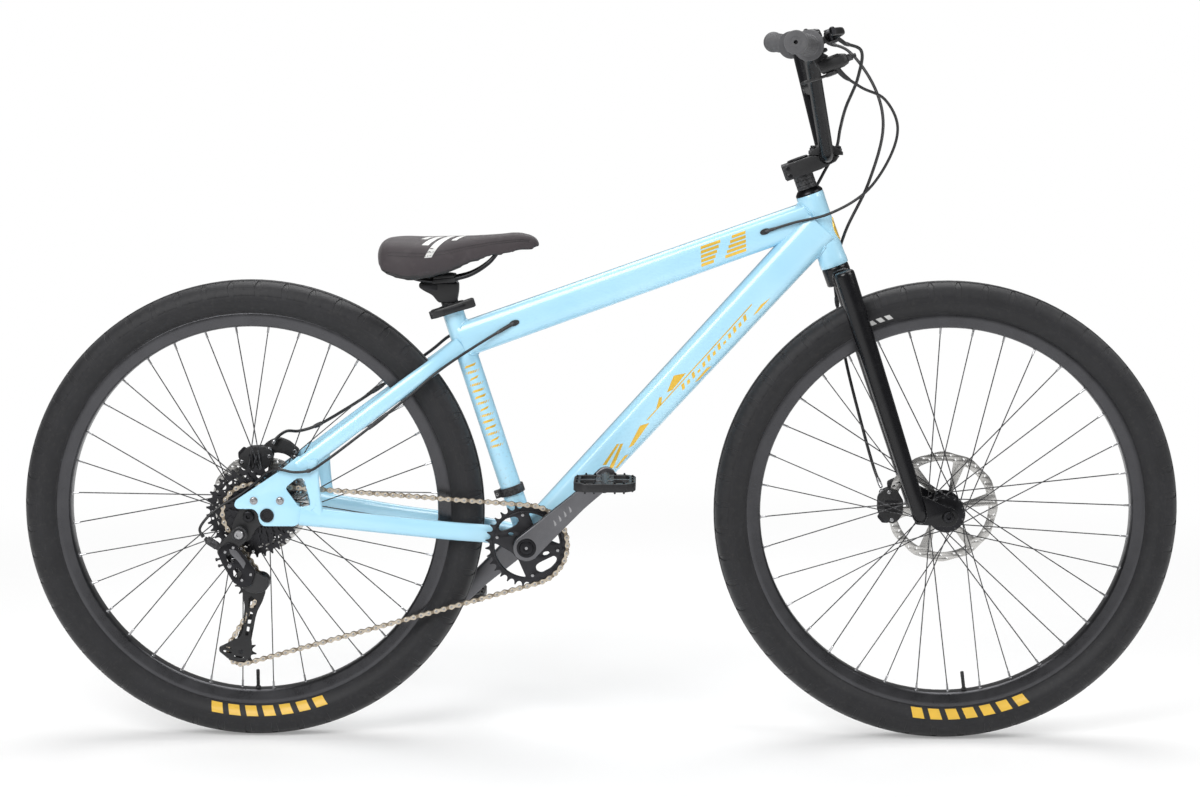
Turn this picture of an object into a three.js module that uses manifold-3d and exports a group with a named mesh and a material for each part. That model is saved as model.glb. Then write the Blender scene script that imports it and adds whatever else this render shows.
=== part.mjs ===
import * as THREE from 'three';
import { mergeVertices } from 'three/addons/utils/BufferGeometryUtils.js';
import Module from 'manifold-3d';

// A dirt jump bike in millimetres: +X is the way it rides, +Y the rider's left, +Z up.
// The origin is on the ground, midway between the axles. The drive side is at -Y.

const wasm = await Module();
wasm.setup();

// Driving dimensions
const gap = 0.3;
const overrun = 6;
const rim = { radius: 317, deep: 22, width: 37, lip: 2.5, well: 15, shoulder: 5 };
rim.inner = rim.radius - rim.deep;
const tyre = {
  beadDrop: 8, width: 62, height: 61,
  // Height above the bead and half width, as shares of the tyre's height and half width
  outerShares: [[0, 0.40], [0.14, 0.52], [0.48, 0.98], [0.80, 0.85], [1, 0.28]],
};
tyre.bead = rim.radius - tyre.beadDrop;
const wheelRadius = tyre.bead + tyre.height;
// From the tyre to the middle of the seat tube, and up to the foot of the head tube
const wheelRoom = { seat: 32.858, crown: 60.8 };
const wheelbase = 1106;
const crankHeight = 320;
const headAngle = THREE.MathUtils.degToRad(70.2);
const seatAngle = THREE.MathUtils.degToRad(72.1);
const chainstayRun = (wheelRadius + wheelRoom.seat + (wheelRadius - crankHeight) * Math.cos(seatAngle)) / Math.sin(seatAngle);
const forkLength = wheelRadius + wheelRoom.crown;
const forkOffset = 36.2;
const headLength = 120;
const seatTubeLength = 396;
const chainPlane = -43;

// Number of flat sides on round work
const wheelSides = 32;
const turnedSides = 10;
const tubeSides = 12;
const smallSides = 8;
const cordSides = 5;
const boltSides = 6;
// The power that squares off an oval section: 1 is a plain oval
const boxiness = 0.6;

const axle = { radius: 5, headRadius: 9, headLength: 6 };
axle.hole = axle.radius + gap;
const valve = { radius: 3, length: 30, sides: 6 };
const spoke = { count: 36, radius: 1, cross: 3, rimSide: 4, sides: 3, flangeSide: 1.1 };
const hub = {
  flange: 30, flangeWall: 3, spokeCircle: 27, shell: 13, cap: 9, seat: 22, spigot: 16.5, cone: 6,
};
const frontHub = { half: 54.7, right: 30, left: 24, disc: 40, discRadius: 90, valveAngle: 7 };
const rearHub = { half: 67.5, right: 18, left: 34, disc: 52, discRadius: 80, valveAngle: 0 };
const rotor = {
  wall: 1.8, track: 14, arms: 6, armWidth: 9, centre: 24, windowSteps: 2,
};

const sprocket = {
  wall: 1.8, root: 4.3, rootHalf: 2.4, tip: 3,
};
const cassette = {
  teeth: [36, 30, 26, 23, 20, 17, 15, 13, 11], inUse: 3, spacing: 4.34,
  core: 17.3, nose: 10,
};
const chain = {
  pitch: 12.7, inner: 1.3, outer: 3.1, innerLinkOuter: 2.4, height: 8, roller: 3.9,
};
const chainring = {
  teeth: 32, wall: 2, rim: 9, arms: 4, armWidth: 15, seatRadius: 22, seatWall: 7,
};
const crank = {
  length: 170, angle: THREE.MathUtils.degToRad(42.5), spindle: 12, nose: 15,
  bossWall: 17, tipWall: 13, bossPlane: 63, tipPlane: 73, cap: 10, capProud: 2,
  // Along the arm, as a share of its length and then on from there; how far out, thick and wide
  armRoute: [[0, -21.5, 63, 17, 22], [0, -11, 63, 17, 43], [0, 21.5, 63, 17, 43], [0.5, 0, 68, 13, 29],
    [1, 0, 73, 13, 32], [1, 16, 73, 13, 16]],
};
const pedal = {
  length: 96, width: 98, wall: 19, axle: 6, axleReach: 88, clearance: 9, barrel: 20, rail: 11,
  corner: 16, web: 8,
};

const bottomBracket = {
  radius: 21, half: 34, bore: 17, cup: 22, cupWall: 7,
};
const headTube = {
  radius: 22, bottomRadius: 22.5, bore: 17, counterbore: 20.5, seatDepth: 12, steerer: 14.3,
};
// Tube ends are set off the tops of the seat tube and the head tube: ahead of them and below
const topTube = {
  rearAhead: 17.6, rearDrop: 53.8, frontAhead: 11.3, frontDrop: 32,
  rearDeep: 28, frontDeep: 25, rearWide: 20, frontWide: 19,
};
const downTube = {
  frontAhead: 17.8, frontDrop: 49.6, frontDeep: 31.5, rearDeep: 27.5, frontWide: 27, rearWide: 25,
};
const seatTube = { radius: 17, bandShare: 0.2, bandHeight: 14, bandWall: 3.5, lug: 8 };
const collar = { height: 13, below: 9, wall: 4.5, lug: 12, slot: 2 };
const seatPost = {
  radius: 13.6, sunk: 140, headUp: 33, headRear: 40, headFront: 22, headWidth: 30, headHeight: 15,
  clampUp: 47, clampRear: 14, clampFront: 24, clampHeight: 14, rail: 3.5, railHalf: 22,
};
seatTube.bore = seatPost.radius + gap;
const quickLever = {
  length: 68, wide: 3.5, deep: 7, eye: 8,
  // Along the blade, and how deep it is there
  droopShares: [[0.35, 1], [1, 1.15]],
};

const stay = {
  endWide: 6.5, wide: 8, chainDeep: 14.5, chainEndDeep: 15.5, seatDeep: 13,
};
// Along each stay from its end at the dropout: the share of the way, how far above the straight line and how far out
const chainstay = {
  rearAhead: 83, rearUp: 1, frontAhead: -26.5, frontUp: 9,
  bendShares: [[0.0, 0, 76.8], [0.227, 0.5, 65], [0.455, 0.1, 52], [0.752, 1.6, 42.5], [0.876, 1.8, 31.5], [1.0, 0, 26]],
};
const seatstay = {
  rearAhead: 83, rearUp: 80, frontAhead: 11.2, frontUp: -62.8,
  bendShares: [[0.0, 0, 76.8], [0.346, 0.3, 62], [0.691, -0.1, 48], [0.846, -1.7, 39], [1.0, 0, 15]],
};
// The strut between them, ahead of the axle, above it and how far out
const strutRoute = [[102, 88, 76.8], [110, -2, 74]];
const strut = { wide: 5, deep: 10 };

// The dropout's outline around the axle, ahead and up
const dropout = {
  wall: 6, inner: 73.8,
  outline: [[-22, 17], [-20, 26], [50, 73], [83, 99], [103, 70], [110, 20], [75, -15], [23, -15], [17, -7],
    [16, 5], [9, 12.5], [-17, 12.5]],
  window: [[59, 46], [78, 62], [89, 62], [100, 19], [81, 15]],
  bolts: [[9.4, 26], [51, 26]], boltRadius: 3.5, boltHead: 5.5, boltProud: 2.4,
  pivot: [30, 2.5], pivotRadius: 11, pivotProud: 3,
};
const axlePlate = {
  wall: 5.4, inner: 68.1,
  outline: [[-15, 10], [2, 37], [54, 38], [60, 20], [42, -9], [14, -17], [0, -40], [-16, -43],
    [-28, -32], [-26, -12]],
  leftOutline: [[-15, 10], [2, 37], [54, 38], [60, 20], [42, -9], [14, -17], [-8, -16]],
  hangerX: -14, hangerZ: -27,
};

// Places ahead of the rear axle and above it
const derailleur = {
  hangerBolt: 4.5, knuckle: 12, knuckleOuter: 88, boltHead: 7, boltProud: 4,
  pivotX: 16, pivotZ: -107, pivotRadius: 15, outer: 82, innerFace: 51.4,
  guideX: -4, guideZ: -114, tensionX: -20, tensionZ: -224,
  teeth: 11, pulleyBore: 2.8, pulleyHub: 7.5, pulleyHubHalf: 3.4, plateGap: 5, plateWall: 2, pin: 2.5,
  // The arm from the hanger to the cage: X, Z, and half its width and depth
  armRoute: [[-20, -27, 6.3, 14], [-27, -65, 9, 20], [9, -101.4, 7.2, 14]],
  barrelRootX: -37, barrelRootZ: -55,
  barrelX: -69, barrelZ: -34, barrelRadius: 6,
};
// The cage's outline and windows: which pulley, how far down the cage and how far across, in shares of the radius
const cage = {
  endRadius: 16,
  outlineShares: [['guide', -0.8, -0.5], ['guide', -0.8, 1], ['guide', 0, 1.7], ['guide', 1, 1.6], ['middle', 0, 1.05],
    ['tension', -1, 1], ['tension', 0.3, 1], ['tension', 1, 0.4], ['tension', 1.1, -0.6], ['tension', 0.2, -2.2],
    ['tension', -0.3, -2.2], ['tension', -1, -0.8], ['middle', 0, -0.15], ['guide', 1, -0.7]],
  windowShares: [
    [['middle', -1.67, 0.25], ['middle', -0.42, 0.23], ['middle', -0.42, 0.63], ['middle', -1.67, 0.65]],
    [['middle', 0.14, 0.25], ['middle', 1.39, 0.23], ['middle', 1.39, 0.63], ['middle', 0.14, 0.65]],
  ],
};

const caliper = {
  length: 58, depth: 42, half: 11, slot: 1.7, corner: 10, clearance: 2, sunk: 6.3,
  rearLean: 0.06, frontLean: 0.37,
  // Brackets around the axle, ahead and up; the front one in the fork's frame
  rearFoot: [[2, 88], [12, 99], [34, 106], [64, 86], [58, 68], [36, 76], [12, 76]],
  frontFoot: [[-74, 52], [-70, 68], [-36, 62], [-36, 46], [-56, 28], [-66, 34]],
  rearFootIn: 5.5, frontFootIn: 2.2,
};

const fork = {
  steererAbove: 55, crown: 21.5, crownDepth: 30, bridgeDeep: 14, bridgeWide: 15, bridgeDrop: 19,
  legTopForward: 7.8, legTop: -8, legTopY: 57, legTopRadius: 16.5,
  legEndForward: -5.1, legEndRise: 6.3, legEndY: 58, legEndRadius: 12.5,
  tipWall: 6, tipInner: 55, tipRadius: 15.5, tipRise: 46, tipRear: 12,
};
fork.legEnd = fork.legEndRise - forkLength;
const headset = { cover: 22, coverTop: 17, coverHeight: 9, spacer: 16 };
const stem = {
  height: 25, middleAbove: 44.7, rear: 27, width: 50, clampWidth: 44, split: 1, collarRadius: 21, capHeight: 3, cap: 17, slot: 1.6,
  // Ahead of the steerer and above the stem's middle
  outline: [[-27, -12.5], [29, -12.5], [55, -8.7], [65, -1.2], [65, 6.2], [58.5, 12.5], [-27, 12.5]],
  // Ahead of the bar's centre and above it
  lidOutline: [[-26, 0.8], [26, 0.8], [26, 6], [13, 15.9], [-13, 15.9], [-26, 6]],
};
const bar = {
  radius: 11.1, forward: 43.9, aboveHead: 49.2, clampHalf: 38, bend: 26, gripForward: 72.3, gripHalf: 200, gripRise: 170,
  kneeForward: 66, kneeHalf: 165, kneeRise: 165.8, kneeBend: 58, gripBend: 50, bendSteps: 4,
  braceShare: 0.62, brace: 8, sweep: -22.8, reach: -125, rise: 13.5, endShare: 1.37, flangeShare: 0.44,
};
bar.up = headLength + bar.aboveHead;
bar.kneeUp = bar.up + bar.kneeRise;
bar.gripUp = bar.up + bar.gripRise;
const grip = { length: 126, flange: 23, flangeWall: 4, radius: 16, endRadius: 17.5, endLength: 6, hole: 3 };
// On the right-hand end of the bar: ahead of it, inboard of the grip's flange, and above it
const brake = {
  clampInboard: 20, clampWidth: 13, clampRadius: 15.5, ahead: 32, above: 5, neckHalf: 5,
  pivotAhead: 36, pivotInboard: 4, pivotRadius: 7, pivotHeight: 12, earWall: 3, room: 8, pin: 2.6,
  // The fluid tank along the bar: inboard, and half its height and depth
  tankRoute: [[15, 8, 7], [24, 10, 10], [58, 8, 9]],
  // The lever's blade: ahead of the bar, outboard of the flange, and half its height and thickness
  bladeRoute: [[36, -4, 5.5, 4.5], [54, 19, 5.5, 4], [56, 38, 5.5, 3.6], [47, 88, 6.6, 4.5]],
};
const shifter = {
  clampInboard: 37, clampWidth: 10, clampRadius: 15.5, ahead: 20, below: 34, length: 46, width: 26, height: 22,
  pivotAhead: 12, hub: 9, barrel: 5, barrelLength: 13,
  // The paddle from its hub: ahead, inboard and half its width
  paddleWall: 5, paddleRoute: [[0, 0, 5.5], [-22, -8, 5.5], [-38, -22, 9]],
};

const hose = { radius: 2.5, stepLength: 34 };
const housing = { radius: 2.2, stepLength: 34 };

// Saddle: ahead of the seat tube's top, the height of its top and its underside above it, and its half width
const saddleStations = [[-114.8, 93.2, 69.2, 34], [-104.8, 109.2, 55.2, 58], [-74.8, 114.2, 44.2, 72], [-39.8, 112.2, 44.2, 68],
  [-4.8, 113.2, 51.2, 50], [30.2, 115.2, 65.2, 34], [70.2, 118.2, 77.2, 25], [110.2, 121.2, 83.2, 21],
  [133.2, 115.2, 87.2, 17], [142.2, 105.2, 92.2, 9]];
// Across as a share of the half width, and up as a share of the height
const saddleSection = [[-0.6, 0.38], [0, 0.42], [0.6, 0.38], [0.84, 0.02], [0.97, 0.1], [1, 0.45], [0.82, 0.82],
  [0.45, 0.97], [0, 1], [-0.45, 0.97], [-0.82, 0.82], [-1, 0.45], [-0.97, 0.1], [-0.84, 0.02]];
// The saddle's rails: ahead of the seat tube's top, above it and how far out
const saddleRailRoute = [[-84.8, 68.8, 24], [-64.8, 50.2, 22], [-26.8, 42.2, 22], [13.2, 47.2, 22],
  [35.2, 54.2, 21], [61.2, 71.2, 14], [76.2, 89, 12]];

// Cord routes: the place that each point is measured from, then ahead of it, out and above it. Instead of a place,
// a share of the way up the seatstay, then along the stay, out and square to it
const shiftLoopRoute = [['head', 39.6, -212, 186], ['head', 65.6, -195, 170],
  ['head', 103.6, -150, 152], ['head', 128.6, -98, 108], ['head', 119.6, -62, 59],
  ['head', 84.6, -42, 5], ['head', 29.6, -32, -29], ['head', -26.4, -24, -44],
  ['head', -70.4, -20.8, -58]];
const rearLoopRoute = [['head', 39.6, -187, 236], ['head', 65.6, -165, 226], ['head', 65.6, -120, 186],
  ['head', 51.6, -50, 136], ['head', 47.6, 10, 102], ['head', 43.6, 46, 68], ['head', 25.6, 48, 33],
  ['head', 8.6, 40, 4], ['head', -26.4, 27, -36], ['head', -70.4, 21.2, -58]];
const frontHoseRoute = [['head', 39.6, 187, 236], ['head', 69.6, 172, 224], ['head', 111.6, 138, 164],
  ['head', 123.6, 110, 104], ['head', 97.6, 66, 14], ['head', 59.6, 46, -64],
  ['crown', 6, 83.3, -18.1], ['crown', 11, 86, -73.1], ['leg', -66, 76.6, 40.5],
  ['front', -129, 68, 130], ['front', -109, 60, 60], ['front', -98, 43, 30.5]];
const rearHousingRoute = [['seat', 101.2, -21.5, -23.8], [1.15, -13.1, -29, -16], [0.87, -7, -49, -11],
  [0.71, -11.7, -56, -14.5], [0.4, -13.3, -63, -17.1], [0.15, -12.3, -79, -16.6],
  [0.07, -9.5, -87, -14], ['axle', 75, -88, 73], ['axle', 49, -85, 77], ['axle', 31, -74, 70.6],
  ['axle', 11, -65.6, 52], ['axle', -15, -64.8, 32], ['axle', -45, -67, 15], ['axle', -69, -76, -6],
  ['axle', -77, -80, -21], ['axle', -71, -80.9, -32.6]];
const rearHoseRoute = [['seat', 101.2, 21.8, -25.8], ['seat', 55.2, 27, -31.8],
  ['seat', 20.2, 30, -39.8], [0.93, 13.7, 38, 19.6], [0.82, 14.1, 44, 18.4], [0.52, 14.6, 56, 19.4],
  [0.24, 16.5, 69, 23.7], [0.02, 22.2, 79, 31.2], ['axle', 61, 76, 115], ['axle', 44, 60, 117],
  ['axle', 31, 51, 109], ['axle', 22, 49, 98.1]];

// Materials as the photograph shows them
const finish = (colour, roughness, metalness) => new THREE.MeshStandardMaterial({
  color: colour, roughness, metalness,
});
const paint = {
  blue: finish(0xa9def2, 0.35, 0),
  gloss: finish(0x0b0b0d, 0.15, 0.2),
  satin: finish(0x17171a, 0.5, 0.3),
  rubber: finish(0x2b2b2e, 0.85, 0),
  gripRubber: finish(0x4a4a4c, 0.8, 0),
  crankGrey: finish(0x3b3c40, 0.4, 0.6),
  steel: finish(0xc4c2bd, 0.3, 1),
  chainSteel: finish(0xb5a688, 0.35, 1),
  cover: finish(0x2c262b, 0.6, 0),
  plastic: finish(0x141416, 0.55, 0),
};

const model = new THREE.Group();
const point = (x, y, z) => new THREE.Vector3(x, y, z);
const rearAxle = point(-wheelbase / 2, 0, wheelRadius);
const frontAxle = point(wheelbase / 2, 0, wheelRadius);
const crankCentre = point(rearAxle.x + chainstayRun, 0, crankHeight);
const faceted = 1 / Math.cos(Math.PI / wheelSides);
// The radius of a faceted hole that clears a round piece however the facets stand
const clearing = (radius, sides = turnedSides) => (radius + gap) / Math.cos(Math.PI / sides);

// Unit vectors along the steering axis and the seat tube
const steerUp = point(-Math.cos(headAngle), 0, Math.sin(headAngle));
const steerAhead = point(Math.sin(headAngle), 0, Math.cos(headAngle));
const seatUp = point(-Math.cos(seatAngle), 0, Math.sin(seatAngle));
const headBottom = frontAxle.clone().addScaledVector(steerAhead, -forkOffset).addScaledVector(steerUp, forkLength);
const headTop = headBottom.clone().addScaledVector(steerUp, headLength);
const seatTop = crankCentre.clone().addScaledVector(seatUp, seatTubeLength);

// Solid work
function solidOf(geometry) {
  const plain = geometry.index ? geometry.toNonIndexed() : geometry.clone();
  Object.keys(plain.attributes).filter((name) => name !== 'position').forEach((name) => plain.deleteAttribute(name));
  const merged = mergeVertices(plain, gap / 300);
  const corners = merged.attributes.position.array;
  const faces = [];
  let volume = 0;
  const at = (index) => point(corners[3 * index], corners[3 * index + 1], corners[3 * index + 2]);
  for (let start = 0; start < merged.index.count; start += 3) {
    const [a, b, c] = [0, 1, 2].map((step) => merged.index.array[start + step]);
    if (a === b || b === c || c === a) continue;
    faces.push(a, b, c);
    volume += at(a).dot(at(b).cross(at(c)));
  }
  if (volume < 0) faces.reverse();
  return new wasm.Manifold(new wasm.Mesh({
    numProp: 3, vertProperties: Float32Array.from(corners), triVerts: Uint32Array.from(faces),
  }));
}

const asSolid = (shape) => (shape.isBufferGeometry ? solidOf(shape) : shape);
const join = (shapes) => shapes.map(asSolid).reduce((whole, next) => whole.add(next));
const cut = (shape, tools) => tools.map(asSolid).reduce((whole, tool) => whole.subtract(tool), asSolid(shape));

function geometryOf(solid) {
  const { vertProperties, triVerts } = solid.getMesh();
  const geometry = new THREE.BufferGeometry();
  geometry.setAttribute('position', new THREE.Float32BufferAttribute(vertProperties, 3));
  geometry.setIndex(Array.from(triVerts));
  geometry.computeVertexNormals();
  return geometry;
}

const mirrored = (shape) => geometryOf(asSolid(shape)).scale(1, -1, 1);

function addPiece(parent, name, shape, material) {
  const mesh = new THREE.Mesh(geometryOf(asSolid(shape)), material);
  mesh.name = name;
  parent.add(mesh);
  return mesh;
}

function addGroup(parent, position, rotationY = 0) {
  const group = new THREE.Group();
  group.position.copy(position);
  group.rotation.y = rotationY;
  parent.add(group);
  return group;
}

// A ring of points around each station, joined into one closed skin
function loft(stations, sides = tubeSides, square = 1, reference = point(0, 1, 0)) {
  const corners = [];
  const faces = [];
  stations.forEach((station, index) => {
    const before = stations[Math.max(index - 1, 0)].at;
    const after = stations[Math.min(index + 1, stations.length - 1)].at;
    const along = after.clone().sub(before).normalize();
    const across = reference.clone().addScaledVector(along, -along.dot(reference)).normalize();
    const up = along.clone().cross(across);
    for (let side = 0; side < sides; side += 1) {
      const angle = ((side + 0.5) / sides) * 2 * Math.PI;
      const round = (value) => Math.sign(value) * Math.abs(value) ** square;
      const corner = station.at.clone()
        .addScaledVector(across, station.wide * round(Math.cos(angle)))
        .addScaledVector(up, station.deep * round(Math.sin(angle)));
      corners.push(corner.x, corner.y, corner.z);
    }
  });
  for (let ring = 0; ring < stations.length - 1; ring += 1) {
    for (let side = 0; side < sides; side += 1) {
      const a = ring * sides + side;
      const b = ring * sides + ((side + 1) % sides);
      faces.push(a, b, b + sides, a, b + sides, a + sides);
    }
  }
  const last = (stations.length - 1) * sides;
  for (let side = 1; side < sides - 1; side += 1) {
    faces.push(0, side + 1, side, last, last + side, last + side + 1);
  }
  const geometry = new THREE.BufferGeometry();
  geometry.setAttribute('position', new THREE.Float32BufferAttribute(corners, 3));
  geometry.setIndex(faces);
  return geometry;
}

const rod = (from, to, radius, sides = turnedSides, endRadius = radius) => {
  const upright = Math.abs(to.clone().sub(from).normalize().y) > Math.SQRT1_2;
  const reference = upright ? point(0, 0, 1) : point(0, 1, 0);
  return loft([{ at: from, wide: radius, deep: radius }, { at: to, wide: endRadius, deep: endRadius }],
    sides, 1, reference);
};
const crossRod = (x, z, fromY, toY, radius, sides = turnedSides) => rod(point(x, fromY, z), point(x, toY, z), radius, sides);

// A closed profile of radius and place along Y, turned about Y
function turned(profile, sides = turnedSides, scale = 1) {
  const outline = [...profile, profile[0]].map(([radius, along]) => new THREE.Vector2(radius * scale, along));
  return new THREE.LatheGeometry(outline, sides).rotateY(Math.PI / sides);
}
// The same about Z
const upturned = (profile, sides = turnedSides) => turned(profile, sides).rotateX(Math.PI / 2);

const shapeOf = (outline) => new THREE.Shape(outline.map(([x, z]) => new THREE.Vector2(x, z)));

// An outline in X and Y, as thick as from one Z to the other, with its windows cut through
function slab(outline, fromZ, toZ, windows = []) {
  const low = Math.min(fromZ, toZ);
  const thickness = Math.abs(toZ - fromZ);
  const extruded = (points, extra) => new THREE.ExtrudeGeometry(shapeOf(points),
    { depth: thickness + 2 * extra, bevelEnabled: false, curveSegments: 1 }).translate(0, 0, low - extra);
  return geometryOf(cut(extruded(outline, 0), windows.map((points) => extruded(points, overrun))));
}

// The same with the outline in X and Z and the thickness along Y
const plate = (outline, fromY, toY, windows = []) => slab(outline, -fromY, -toY, windows).rotateX(Math.PI / 2);

const box = (fromX, toX, fromY, toY, fromZ, toZ) => new THREE.BoxGeometry(toX - fromX, toY - fromY, toZ - fromZ)
  .translate((fromX + toX) / 2, (fromY + toY) / 2, (fromZ + toZ) / 2);

const circle = (x, z, radius, sides) => Array.from({ length: sides }, (_, side) => {
  const angle = ((side + 0.5) / sides) * 2 * Math.PI;
  return [x + radius * Math.sin(angle), z + radius * Math.cos(angle)];
});

// A rectangle around a centre with its corners cut off
const chamfered = (halfX, halfZ, corner) => [[-halfX + corner, -halfZ], [halfX - corner, -halfZ],
  [halfX, -halfZ + corner], [halfX, halfZ - corner], [halfX - corner, halfZ], [-halfX + corner, halfZ],
  [-halfX, halfZ - corner], [-halfX, -halfZ + corner]];

function cord(route, { radius, stepLength }) {
  const places = {
    axle: rearAxle, seat: seatTop, head: headTop, front: frontAxle, crown: headBottom, leg: headBottom.clone().lerp(frontAxle, 0.5),
  };
  const [stayFrom, stayTo] = [seatstayRoute[0], seatstayRoute.at(-1)].map(([x, z]) => point(x, 0, z));
  const alongStay = stayTo.clone().sub(stayFrom).normalize();
  const offStay = point(-alongStay.z, 0, alongStay.x);
  const spots = route.map(([from, ahead, out, up]) => (places[from]
    ? point(ahead, out, up).add(places[from])
    : stayFrom.clone().lerp(stayTo, from).addScaledVector(alongStay, ahead).addScaledVector(offStay, up).setY(out)));
  const curve = new THREE.CatmullRomCurve3(spots, false, 'centripetal');
  const section = new THREE.Shape();
  circle(0, 0, radius, cordSides).forEach(([x, y], index) => (index ? section.lineTo(x, y) : section.moveTo(x, y)));
  section.closePath();
  const steps = Math.ceil(curve.getLength() / stepLength);
  return new THREE.ExtrudeGeometry(section, { steps, extrudePath: curve, bevelEnabled: false });
}

const offRearAxle = (x, y, z) => point(x, y, z).add(rearAxle);
const tensionCentre = offRearAxle(derailleur.tensionX, 0, derailleur.tensionZ);
const guideCentre = offRearAxle(derailleur.guideX, 0, derailleur.guideZ);
const cagePivot = offRearAxle(derailleur.pivotX, 0, derailleur.pivotZ);

// Chain line: each wheel of the drive, the way the chain runs, seen from the drive side
const turnsOf = (teeth) => teeth / (2 * Math.PI);
const drive = [
  { x: rearAxle.x, z: rearAxle.z, teeth: cassette.teeth[cassette.inUse], sense: 1 },
  { x: crankCentre.x, z: crankCentre.z, teeth: chainring.teeth, sense: 1 },
  { x: tensionCentre.x, z: tensionCentre.z, teeth: derailleur.teeth, sense: 1 },
  { x: guideCentre.x, z: guideCentre.z, teeth: derailleur.teeth, sense: -1 },
];

function chainRuns(pitch) {
  const headings = drive.map((from, index) => {
    const to = drive[(index + 1) % drive.length];
    const span = Math.hypot(to.x - from.x, to.z - from.z);
    const lean = (from.sense * turnsOf(from.teeth) - to.sense * turnsOf(to.teeth)) * pitch;
    return { angle: Math.atan2(to.z - from.z, to.x - from.x) - Math.asin(lean / span),
      length: Math.sqrt(span ** 2 - lean ** 2) };
  });
  let travelled = 0;
  const runs = [];
  drive.forEach((wheel, index) => {
    const radius = turnsOf(wheel.teeth) * pitch;
    const arriving = headings[(index + drive.length - 1) % drive.length].angle;
    const leaving = headings[index].angle;
    const turn = THREE.MathUtils.euclideanModulo((arriving - leaving) * wheel.sense, 2 * Math.PI);
    const facing = arriving + (wheel.sense * Math.PI) / 2;
    runs.push({ wheel, radius, facing, turn, start: travelled, length: turn * radius });
    travelled += turn * radius;
    const out = leaving + (wheel.sense * Math.PI) / 2;
    runs.push({ heading: leaving, start: travelled, length: headings[index].length,
      x: wheel.x + radius * Math.cos(out), z: wheel.z + radius * Math.sin(out) });
    travelled += headings[index].length;
  });
  return { runs, length: travelled };
}

let chainPitch = chain.pitch;
let chainPath = chainRuns(chainPitch);
const linkCount = 2 * Math.round(chainPath.length / chainPitch / 2);
for (let pass = 0; pass < 12; pass += 1) {
  chainPitch = chainPath.length / linkCount;
  chainPath = chainRuns(chainPitch);
}

function chainPoint(distance) {
  const run = chainPath.runs.findLast((candidate) => candidate.start <= distance);
  const along = distance - run.start;
  if (!run.wheel) return { x: run.x + along * Math.cos(run.heading), z: run.z + along * Math.sin(run.heading) };
  const angle = run.facing - (run.wheel.sense * along) / run.radius;
  return { x: run.wheel.x + run.radius * Math.cos(angle), z: run.wheel.z + run.radius * Math.sin(angle) };
}

// The angle of a roller on one wheel of the drive, so that its teeth stand between the rollers
function rollerAngle(index) {
  const run = chainPath.runs[2 * index];
  const first = Math.ceil(run.start / chainPitch) * chainPitch - run.start;
  return run.facing - (run.wheel.sense * first) / run.radius;
}

function sprocketOutline(teeth, phase = 0, flat = 0, plain = false) {
  const radius = turnsOf(teeth) * chainPitch;
  const outline = [];
  for (let tooth = 0; tooth < teeth; tooth += 1) {
    const roller = phase + (tooth / teeth) * 2 * Math.PI;
    const between = roller + Math.PI / teeth;
    const low = radius - sprocket.root;
    const lows = plain ? [roller] : [roller - sprocket.rootHalf / low, roller + sprocket.rootHalf / low];
    const high = radius + sprocket.tip;
    const tips = flat ? [between - flat / high, between + flat / high] : [between];
    lows.forEach((angle) => outline.push([low * Math.cos(angle), low * Math.sin(angle)]));
    tips.forEach((angle) => outline.push([high * Math.cos(angle), high * Math.sin(angle)]));
  }
  return outline;
}

// Wheels
function ringWindows(inner, outer, count, webWidth, steps) {
  return Array.from({ length: count }, (_, index) => {
    const middle = ((index + 0.5) / count) * 2 * Math.PI;
    const arc = (radius, way) => Array.from({ length: steps + 1 }, (_unused, step) => {
      const half = Math.PI / count - webWidth / 2 / radius;
      const angle = middle + way * half * (1 - (2 * step) / steps);
      return [radius * Math.cos(angle), radius * Math.sin(angle)];
    });
    return [...arc(inner, 1), ...arc(outer, -1)];
  });
}

function tyreShape() {
  const half = tyre.width / 2;
  const place = (shares, way) => shares.map(([rise, spread]) => [tyre.bead + rise * tyre.height, way * spread * half]);
  const outer = [...place(tyre.outerShares, -1), ...place(tyre.outerShares, 1).reverse()];
  return turned(outer, wheelSides, faceted);
}

function rimShape(valveAngle) {
  const half = rim.width / 2;
  const bed = tyre.bead - gap;
  const profile = [[rim.inner, -rim.well], [rim.radius, -half], [rim.radius, rim.lip - half],
    [bed, rim.lip - half], [bed, half - rim.lip], [rim.radius, half - rim.lip], [rim.radius, half],
    [rim.inner, rim.well]];
  const angle = THREE.MathUtils.degToRad(valveAngle);
  const down = point(Math.sin(angle), 0, -Math.cos(angle));
  const stemPiece = rod(down.clone().multiplyScalar(rim.inner - valve.length),
    down.clone().multiplyScalar(rim.inner + rim.shoulder), valve.radius, valve.sides);
  return join([turned(profile, wheelSides, faceted), stemPiece]);
}

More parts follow.
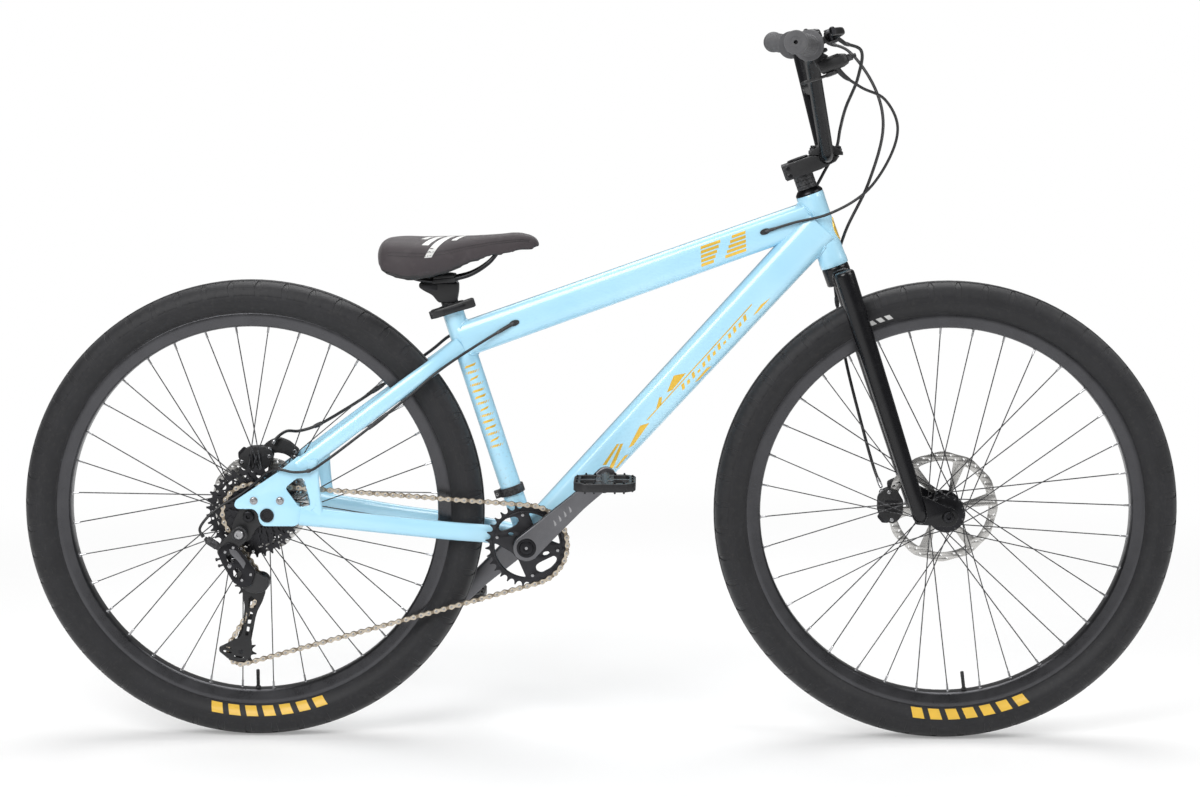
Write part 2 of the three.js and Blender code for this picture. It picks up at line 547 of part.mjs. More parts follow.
function hubShape(sizes, isRear) {
  const wall = hub.flangeWall / 2;
  const discFace = sizes.disc - rotor.wall / 2 - gap;
  const rightEnd = isRear ? sizes.right + hub.cone : sizes.half;
  const rightRadius = isRear ? hub.seat : hub.cap;
  const profile = [[axle.hole, -rightEnd], [rightRadius, -rightEnd], [rightRadius, gap - sizes.right - hub.cone],
    [hub.flange, -sizes.right - wall], [hub.flange, wall - sizes.right], [hub.shell, hub.cone - sizes.right],
    [hub.shell, sizes.left - hub.cone], [hub.flange, sizes.left - wall], [hub.flange, sizes.left + wall],
    [hub.seat, sizes.left + hub.cone], [hub.seat, discFace], [hub.spigot, discFace],
    [hub.spigot, sizes.disc + rotor.wall], [hub.cap, sizes.disc + hub.cone], [hub.cap, sizes.half],
    [axle.hole, sizes.half]];
  const pieces = [turned(profile)];
  const perSide = spoke.count / 2;
  const swing = (spoke.cross * 2 * Math.PI) / perSide;
  const turn = THREE.MathUtils.degToRad(sizes.valveAngle) + Math.PI / spoke.count - Math.PI / 2;
  [-1, 1].forEach((way) => {
    for (let index = 0; index < perSide; index += 1) {
      const start = turn + ((index + (way > 0 ? 0.5 : 0)) / perSide) * 2 * Math.PI;
      const end = start + (index % 2 ? -swing : swing);
      const face = index % 2 ? 1 : -1;
      const flangeY = (way > 0 ? sizes.left : -sizes.right) + face * spoke.flangeSide;
      const reach = rim.inner - gap;
      const from = point(hub.spokeCircle * Math.cos(start), flangeY, hub.spokeCircle * Math.sin(start));
      const to = point(reach * Math.cos(end), way * spoke.rimSide, reach * Math.sin(end));
      const ends = [from, to].map((at) => ({ at, wide: spoke.radius, deep: spoke.radius }));
      pieces.push(loft(ends, spoke.sides, 1, point(0, -face, 0)));
    }
  });
  return join(pieces);
}

function rotorShape(sizes) {
  const track = sizes.discRadius - rotor.track;
  const windows = ringWindows(rotor.centre, track, rotor.arms, rotor.armWidth, rotor.windowSteps);
  return plate(circle(0, 0, sizes.discRadius, wheelSides), sizes.disc - rotor.wall / 2, sizes.disc + rotor.wall / 2,
    [...windows, circle(0, 0, hub.spigot + gap, turnedSides)]);
}

function addWheel(end, centre, sizes) {
  const group = addGroup(model, centre);
  const spin = end === 'rear';
  addPiece(group, `${end}_tyre`, tyreShape(), paint.rubber);
  addPiece(group, `${end}_rim`, rimShape(sizes.valveAngle), paint.satin);
  addPiece(group, `${end}_hub_and_spokes`, hubShape(sizes, spin), paint.satin);
  addPiece(group, `${end}_brake_disc`, rotorShape(sizes), paint.steel);
  return group;
}

const steering = addGroup(model, headBottom, headAngle - Math.PI / 2);
const axleInFork = point(forkOffset, 0, -forkLength);
addWheel('rear', rearAxle, rearHub);
addWheel('front', frontAxle, frontHub);

function axleShape(headFrom) {
  const tip = headFrom + axle.headLength;
  return turned([[0, -tip], [axle.headRadius, -tip], [axle.headRadius, -headFrom], [axle.radius, -headFrom],
    [axle.radius, headFrom], [axle.headRadius, headFrom], [axle.headRadius, tip], [0, tip]]);
}
addPiece(addGroup(model, rearAxle), 'rear_axle', axleShape(axlePlate.inner + axlePlate.wall + gap), paint.satin);
const frontAxleGroup = addGroup(steering, axleInFork, Math.PI / 2 - headAngle);
addPiece(frontAxleGroup, 'front_axle', axleShape(fork.tipInner + fork.tipWall + gap), paint.satin);

// Cassette: the cogs on their core
function cassetteShape() {
  const planeOf = (index) => chainPlane - (index - cassette.inUse) * cassette.spacing;
  const half = sprocket.wall / 2;
  const cogs = cassette.teeth.map((teeth, index) => {
    const used = index === cassette.inUse;
    return plate(sprocketOutline(teeth, used ? rollerAngle(0) : 0, 0, !used), planeOf(index) - half,
      planeOf(index) + half);
  });
  const coreFrom = -rearHub.right - hub.cone - gap;
  const coreTo = planeOf(cassette.teeth.length - 1) - half;
  const bore = crossRod(0, 0, -rearHub.half - overrun, coreFrom + overrun, clearing(axle.radius));
  const core = crossRod(0, 0, coreTo, coreFrom, cassette.core);
  return cut(join([core, crossRod(0, 0, -rearHub.half, coreTo, cassette.nose), ...cogs]), [bore]);
}
addPiece(addGroup(model, rearAxle), 'cassette', cassetteShape(), paint.satin);

// Crankset
const cranks = addGroup(model, crankCentre);

function chainringShape() {
  const half = chainring.wall / 2;
  const pitchRadius = turnsOf(chainring.teeth) * chainPitch;
  const openTo = pitchRadius - sprocket.root - chainring.rim;
  const windows = ringWindows(chainring.seatRadius, openTo, chainring.arms, chainring.armWidth, rotor.windowSteps);
  const ring = plate(sprocketOutline(chainring.teeth, rollerAngle(1)), chainPlane - half,
    chainPlane + half, windows);
  const seat = crossRod(0, 0, chainPlane - chainring.seatWall, chainPlane, chainring.seatRadius);
  const bore = crossRod(0, 0, chainPlane - chainring.seatWall - overrun, chainPlane + overrun, crank.nose + gap);
  return cut(join([ring, seat]), [bore]);
}

// An arm from the spindle to the pedal, with the pedal's axle in its end; way is -1 on the drive side
function armShape(way) {
  const ahead = point(Math.cos(crank.angle), 0, Math.sin(crank.angle)).multiplyScalar(-way);
  const arm = loft(crank.armRoute.map(([share, onward, plane, wall, width]) => ({
    at: ahead.clone().multiplyScalar(share * crank.length + onward).setY(way * plane), wide: wall / 2, deep: width / 2,
  })), smallSides, boxiness);
  const foot = ahead.clone().multiplyScalar(crank.length);
  const axleEnd = way * (crank.tipPlane + pedal.axleReach);
  const pedalAxle = crossRod(foot.x, foot.z, way * crank.tipPlane, axleEnd, pedal.axle, smallSides);
  const faceOut = way * (crank.bossPlane + crank.bossWall / 2 + crank.capProud);
  const cap = crossRod(0, 0, way * crank.bossPlane, faceOut, crank.cap);
  return join([arm, pedalAxle, cap]);
}

const cupFace = bottomBracket.half + bottomBracket.cupWall;
const noseEnd = cupFace + gap;
const rightCrank = join([armShape(-1), crossRod(0, 0, -crank.bossPlane, -noseEnd, crank.nose),
  crossRod(0, 0, -crank.bossPlane, crank.bossPlane, crank.spindle)]);
addPiece(cranks, 'right_crank', rightCrank, paint.crankGrey);
addPiece(cranks, 'chainring', chainringShape(), paint.satin);
const leftBoss = crossRod(0, 0, noseEnd, crank.bossPlane, crank.nose + crank.capProud);
const spindleHole = crossRod(0, 0, 0, crank.bossPlane + gap, crank.spindle + gap);
addPiece(cranks, 'left_crank', cut(join([armShape(1), leftBoss]), [spindleHole]), paint.crankGrey);

// Pedals: a platform around a barrel, with four windows
function pedalShape() {
  const halfLength = pedal.length / 2;
  const windowX = (way) => {
    const near = pedal.barrel / 2 + pedal.web / 2;
    const far = halfLength - pedal.rail;
    return way > 0 ? [near, far] : [-far, -near];
  };
  const spanFrom = pedal.rail;
  const spanTo = pedal.width - pedal.rail;
  const middle = pedal.width / 2;
  const windows = [-1, 1].flatMap((way) => [[spanFrom, middle - pedal.web / 2], [middle + pedal.web / 2, spanTo]]
    .map(([low, high]) => {
      const [left, right] = windowX(way);
      return [[left, low], [right, low], [right, high], [left, high]];
    }));
  const outline = chamfered(halfLength, middle, pedal.corner).map(([x, y]) => [x, y + middle]);
  const platform = slab(outline, -pedal.wall / 2, pedal.wall / 2, windows);
  const sleeve = crossRod(0, 0, -pedal.clearance / 2, middle, pedal.barrel / 2, smallSides);
  const bore = crossRod(0, 0, -overrun - pedal.clearance, pedal.axleReach, clearing(pedal.axle, smallSides), smallSides);
  return cut(join([platform, sleeve]), [bore]);
}
const crankTip = point(Math.cos(crank.angle), 0, Math.sin(crank.angle)).multiplyScalar(crank.length);
const pedalStart = crank.tipPlane + crank.tipWall / 2 + pedal.clearance;
const rightPedal = addGroup(cranks, crankTip.clone().setY(-pedalStart));
addPiece(rightPedal, 'right_pedal', mirrored(pedalShape()), paint.satin);
const leftPedal = addGroup(cranks, crankTip.clone().negate().setY(pedalStart));
addPiece(leftPedal, 'left_pedal', pedalShape(), paint.satin);

// Chain: two runs of plates with a four-sided roller between them at each pin. Every second link's plates
// pins stand further out.
function chainShape() {
  const pins = Array.from({ length: linkCount }, (_, link) => chainPoint(link * chainPitch));
  const corners = [];
  const faces = [];
  const addCorner = (x, y, z) => corners.push(x, chainPlane + y, z) / 3 - 1;
  const addFace = (way, ...ring) => {
    const ordered = way > 0 ? ring : ring.reverse();
    for (let corner = 1; corner < ordered.length - 1; corner += 1) {
      faces.push(ordered[0], ordered[corner], ordered[corner + 1]);
    }
  };
  const sideRings = [-1, 1].map((way) => pins.map((pin, index) => {
    const before = pins[(index + linkCount - 1) % linkCount];
    const after = pins[(index + 1) % linkCount];
    const span = Math.hypot(after.x - before.x, after.z - before.z);
    const along = [(after.x - before.x) / span, (after.z - before.z) / span];
    const corner = (spread, rise, ahead) => addCorner(pin.x + along[0] * ahead - along[1] * rise, way * spread,
      pin.z + along[1] * ahead + along[0] * rise);
    const half = chain.height / 2;
    const outer = index % 2 ? chain.outer : chain.innerLinkOuter;
    return {
      inTop: corner(chain.inner, half, 0), outTop: corner(outer, half, 0),
      outLow: corner(outer, -half, 0), inLow: corner(chain.inner, -half, 0),
      ahead: corner(chain.inner, 0, chain.roller), behind: corner(chain.inner, 0, -chain.roller),
    };
  }));
  [-1, 1].forEach((way, side) => pins.forEach((_pin, index) => {
    const here = sideRings[side][index];
    const there = sideRings[side][(index + 1) % linkCount];
    addFace(way, here.inTop, here.outTop, there.outTop, there.inTop);
    addFace(way, here.outTop, here.outLow, there.outLow, there.outTop);
    addFace(way, here.outLow, here.inLow, there.inLow, there.outLow);
    addFace(way, here.inLow, here.ahead, there.behind, there.inLow);
    addFace(way, here.ahead, here.inTop, there.inTop, there.behind);
  }));
  const rollerCorners = ['inTop', 'ahead', 'inLow', 'behind'];
  sideRings[0].forEach((right, index) => {
    const left = sideRings[1][index];
    rollerCorners.forEach((name, corner) => {
      const following = rollerCorners[(corner + 1) % rollerCorners.length];
      addFace(-1, right[name], right[following], left[following], left[name]);
    });
  });
  const geometry = new THREE.BufferGeometry();
  geometry.setAttribute('position', new THREE.Float32BufferAttribute(corners, 3));
  geometry.setIndex(faces);
  return geometry;
}
addPiece(model, 'chain', chainShape(), paint.chainSteel);

// Rear derailleur

function pulleyShape(index) {
  const half = sprocket.wall / 2;
  const wheel = plate(sprocketOutline(derailleur.teeth, rollerAngle(index)), chainPlane - half, chainPlane + half);
  const { pulleyHubHalf } = derailleur;
  const boss = crossRod(0, 0, chainPlane - pulleyHubHalf, chainPlane + pulleyHubHalf, derailleur.pulleyHub, smallSides);
  const bore = crossRod(0, 0, chainPlane - overrun, chainPlane + overrun, derailleur.pulleyBore, smallSides);
  return cut(join([wheel, boss]), [bore]);
}
addPiece(addGroup(model, guideCentre), 'guide_pulley', pulleyShape(3), paint.plastic);
addPiece(addGroup(model, tensionCentre), 'tension_pulley', pulleyShape(2), paint.plastic);

// Two side plates that hold the pulleys on their pins, slotted between them
function cageShape() {
  const { plateGap, plateWall, pin } = derailleur;
  const down = tensionCentre.clone().sub(guideCentre).normalize();
  const side = point(-down.z, 0, down.x);
  const anchors = {
    guide: guideCentre, tension: tensionCentre, middle: guideCentre.clone().add(tensionCentre).divideScalar(2),
  };
  const placed = ([anchor, along, across]) => {
    const spot = anchors[anchor].clone().addScaledVector(down, along * cage.endRadius)
      .addScaledVector(side, across * cage.endRadius);
    return [spot.x, spot.z];
  };
  const plates = [-1, 1].map((way) => plate(cage.outlineShares.map(placed), chainPlane + way * plateGap,
    chainPlane + way * (plateGap + plateWall), cage.windowShares.map((window) => window.map(placed))));
  const reach = plateGap + plateWall / 2;
  const pins = [guideCentre, tensionCentre].map((centre) => crossRod(centre.x, centre.z, chainPlane - reach,
    chainPlane + reach, pin, smallSides));
  return join([...plates, ...pins]);
}
addPiece(model, 'derailleur_cage', cageShape(), paint.satin);

const hanger = point(rearAxle.x + axlePlate.hangerX, 0, rearAxle.z + axlePlate.hangerZ);
const hangerFace = axlePlate.inner + axlePlate.wall;

function derailleurShape() {
  const knuckleIn = hangerFace + gap;
  const { knuckleOuter, outer } = derailleur;
  const middleY = -(knuckleIn + knuckleOuter) / 2;
  const knuckle = crossRod(hanger.x, hanger.z, -knuckleIn, -knuckleOuter, derailleur.knuckle, smallSides);
  const bolt = crossRod(hanger.x, hanger.z, -axlePlate.inner, -knuckleOuter, derailleur.hangerBolt, smallSides);
  const head = crossRod(hanger.x, hanger.z, -knuckleOuter, -knuckleOuter - derailleur.boltProud, derailleur.boltHead,
    smallSides);
  const arm = loft(derailleur.armRoute.map(([x, z, wide, deep]) => ({ at: offRearAxle(x, middleY, z), wide, deep })),
    smallSides, boxiness);
  const pivot = crossRod(cagePivot.x, cagePivot.z, -derailleur.innerFace, -outer, derailleur.pivotRadius, smallSides);
  const barrel = rod(offRearAxle(derailleur.barrelRootX, middleY, derailleur.barrelRootZ),
    offRearAxle(derailleur.barrelX, middleY, derailleur.barrelZ), derailleur.barrelRadius, smallSides);
  return join([knuckle, bolt, head, arm, pivot, barrel]);
}
addPiece(model, 'rear_derailleur', derailleurShape(), paint.plastic);

// Frame
const pastHead = [headBottom.clone().addScaledVector(steerUp, -overrun), headTop.clone().addScaledVector(steerUp, overrun)];
const headCutter = solidOf(rod(pastHead[0], pastHead[1], headTube.bottomRadius + gap));

const steadyHead = addGroup(model, headBottom, headAngle - Math.PI / 2);
addPiece(steadyHead, 'head_tube', upturned([[headTube.bore, -headTube.seatDepth], [headTube.counterbore, -headTube.seatDepth],
  [headTube.counterbore, 0], [headTube.bottomRadius, 0], [headTube.radius, -headLength], [headTube.counterbore, -headLength],
  [headTube.counterbore, headTube.seatDepth - headLength], [headTube.bore, headTube.seatDepth - headLength]]
  .map(([radius, along]) => [radius, -along])), paint.blue);

// A frame tube between two points with its own depth and width at each end; extra makes it a cutter
function frameTube(from, to, sizes, extra = 0) {
  return loft([{ at: from, wide: sizes.fromWide + extra, deep: sizes.fromDeep + extra },
    { at: to, wide: sizes.toWide + extra, deep: sizes.toDeep + extra }]);
}

const topFrom = seatTop.clone().add(point(topTube.rearAhead, 0, -topTube.rearDrop));
const topTo = headTop.clone().add(point(topTube.frontAhead, 0, -topTube.frontDrop));
const topSizes = { fromWide: topTube.rearWide, fromDeep: topTube.rearDeep, toWide: topTube.frontWide,
  toDeep: topTube.frontDeep };
const downTo = headTop.clone().add(point(downTube.frontAhead, 0, -downTube.frontDrop));
const downSizes = { fromWide: downTube.rearWide, fromDeep: downTube.rearDeep, toWide: downTube.frontWide,
  toDeep: downTube.frontDeep };
const seatOuter = rod(crankCentre, seatTop, seatTube.radius, turnedSides);
const seatCutter = solidOf(rod(crankCentre, seatTop.clone().addScaledVector(seatUp, overrun), seatTube.radius + gap));
const shellCutter = solidOf(crossRod(crankCentre.x, crankCentre.z, -bottomBracket.half - overrun,
  bottomBracket.half + overrun, bottomBracket.radius + gap));
const topCutter = solidOf(frameTube(topFrom, topTo, topSizes, gap));

const largestPart = (solid) => solid.decompose().reduce((best, next) => (next.volume() > best.volume() ? next : best));
addPiece(model, 'top_tube', largestPart(cut(frameTube(topFrom, topTo, topSizes), [headCutter, seatCutter])), paint.blue);
const mitredDown = largestPart(cut(frameTube(crankCentre, downTo, downSizes),
  [headCutter, topCutter, shellCutter, seatCutter]));
addPiece(model, 'down_tube', mitredDown, paint.blue);

const seatBore = rod(crankCentre, seatTop.clone().addScaledVector(seatUp, overrun), seatTube.bore);
addPiece(model, 'seat_tube', largestPart(cut(seatOuter, [seatBore, shellCutter])), paint.blue);

// The shell with a bearing cup screwed into each end
const bracket = addGroup(model, crankCentre);
const cupBore = clearing(crank.spindle);
const shellProfile = [[cupBore, -cupFace], [bottomBracket.cup, -cupFace],
  [bottomBracket.cup, -bottomBracket.half], [bottomBracket.radius, -bottomBracket.half],
  [bottomBracket.radius, bottomBracket.half], [bottomBracket.cup, bottomBracket.half],
  [bottomBracket.cup, cupFace], [cupBore, cupFace]];
addPiece(bracket, 'bottom_bracket', turned(shellProfile), paint.blue);

// Stays: points of X, Z and how far out, on both sides
function stayRoute({ rearAhead, rearUp, frontAhead, frontUp, bendShares }, frontEnd) {
  const from = rearAxle.clone().add(point(rearAhead, 0, rearUp));
  const to = frontEnd.clone().add(point(frontAhead, 0, frontUp));
  return bendShares.map(([share, rise, out]) => {
    const at = from.clone().lerp(to, share);
    return [at.x, at.z + rise, out];
  });
}
const chainstayRoute = stayRoute(chainstay, crankCentre);
const seatstayRoute = stayRoute(seatstay, seatTop);
function stayShape(route, way, depths) {
  return loft(route.map(([x, z, out], index) => ({
    at: point(x, way * out, z), wide: index ? stay.wide : stay.endWide, deep: depths(index),
  })), tubeSides);
}
const offAxle = (outline) => outline.map(([x, z]) => [rearAxle.x + x, rearAxle.z + z]);
const boltHoles = () => [...dropout.bolts, dropout.pivot].map(([x, z]) => circle(x, z, dropout.boltRadius + gap,
  boltSides));

// On the left the axle plate is one piece with the dropout, so the two run into each other
const dropoutInner = (way) => (way < 0 ? dropout.inner : axlePlate.inner + axlePlate.wall - gap);
function dropoutShape(way) {
  const inner = dropoutInner(way);
  const outer = dropout.inner + dropout.wall;
  const windows = [dropout.window, ...boltHoles()];
  return plate(offAxle(dropout.outline), way * inner, way * outer, windows.map(offAxle));
}

function axlePlateShape(way) {
  const face = axlePlate.inner + axlePlate.wall;
  const outer = dropout.inner + dropout.wall;
  const outline = way < 0 ? axlePlate.outline : axlePlate.leftOutline;
  const holes = [circle(0, 0, axle.hole, tubeSides)];
  if (way < 0) holes.push(circle(axlePlate.hangerX, axlePlate.hangerZ, derailleur.hangerBolt + gap, tubeSides));
  const body = plate(offAxle(outline), way * axlePlate.inner, way * face, holes.map(offAxle));
  const bolt = ([x, z], headRadius, proud) => [
    crossRod(rearAxle.x + x, rearAxle.z + z, way * axlePlate.inner, way * (outer + proud), dropout.boltRadius, boltSides),
    crossRod(rearAxle.x + x, rearAxle.z + z, way * (outer + gap), way * (outer + proud), headRadius, smallSides)];
  return join([body, ...dropout.bolts.flatMap((spot) => bolt(spot, dropout.boltHead, dropout.boltProud)),
    ...bolt(dropout.pivot, dropout.pivotRadius, dropout.pivotProud)]);
}

[['right', -1], ['left', 1]].forEach(([side, way]) => {
  const grownPlate = plate(offAxle(dropout.outline), way * (dropoutInner(way) - gap),
    way * (dropout.inner + dropout.wall + gap));
  const chainstayTube = stayShape(chainstayRoute, way, (index) => (index ? stay.chainDeep : stay.chainEndDeep));
  const seatstayTube = stayShape(seatstayRoute, way, () => stay.seatDeep);
  const grownStays = [[chainstayRoute, stay.chainDeep, stay.chainEndDeep], [seatstayRoute, stay.seatDeep, stay.seatDeep]]
    .map(([route, deep, endDeep]) => loft(route.map(([x, z, out], index) => ({
      at: point(x, way * out, z), wide: (index ? stay.wide : stay.endWide) + gap, deep: (index ? deep : endDeep) + gap,
    })), tubeSides));
  addPiece(model, `${side}_chainstay`, largestPart(cut(chainstayTube, [grownPlate, shellCutter, seatCutter,
    frameTube(crankCentre, downTo, downSizes, gap)])), paint.blue);
  addPiece(model, `${side}_seatstay`, largestPart(cut(seatstayTube, [grownPlate, seatCutter, topCutter])), paint.blue);
  const strutPiece = largestPart(cut(loft(strutRoute.map(([x, z, out]) => ({
    at: offRearAxle(x, way * out, z), wide: strut.wide, deep: strut.deep,
  })), smallSides), grownStays));
  const plates = way < 0 ? [] : [axlePlateShape(way)];
  addPiece(model, `${side}_dropout`, join([dropoutShape(way), strutPiece, ...plates]), paint.blue);
  if (way < 0) addPiece(model, `${side}_axle_plate`, axlePlateShape(way), paint.satin);
});

// Band around the foot of the seat tube, with its screw lug behind
const seatFrame = addGroup(model, crankCentre, seatAngle - Math.PI / 2);
const seatHole = (from, to, radius) => rod(point(0, 0, from - overrun), point(0, 0, to + overrun), radius, turnedSides);
const bandAt = seatTube.bandShare * seatTubeLength;
const bandOuter = seatTube.radius + seatTube.bandWall;
const band = join([rod(point(0, 0, bandAt), point(0, 0, bandAt + seatTube.bandHeight), bandOuter),
  box(-bandOuter - seatTube.lug, 0, -seatTube.lug / 2, seatTube.lug / 2, bandAt, bandAt + seatTube.bandHeight)]);
addPiece(seatFrame, 'seat_tube_band', cut(band, [seatHole(bandAt, bandAt + seatTube.bandHeight,
  seatTube.radius + gap)]), paint.satin);

// Seat clamp: a slotted collar with two ears behind, closed by a quick-release lever
const collarFrom = seatTubeLength - collar.below;
const collarTo = collarFrom + collar.height;
const collarOuter = seatTube.radius + collar.wall;
const earEnd = collarOuter + collar.lug;
const earMiddle = collarOuter + collar.lug / 2;
const collarBody = join([rod(point(0, 0, collarFrom), point(0, 0, collarTo), collarOuter),
  box(-earEnd, 0, -collar.lug, collar.lug, collarFrom, collarTo)]);
addPiece(seatFrame, 'seat_clamp_collar', cut(collarBody, [
  seatHole(collarFrom, collarTo, seatTube.radius + gap),
  box(-earEnd - overrun, 0, -collar.slot / 2, collar.slot / 2, collarFrom - overrun, collarTo + overrun),
  box(-earEnd - overrun, -collarOuter, -collar.lug - overrun, -collar.lug + collar.slot, collarFrom - overrun,
    collarTo + overrun)]), paint.satin);
const { eye } = quickLever;
const leverGroup = addGroup(seatFrame, point(-earMiddle, collar.slot - collar.lug - eye, (collarFrom + collarTo) / 2));
const bladeStation = (share, droop) => ({
  at: point(quickLever.length * share, -eye, 0), wide: quickLever.wide, deep: quickLever.deep * droop,
});
const leverShape = join([rod(point(0, 0, -collar.height / 2), point(0, 0, collar.height / 2), eye - gap, smallSides),
  loft([{ at: point(-eye / 4, -eye / 2, 0), wide: quickLever.wide, deep: quickLever.deep },
    ...quickLever.droopShares.map(([share, droop]) => bladeStation(share, droop))], smallSides)]);
addPiece(leverGroup, 'seat_clamp_lever', leverShape, paint.satin);

// Seat post: a tube into the frame, a head with its clamp, and the saddle's two rails held in it
const { rail } = seatPost;
const seatLean = seatAngle - Math.PI / 2;
function postShape() {
  const headAt = seatTubeLength + seatPost.headUp;
  const clampAt = seatTubeLength + seatPost.clampUp;
  const shaft = rod(point(0, 0, seatTubeLength - seatPost.sunk), point(0, 0, headAt), seatPost.radius);
  const levelBox = (up, rear, front, halfWidth, halfHeight) => box(-rear, front, -halfWidth, halfWidth, -halfHeight,
    halfHeight).rotateY(-seatLean).translate(0, 0, up);
  const head = levelBox(headAt, seatPost.headRear, seatPost.headFront, seatPost.headWidth / 2, seatPost.headHeight / 2);
  const clamp = levelBox(clampAt, seatPost.clampRear, seatPost.clampFront, seatPost.railHalf + 2 * rail,
    seatPost.clampHeight / 2);
  const toLocal = (x, y, z) => point(x, y, z).add(seatTop).sub(crankCentre).applyAxisAngle(point(0, 1, 0), -seatLean);
  const rails = [-1, 1].map((way) => loft(saddleRailRoute.map(([x, z, out]) => ({
    at: toLocal(x, way * out, z), wide: rail, deep: rail,
  })), cordSides));
  return join([shaft, head, clamp, ...rails]);
}
addPiece(seatFrame, 'seat_post', postShape(), paint.satin);

// Saddle: wide and rounded behind, drawn in to the nose, hollow-cheeked below
function saddleShape() {
  const stations = saddleStations.map(([x, top, below, half]) => ({ x, top, below, half }));
  const sides = saddleSection.length;
  const corners = [];
  const faces = [];
  stations.forEach(({ x, top, below, half }) => saddleSection.forEach(([across, rise]) => {
    corners.push(seatTop.x + x, across * half, seatTop.z + below + rise * (top - below));
  }));
  for (let ring = 0; ring < stations.length - 1; ring += 1) {
    for (let side = 0; side < sides; side += 1) {
      const a = ring * sides + side;
      const b = ring * sides + ((side + 1) % sides);
      faces.push(a, b, b + sides, a, b + sides, a + sides);
    }
  }
  const last = (stations.length - 1) * sides;
  for (let side = 1; side < sides - 1; side += 1) {
    faces.push(0, side + 1, side, last, last + side, last + side + 1);
  }
  const geometry = new THREE.BufferGeometry();
  geometry.setAttribute('position', new THREE.Float32BufferAttribute(corners, 3));
  geometry.setIndex(faces);
  return geometry;
}
addPiece(model, 'saddle', saddleShape(), paint.cover);

// Fork: steerer and crown, two legs with their tips, held by the head tube
const legAt = (share) => point(THREE.MathUtils.lerp(fork.legTopForward, fork.legEndForward, share),
  THREE.MathUtils.lerp(fork.legTopY, fork.legEndY, share), THREE.MathUtils.lerp(fork.legTop, fork.legEnd, share));
const legShape = (extra = 0) => rod(legAt(0), legAt(1), fork.legTopRadius + extra, tubeSides,
  fork.legEndRadius + extra);
function crownShape() {
  const steerer = rod(point(0, 0, -fork.crownDepth), point(0, 0, headLength + fork.steererAbove), headTube.steerer);
  const base = rod(point(0, 0, -fork.crownDepth), point(0, 0, -gap), fork.crown, tubeSides);
  const bridgeEnd = (way) => ({ at: point(fork.legTopForward / 2, way * fork.legTopY, -fork.bridgeDrop),
    wide: fork.bridgeWide, deep: fork.bridgeDeep });
  const bridge = loft([bridgeEnd(-1), bridgeEnd(1)], smallSides, boxiness, point(1, 0, 0));
  const legs = [legShape(gap), mirrored(legShape(gap))];
  return largestPart(cut(join([steerer, base, bridge]), legs));
}
addPiece(steering, 'fork_crown', crownShape(), paint.gloss);

// A leg with its tip: a plate from the leg's foot to the axle
function legWithTip() {
  const foot = legAt(1);
  const top = axleInFork.z + fork.tipRise;
  const around = [-2, -1, 0, 1, 2].map((step) => {
    const angle = (step * Math.PI) / 4;
    return [axleInFork.x + fork.tipRadius * Math.cos(angle), axleInFork.z + fork.tipRadius * Math.sin(angle)];
  });
  const outline = [[foot.x - fork.tipRear, foot.z], ...around, [foot.x + fork.tipRear, top],
    [foot.x - fork.tipRear / 2, top]];
  const tip = plate(outline, fork.tipInner, fork.tipInner + fork.tipWall,
    [circle(axleInFork.x, axleInFork.z, axle.hole, tubeSides)]);
  return join([legShape(), tip]);
}
addPiece(steering, 'left_fork_leg', legWithTip(), paint.gloss);
addPiece(steering, 'right_fork_leg', mirrored(legWithTip()), paint.gloss);

// Headset cover and spacer around the steerer, up to the stem
const stemMiddle = headLength + stem.middleAbove;
const stemLow = stemMiddle - stem.height / 2;
const stemHigh = stemMiddle + stem.height / 2;
const steererHole = headTube.steerer + gap;
addPiece(steering, 'headset_cover', upturned([[steererHole, -headLength - gap], [headset.cover, -headLength - gap],
  [headset.coverTop, -headLength - headset.coverHeight], [headset.spacer, -headLength - headset.coverHeight],
  [headset.spacer, gap - stemLow], [steererHole, gap - stemLow]].map(([radius, along]) => [radius, -along])), paint.satin);

// Stem: a clamp behind, slotted around the steerer, and a cradle for the bar with a lid bolted down over it
const barAt = point(bar.forward, 0, bar.up);
const barHole = () => crossRod(barAt.x, barAt.z, -stem.width, stem.width, clearing(bar.radius, tubeSides), tubeSides);
const lidTilt = Math.PI / 2 - headAngle;
const stemSplit = stem.split / 2;
function stemShape() {
  const outline = stem.outline.map(([x, z]) => [x, z + stemMiddle]);
  const body = plate(outline, -stem.width / 2, stem.width / 2);
  const collarPart = rod(point(0, 0, stemLow), point(0, 0, stemHigh), stem.collarRadius);
  const above = box(-stem.width, stem.width, -stem.width, stem.width, -stemSplit, stem.width)
    .rotateY(lidTilt).translate(barAt.x, 0, barAt.z);
  const keep = box(-stem.width, stem.collarRadius, -stem.width, stem.width, -stem.width, stem.width)
    .translate(0, 0, stemMiddle);
  const hole = rod(point(0, 0, stemLow - overrun), point(0, 0, stemHigh + overrun), steererHole);
  const slot = box(-stem.rear - overrun, 0, -stem.slot / 2, stem.slot / 2, stemLow - overrun, stemHigh + overrun);
  const cap = rod(point(0, 0, stemHigh - gap), point(0, 0, stemHigh + stem.capHeight), stem.cap);
  const clamped = cut(join([body, collarPart]), [cut(above, [keep]), barHole(), hole, slot]);
  return largestPart(join([clamped, cap]));
}
addPiece(steering, 'stem', stemShape(), paint.satin);

function lidShape() {
  const lid = plate(stem.lidOutline, -stem.clampWidth / 2, stem.clampWidth / 2).rotateY(lidTilt)
    .translate(barAt.x, 0, barAt.z);
  const capRoom = rod(point(0, 0, stemLow), point(0, 0, stemHigh + stem.width), clearing(stem.cap));
  return cut(lid, [barHole(), capRoom]);
}
addPiece(steering, 'stem_lid', lidShape(), paint.satin);

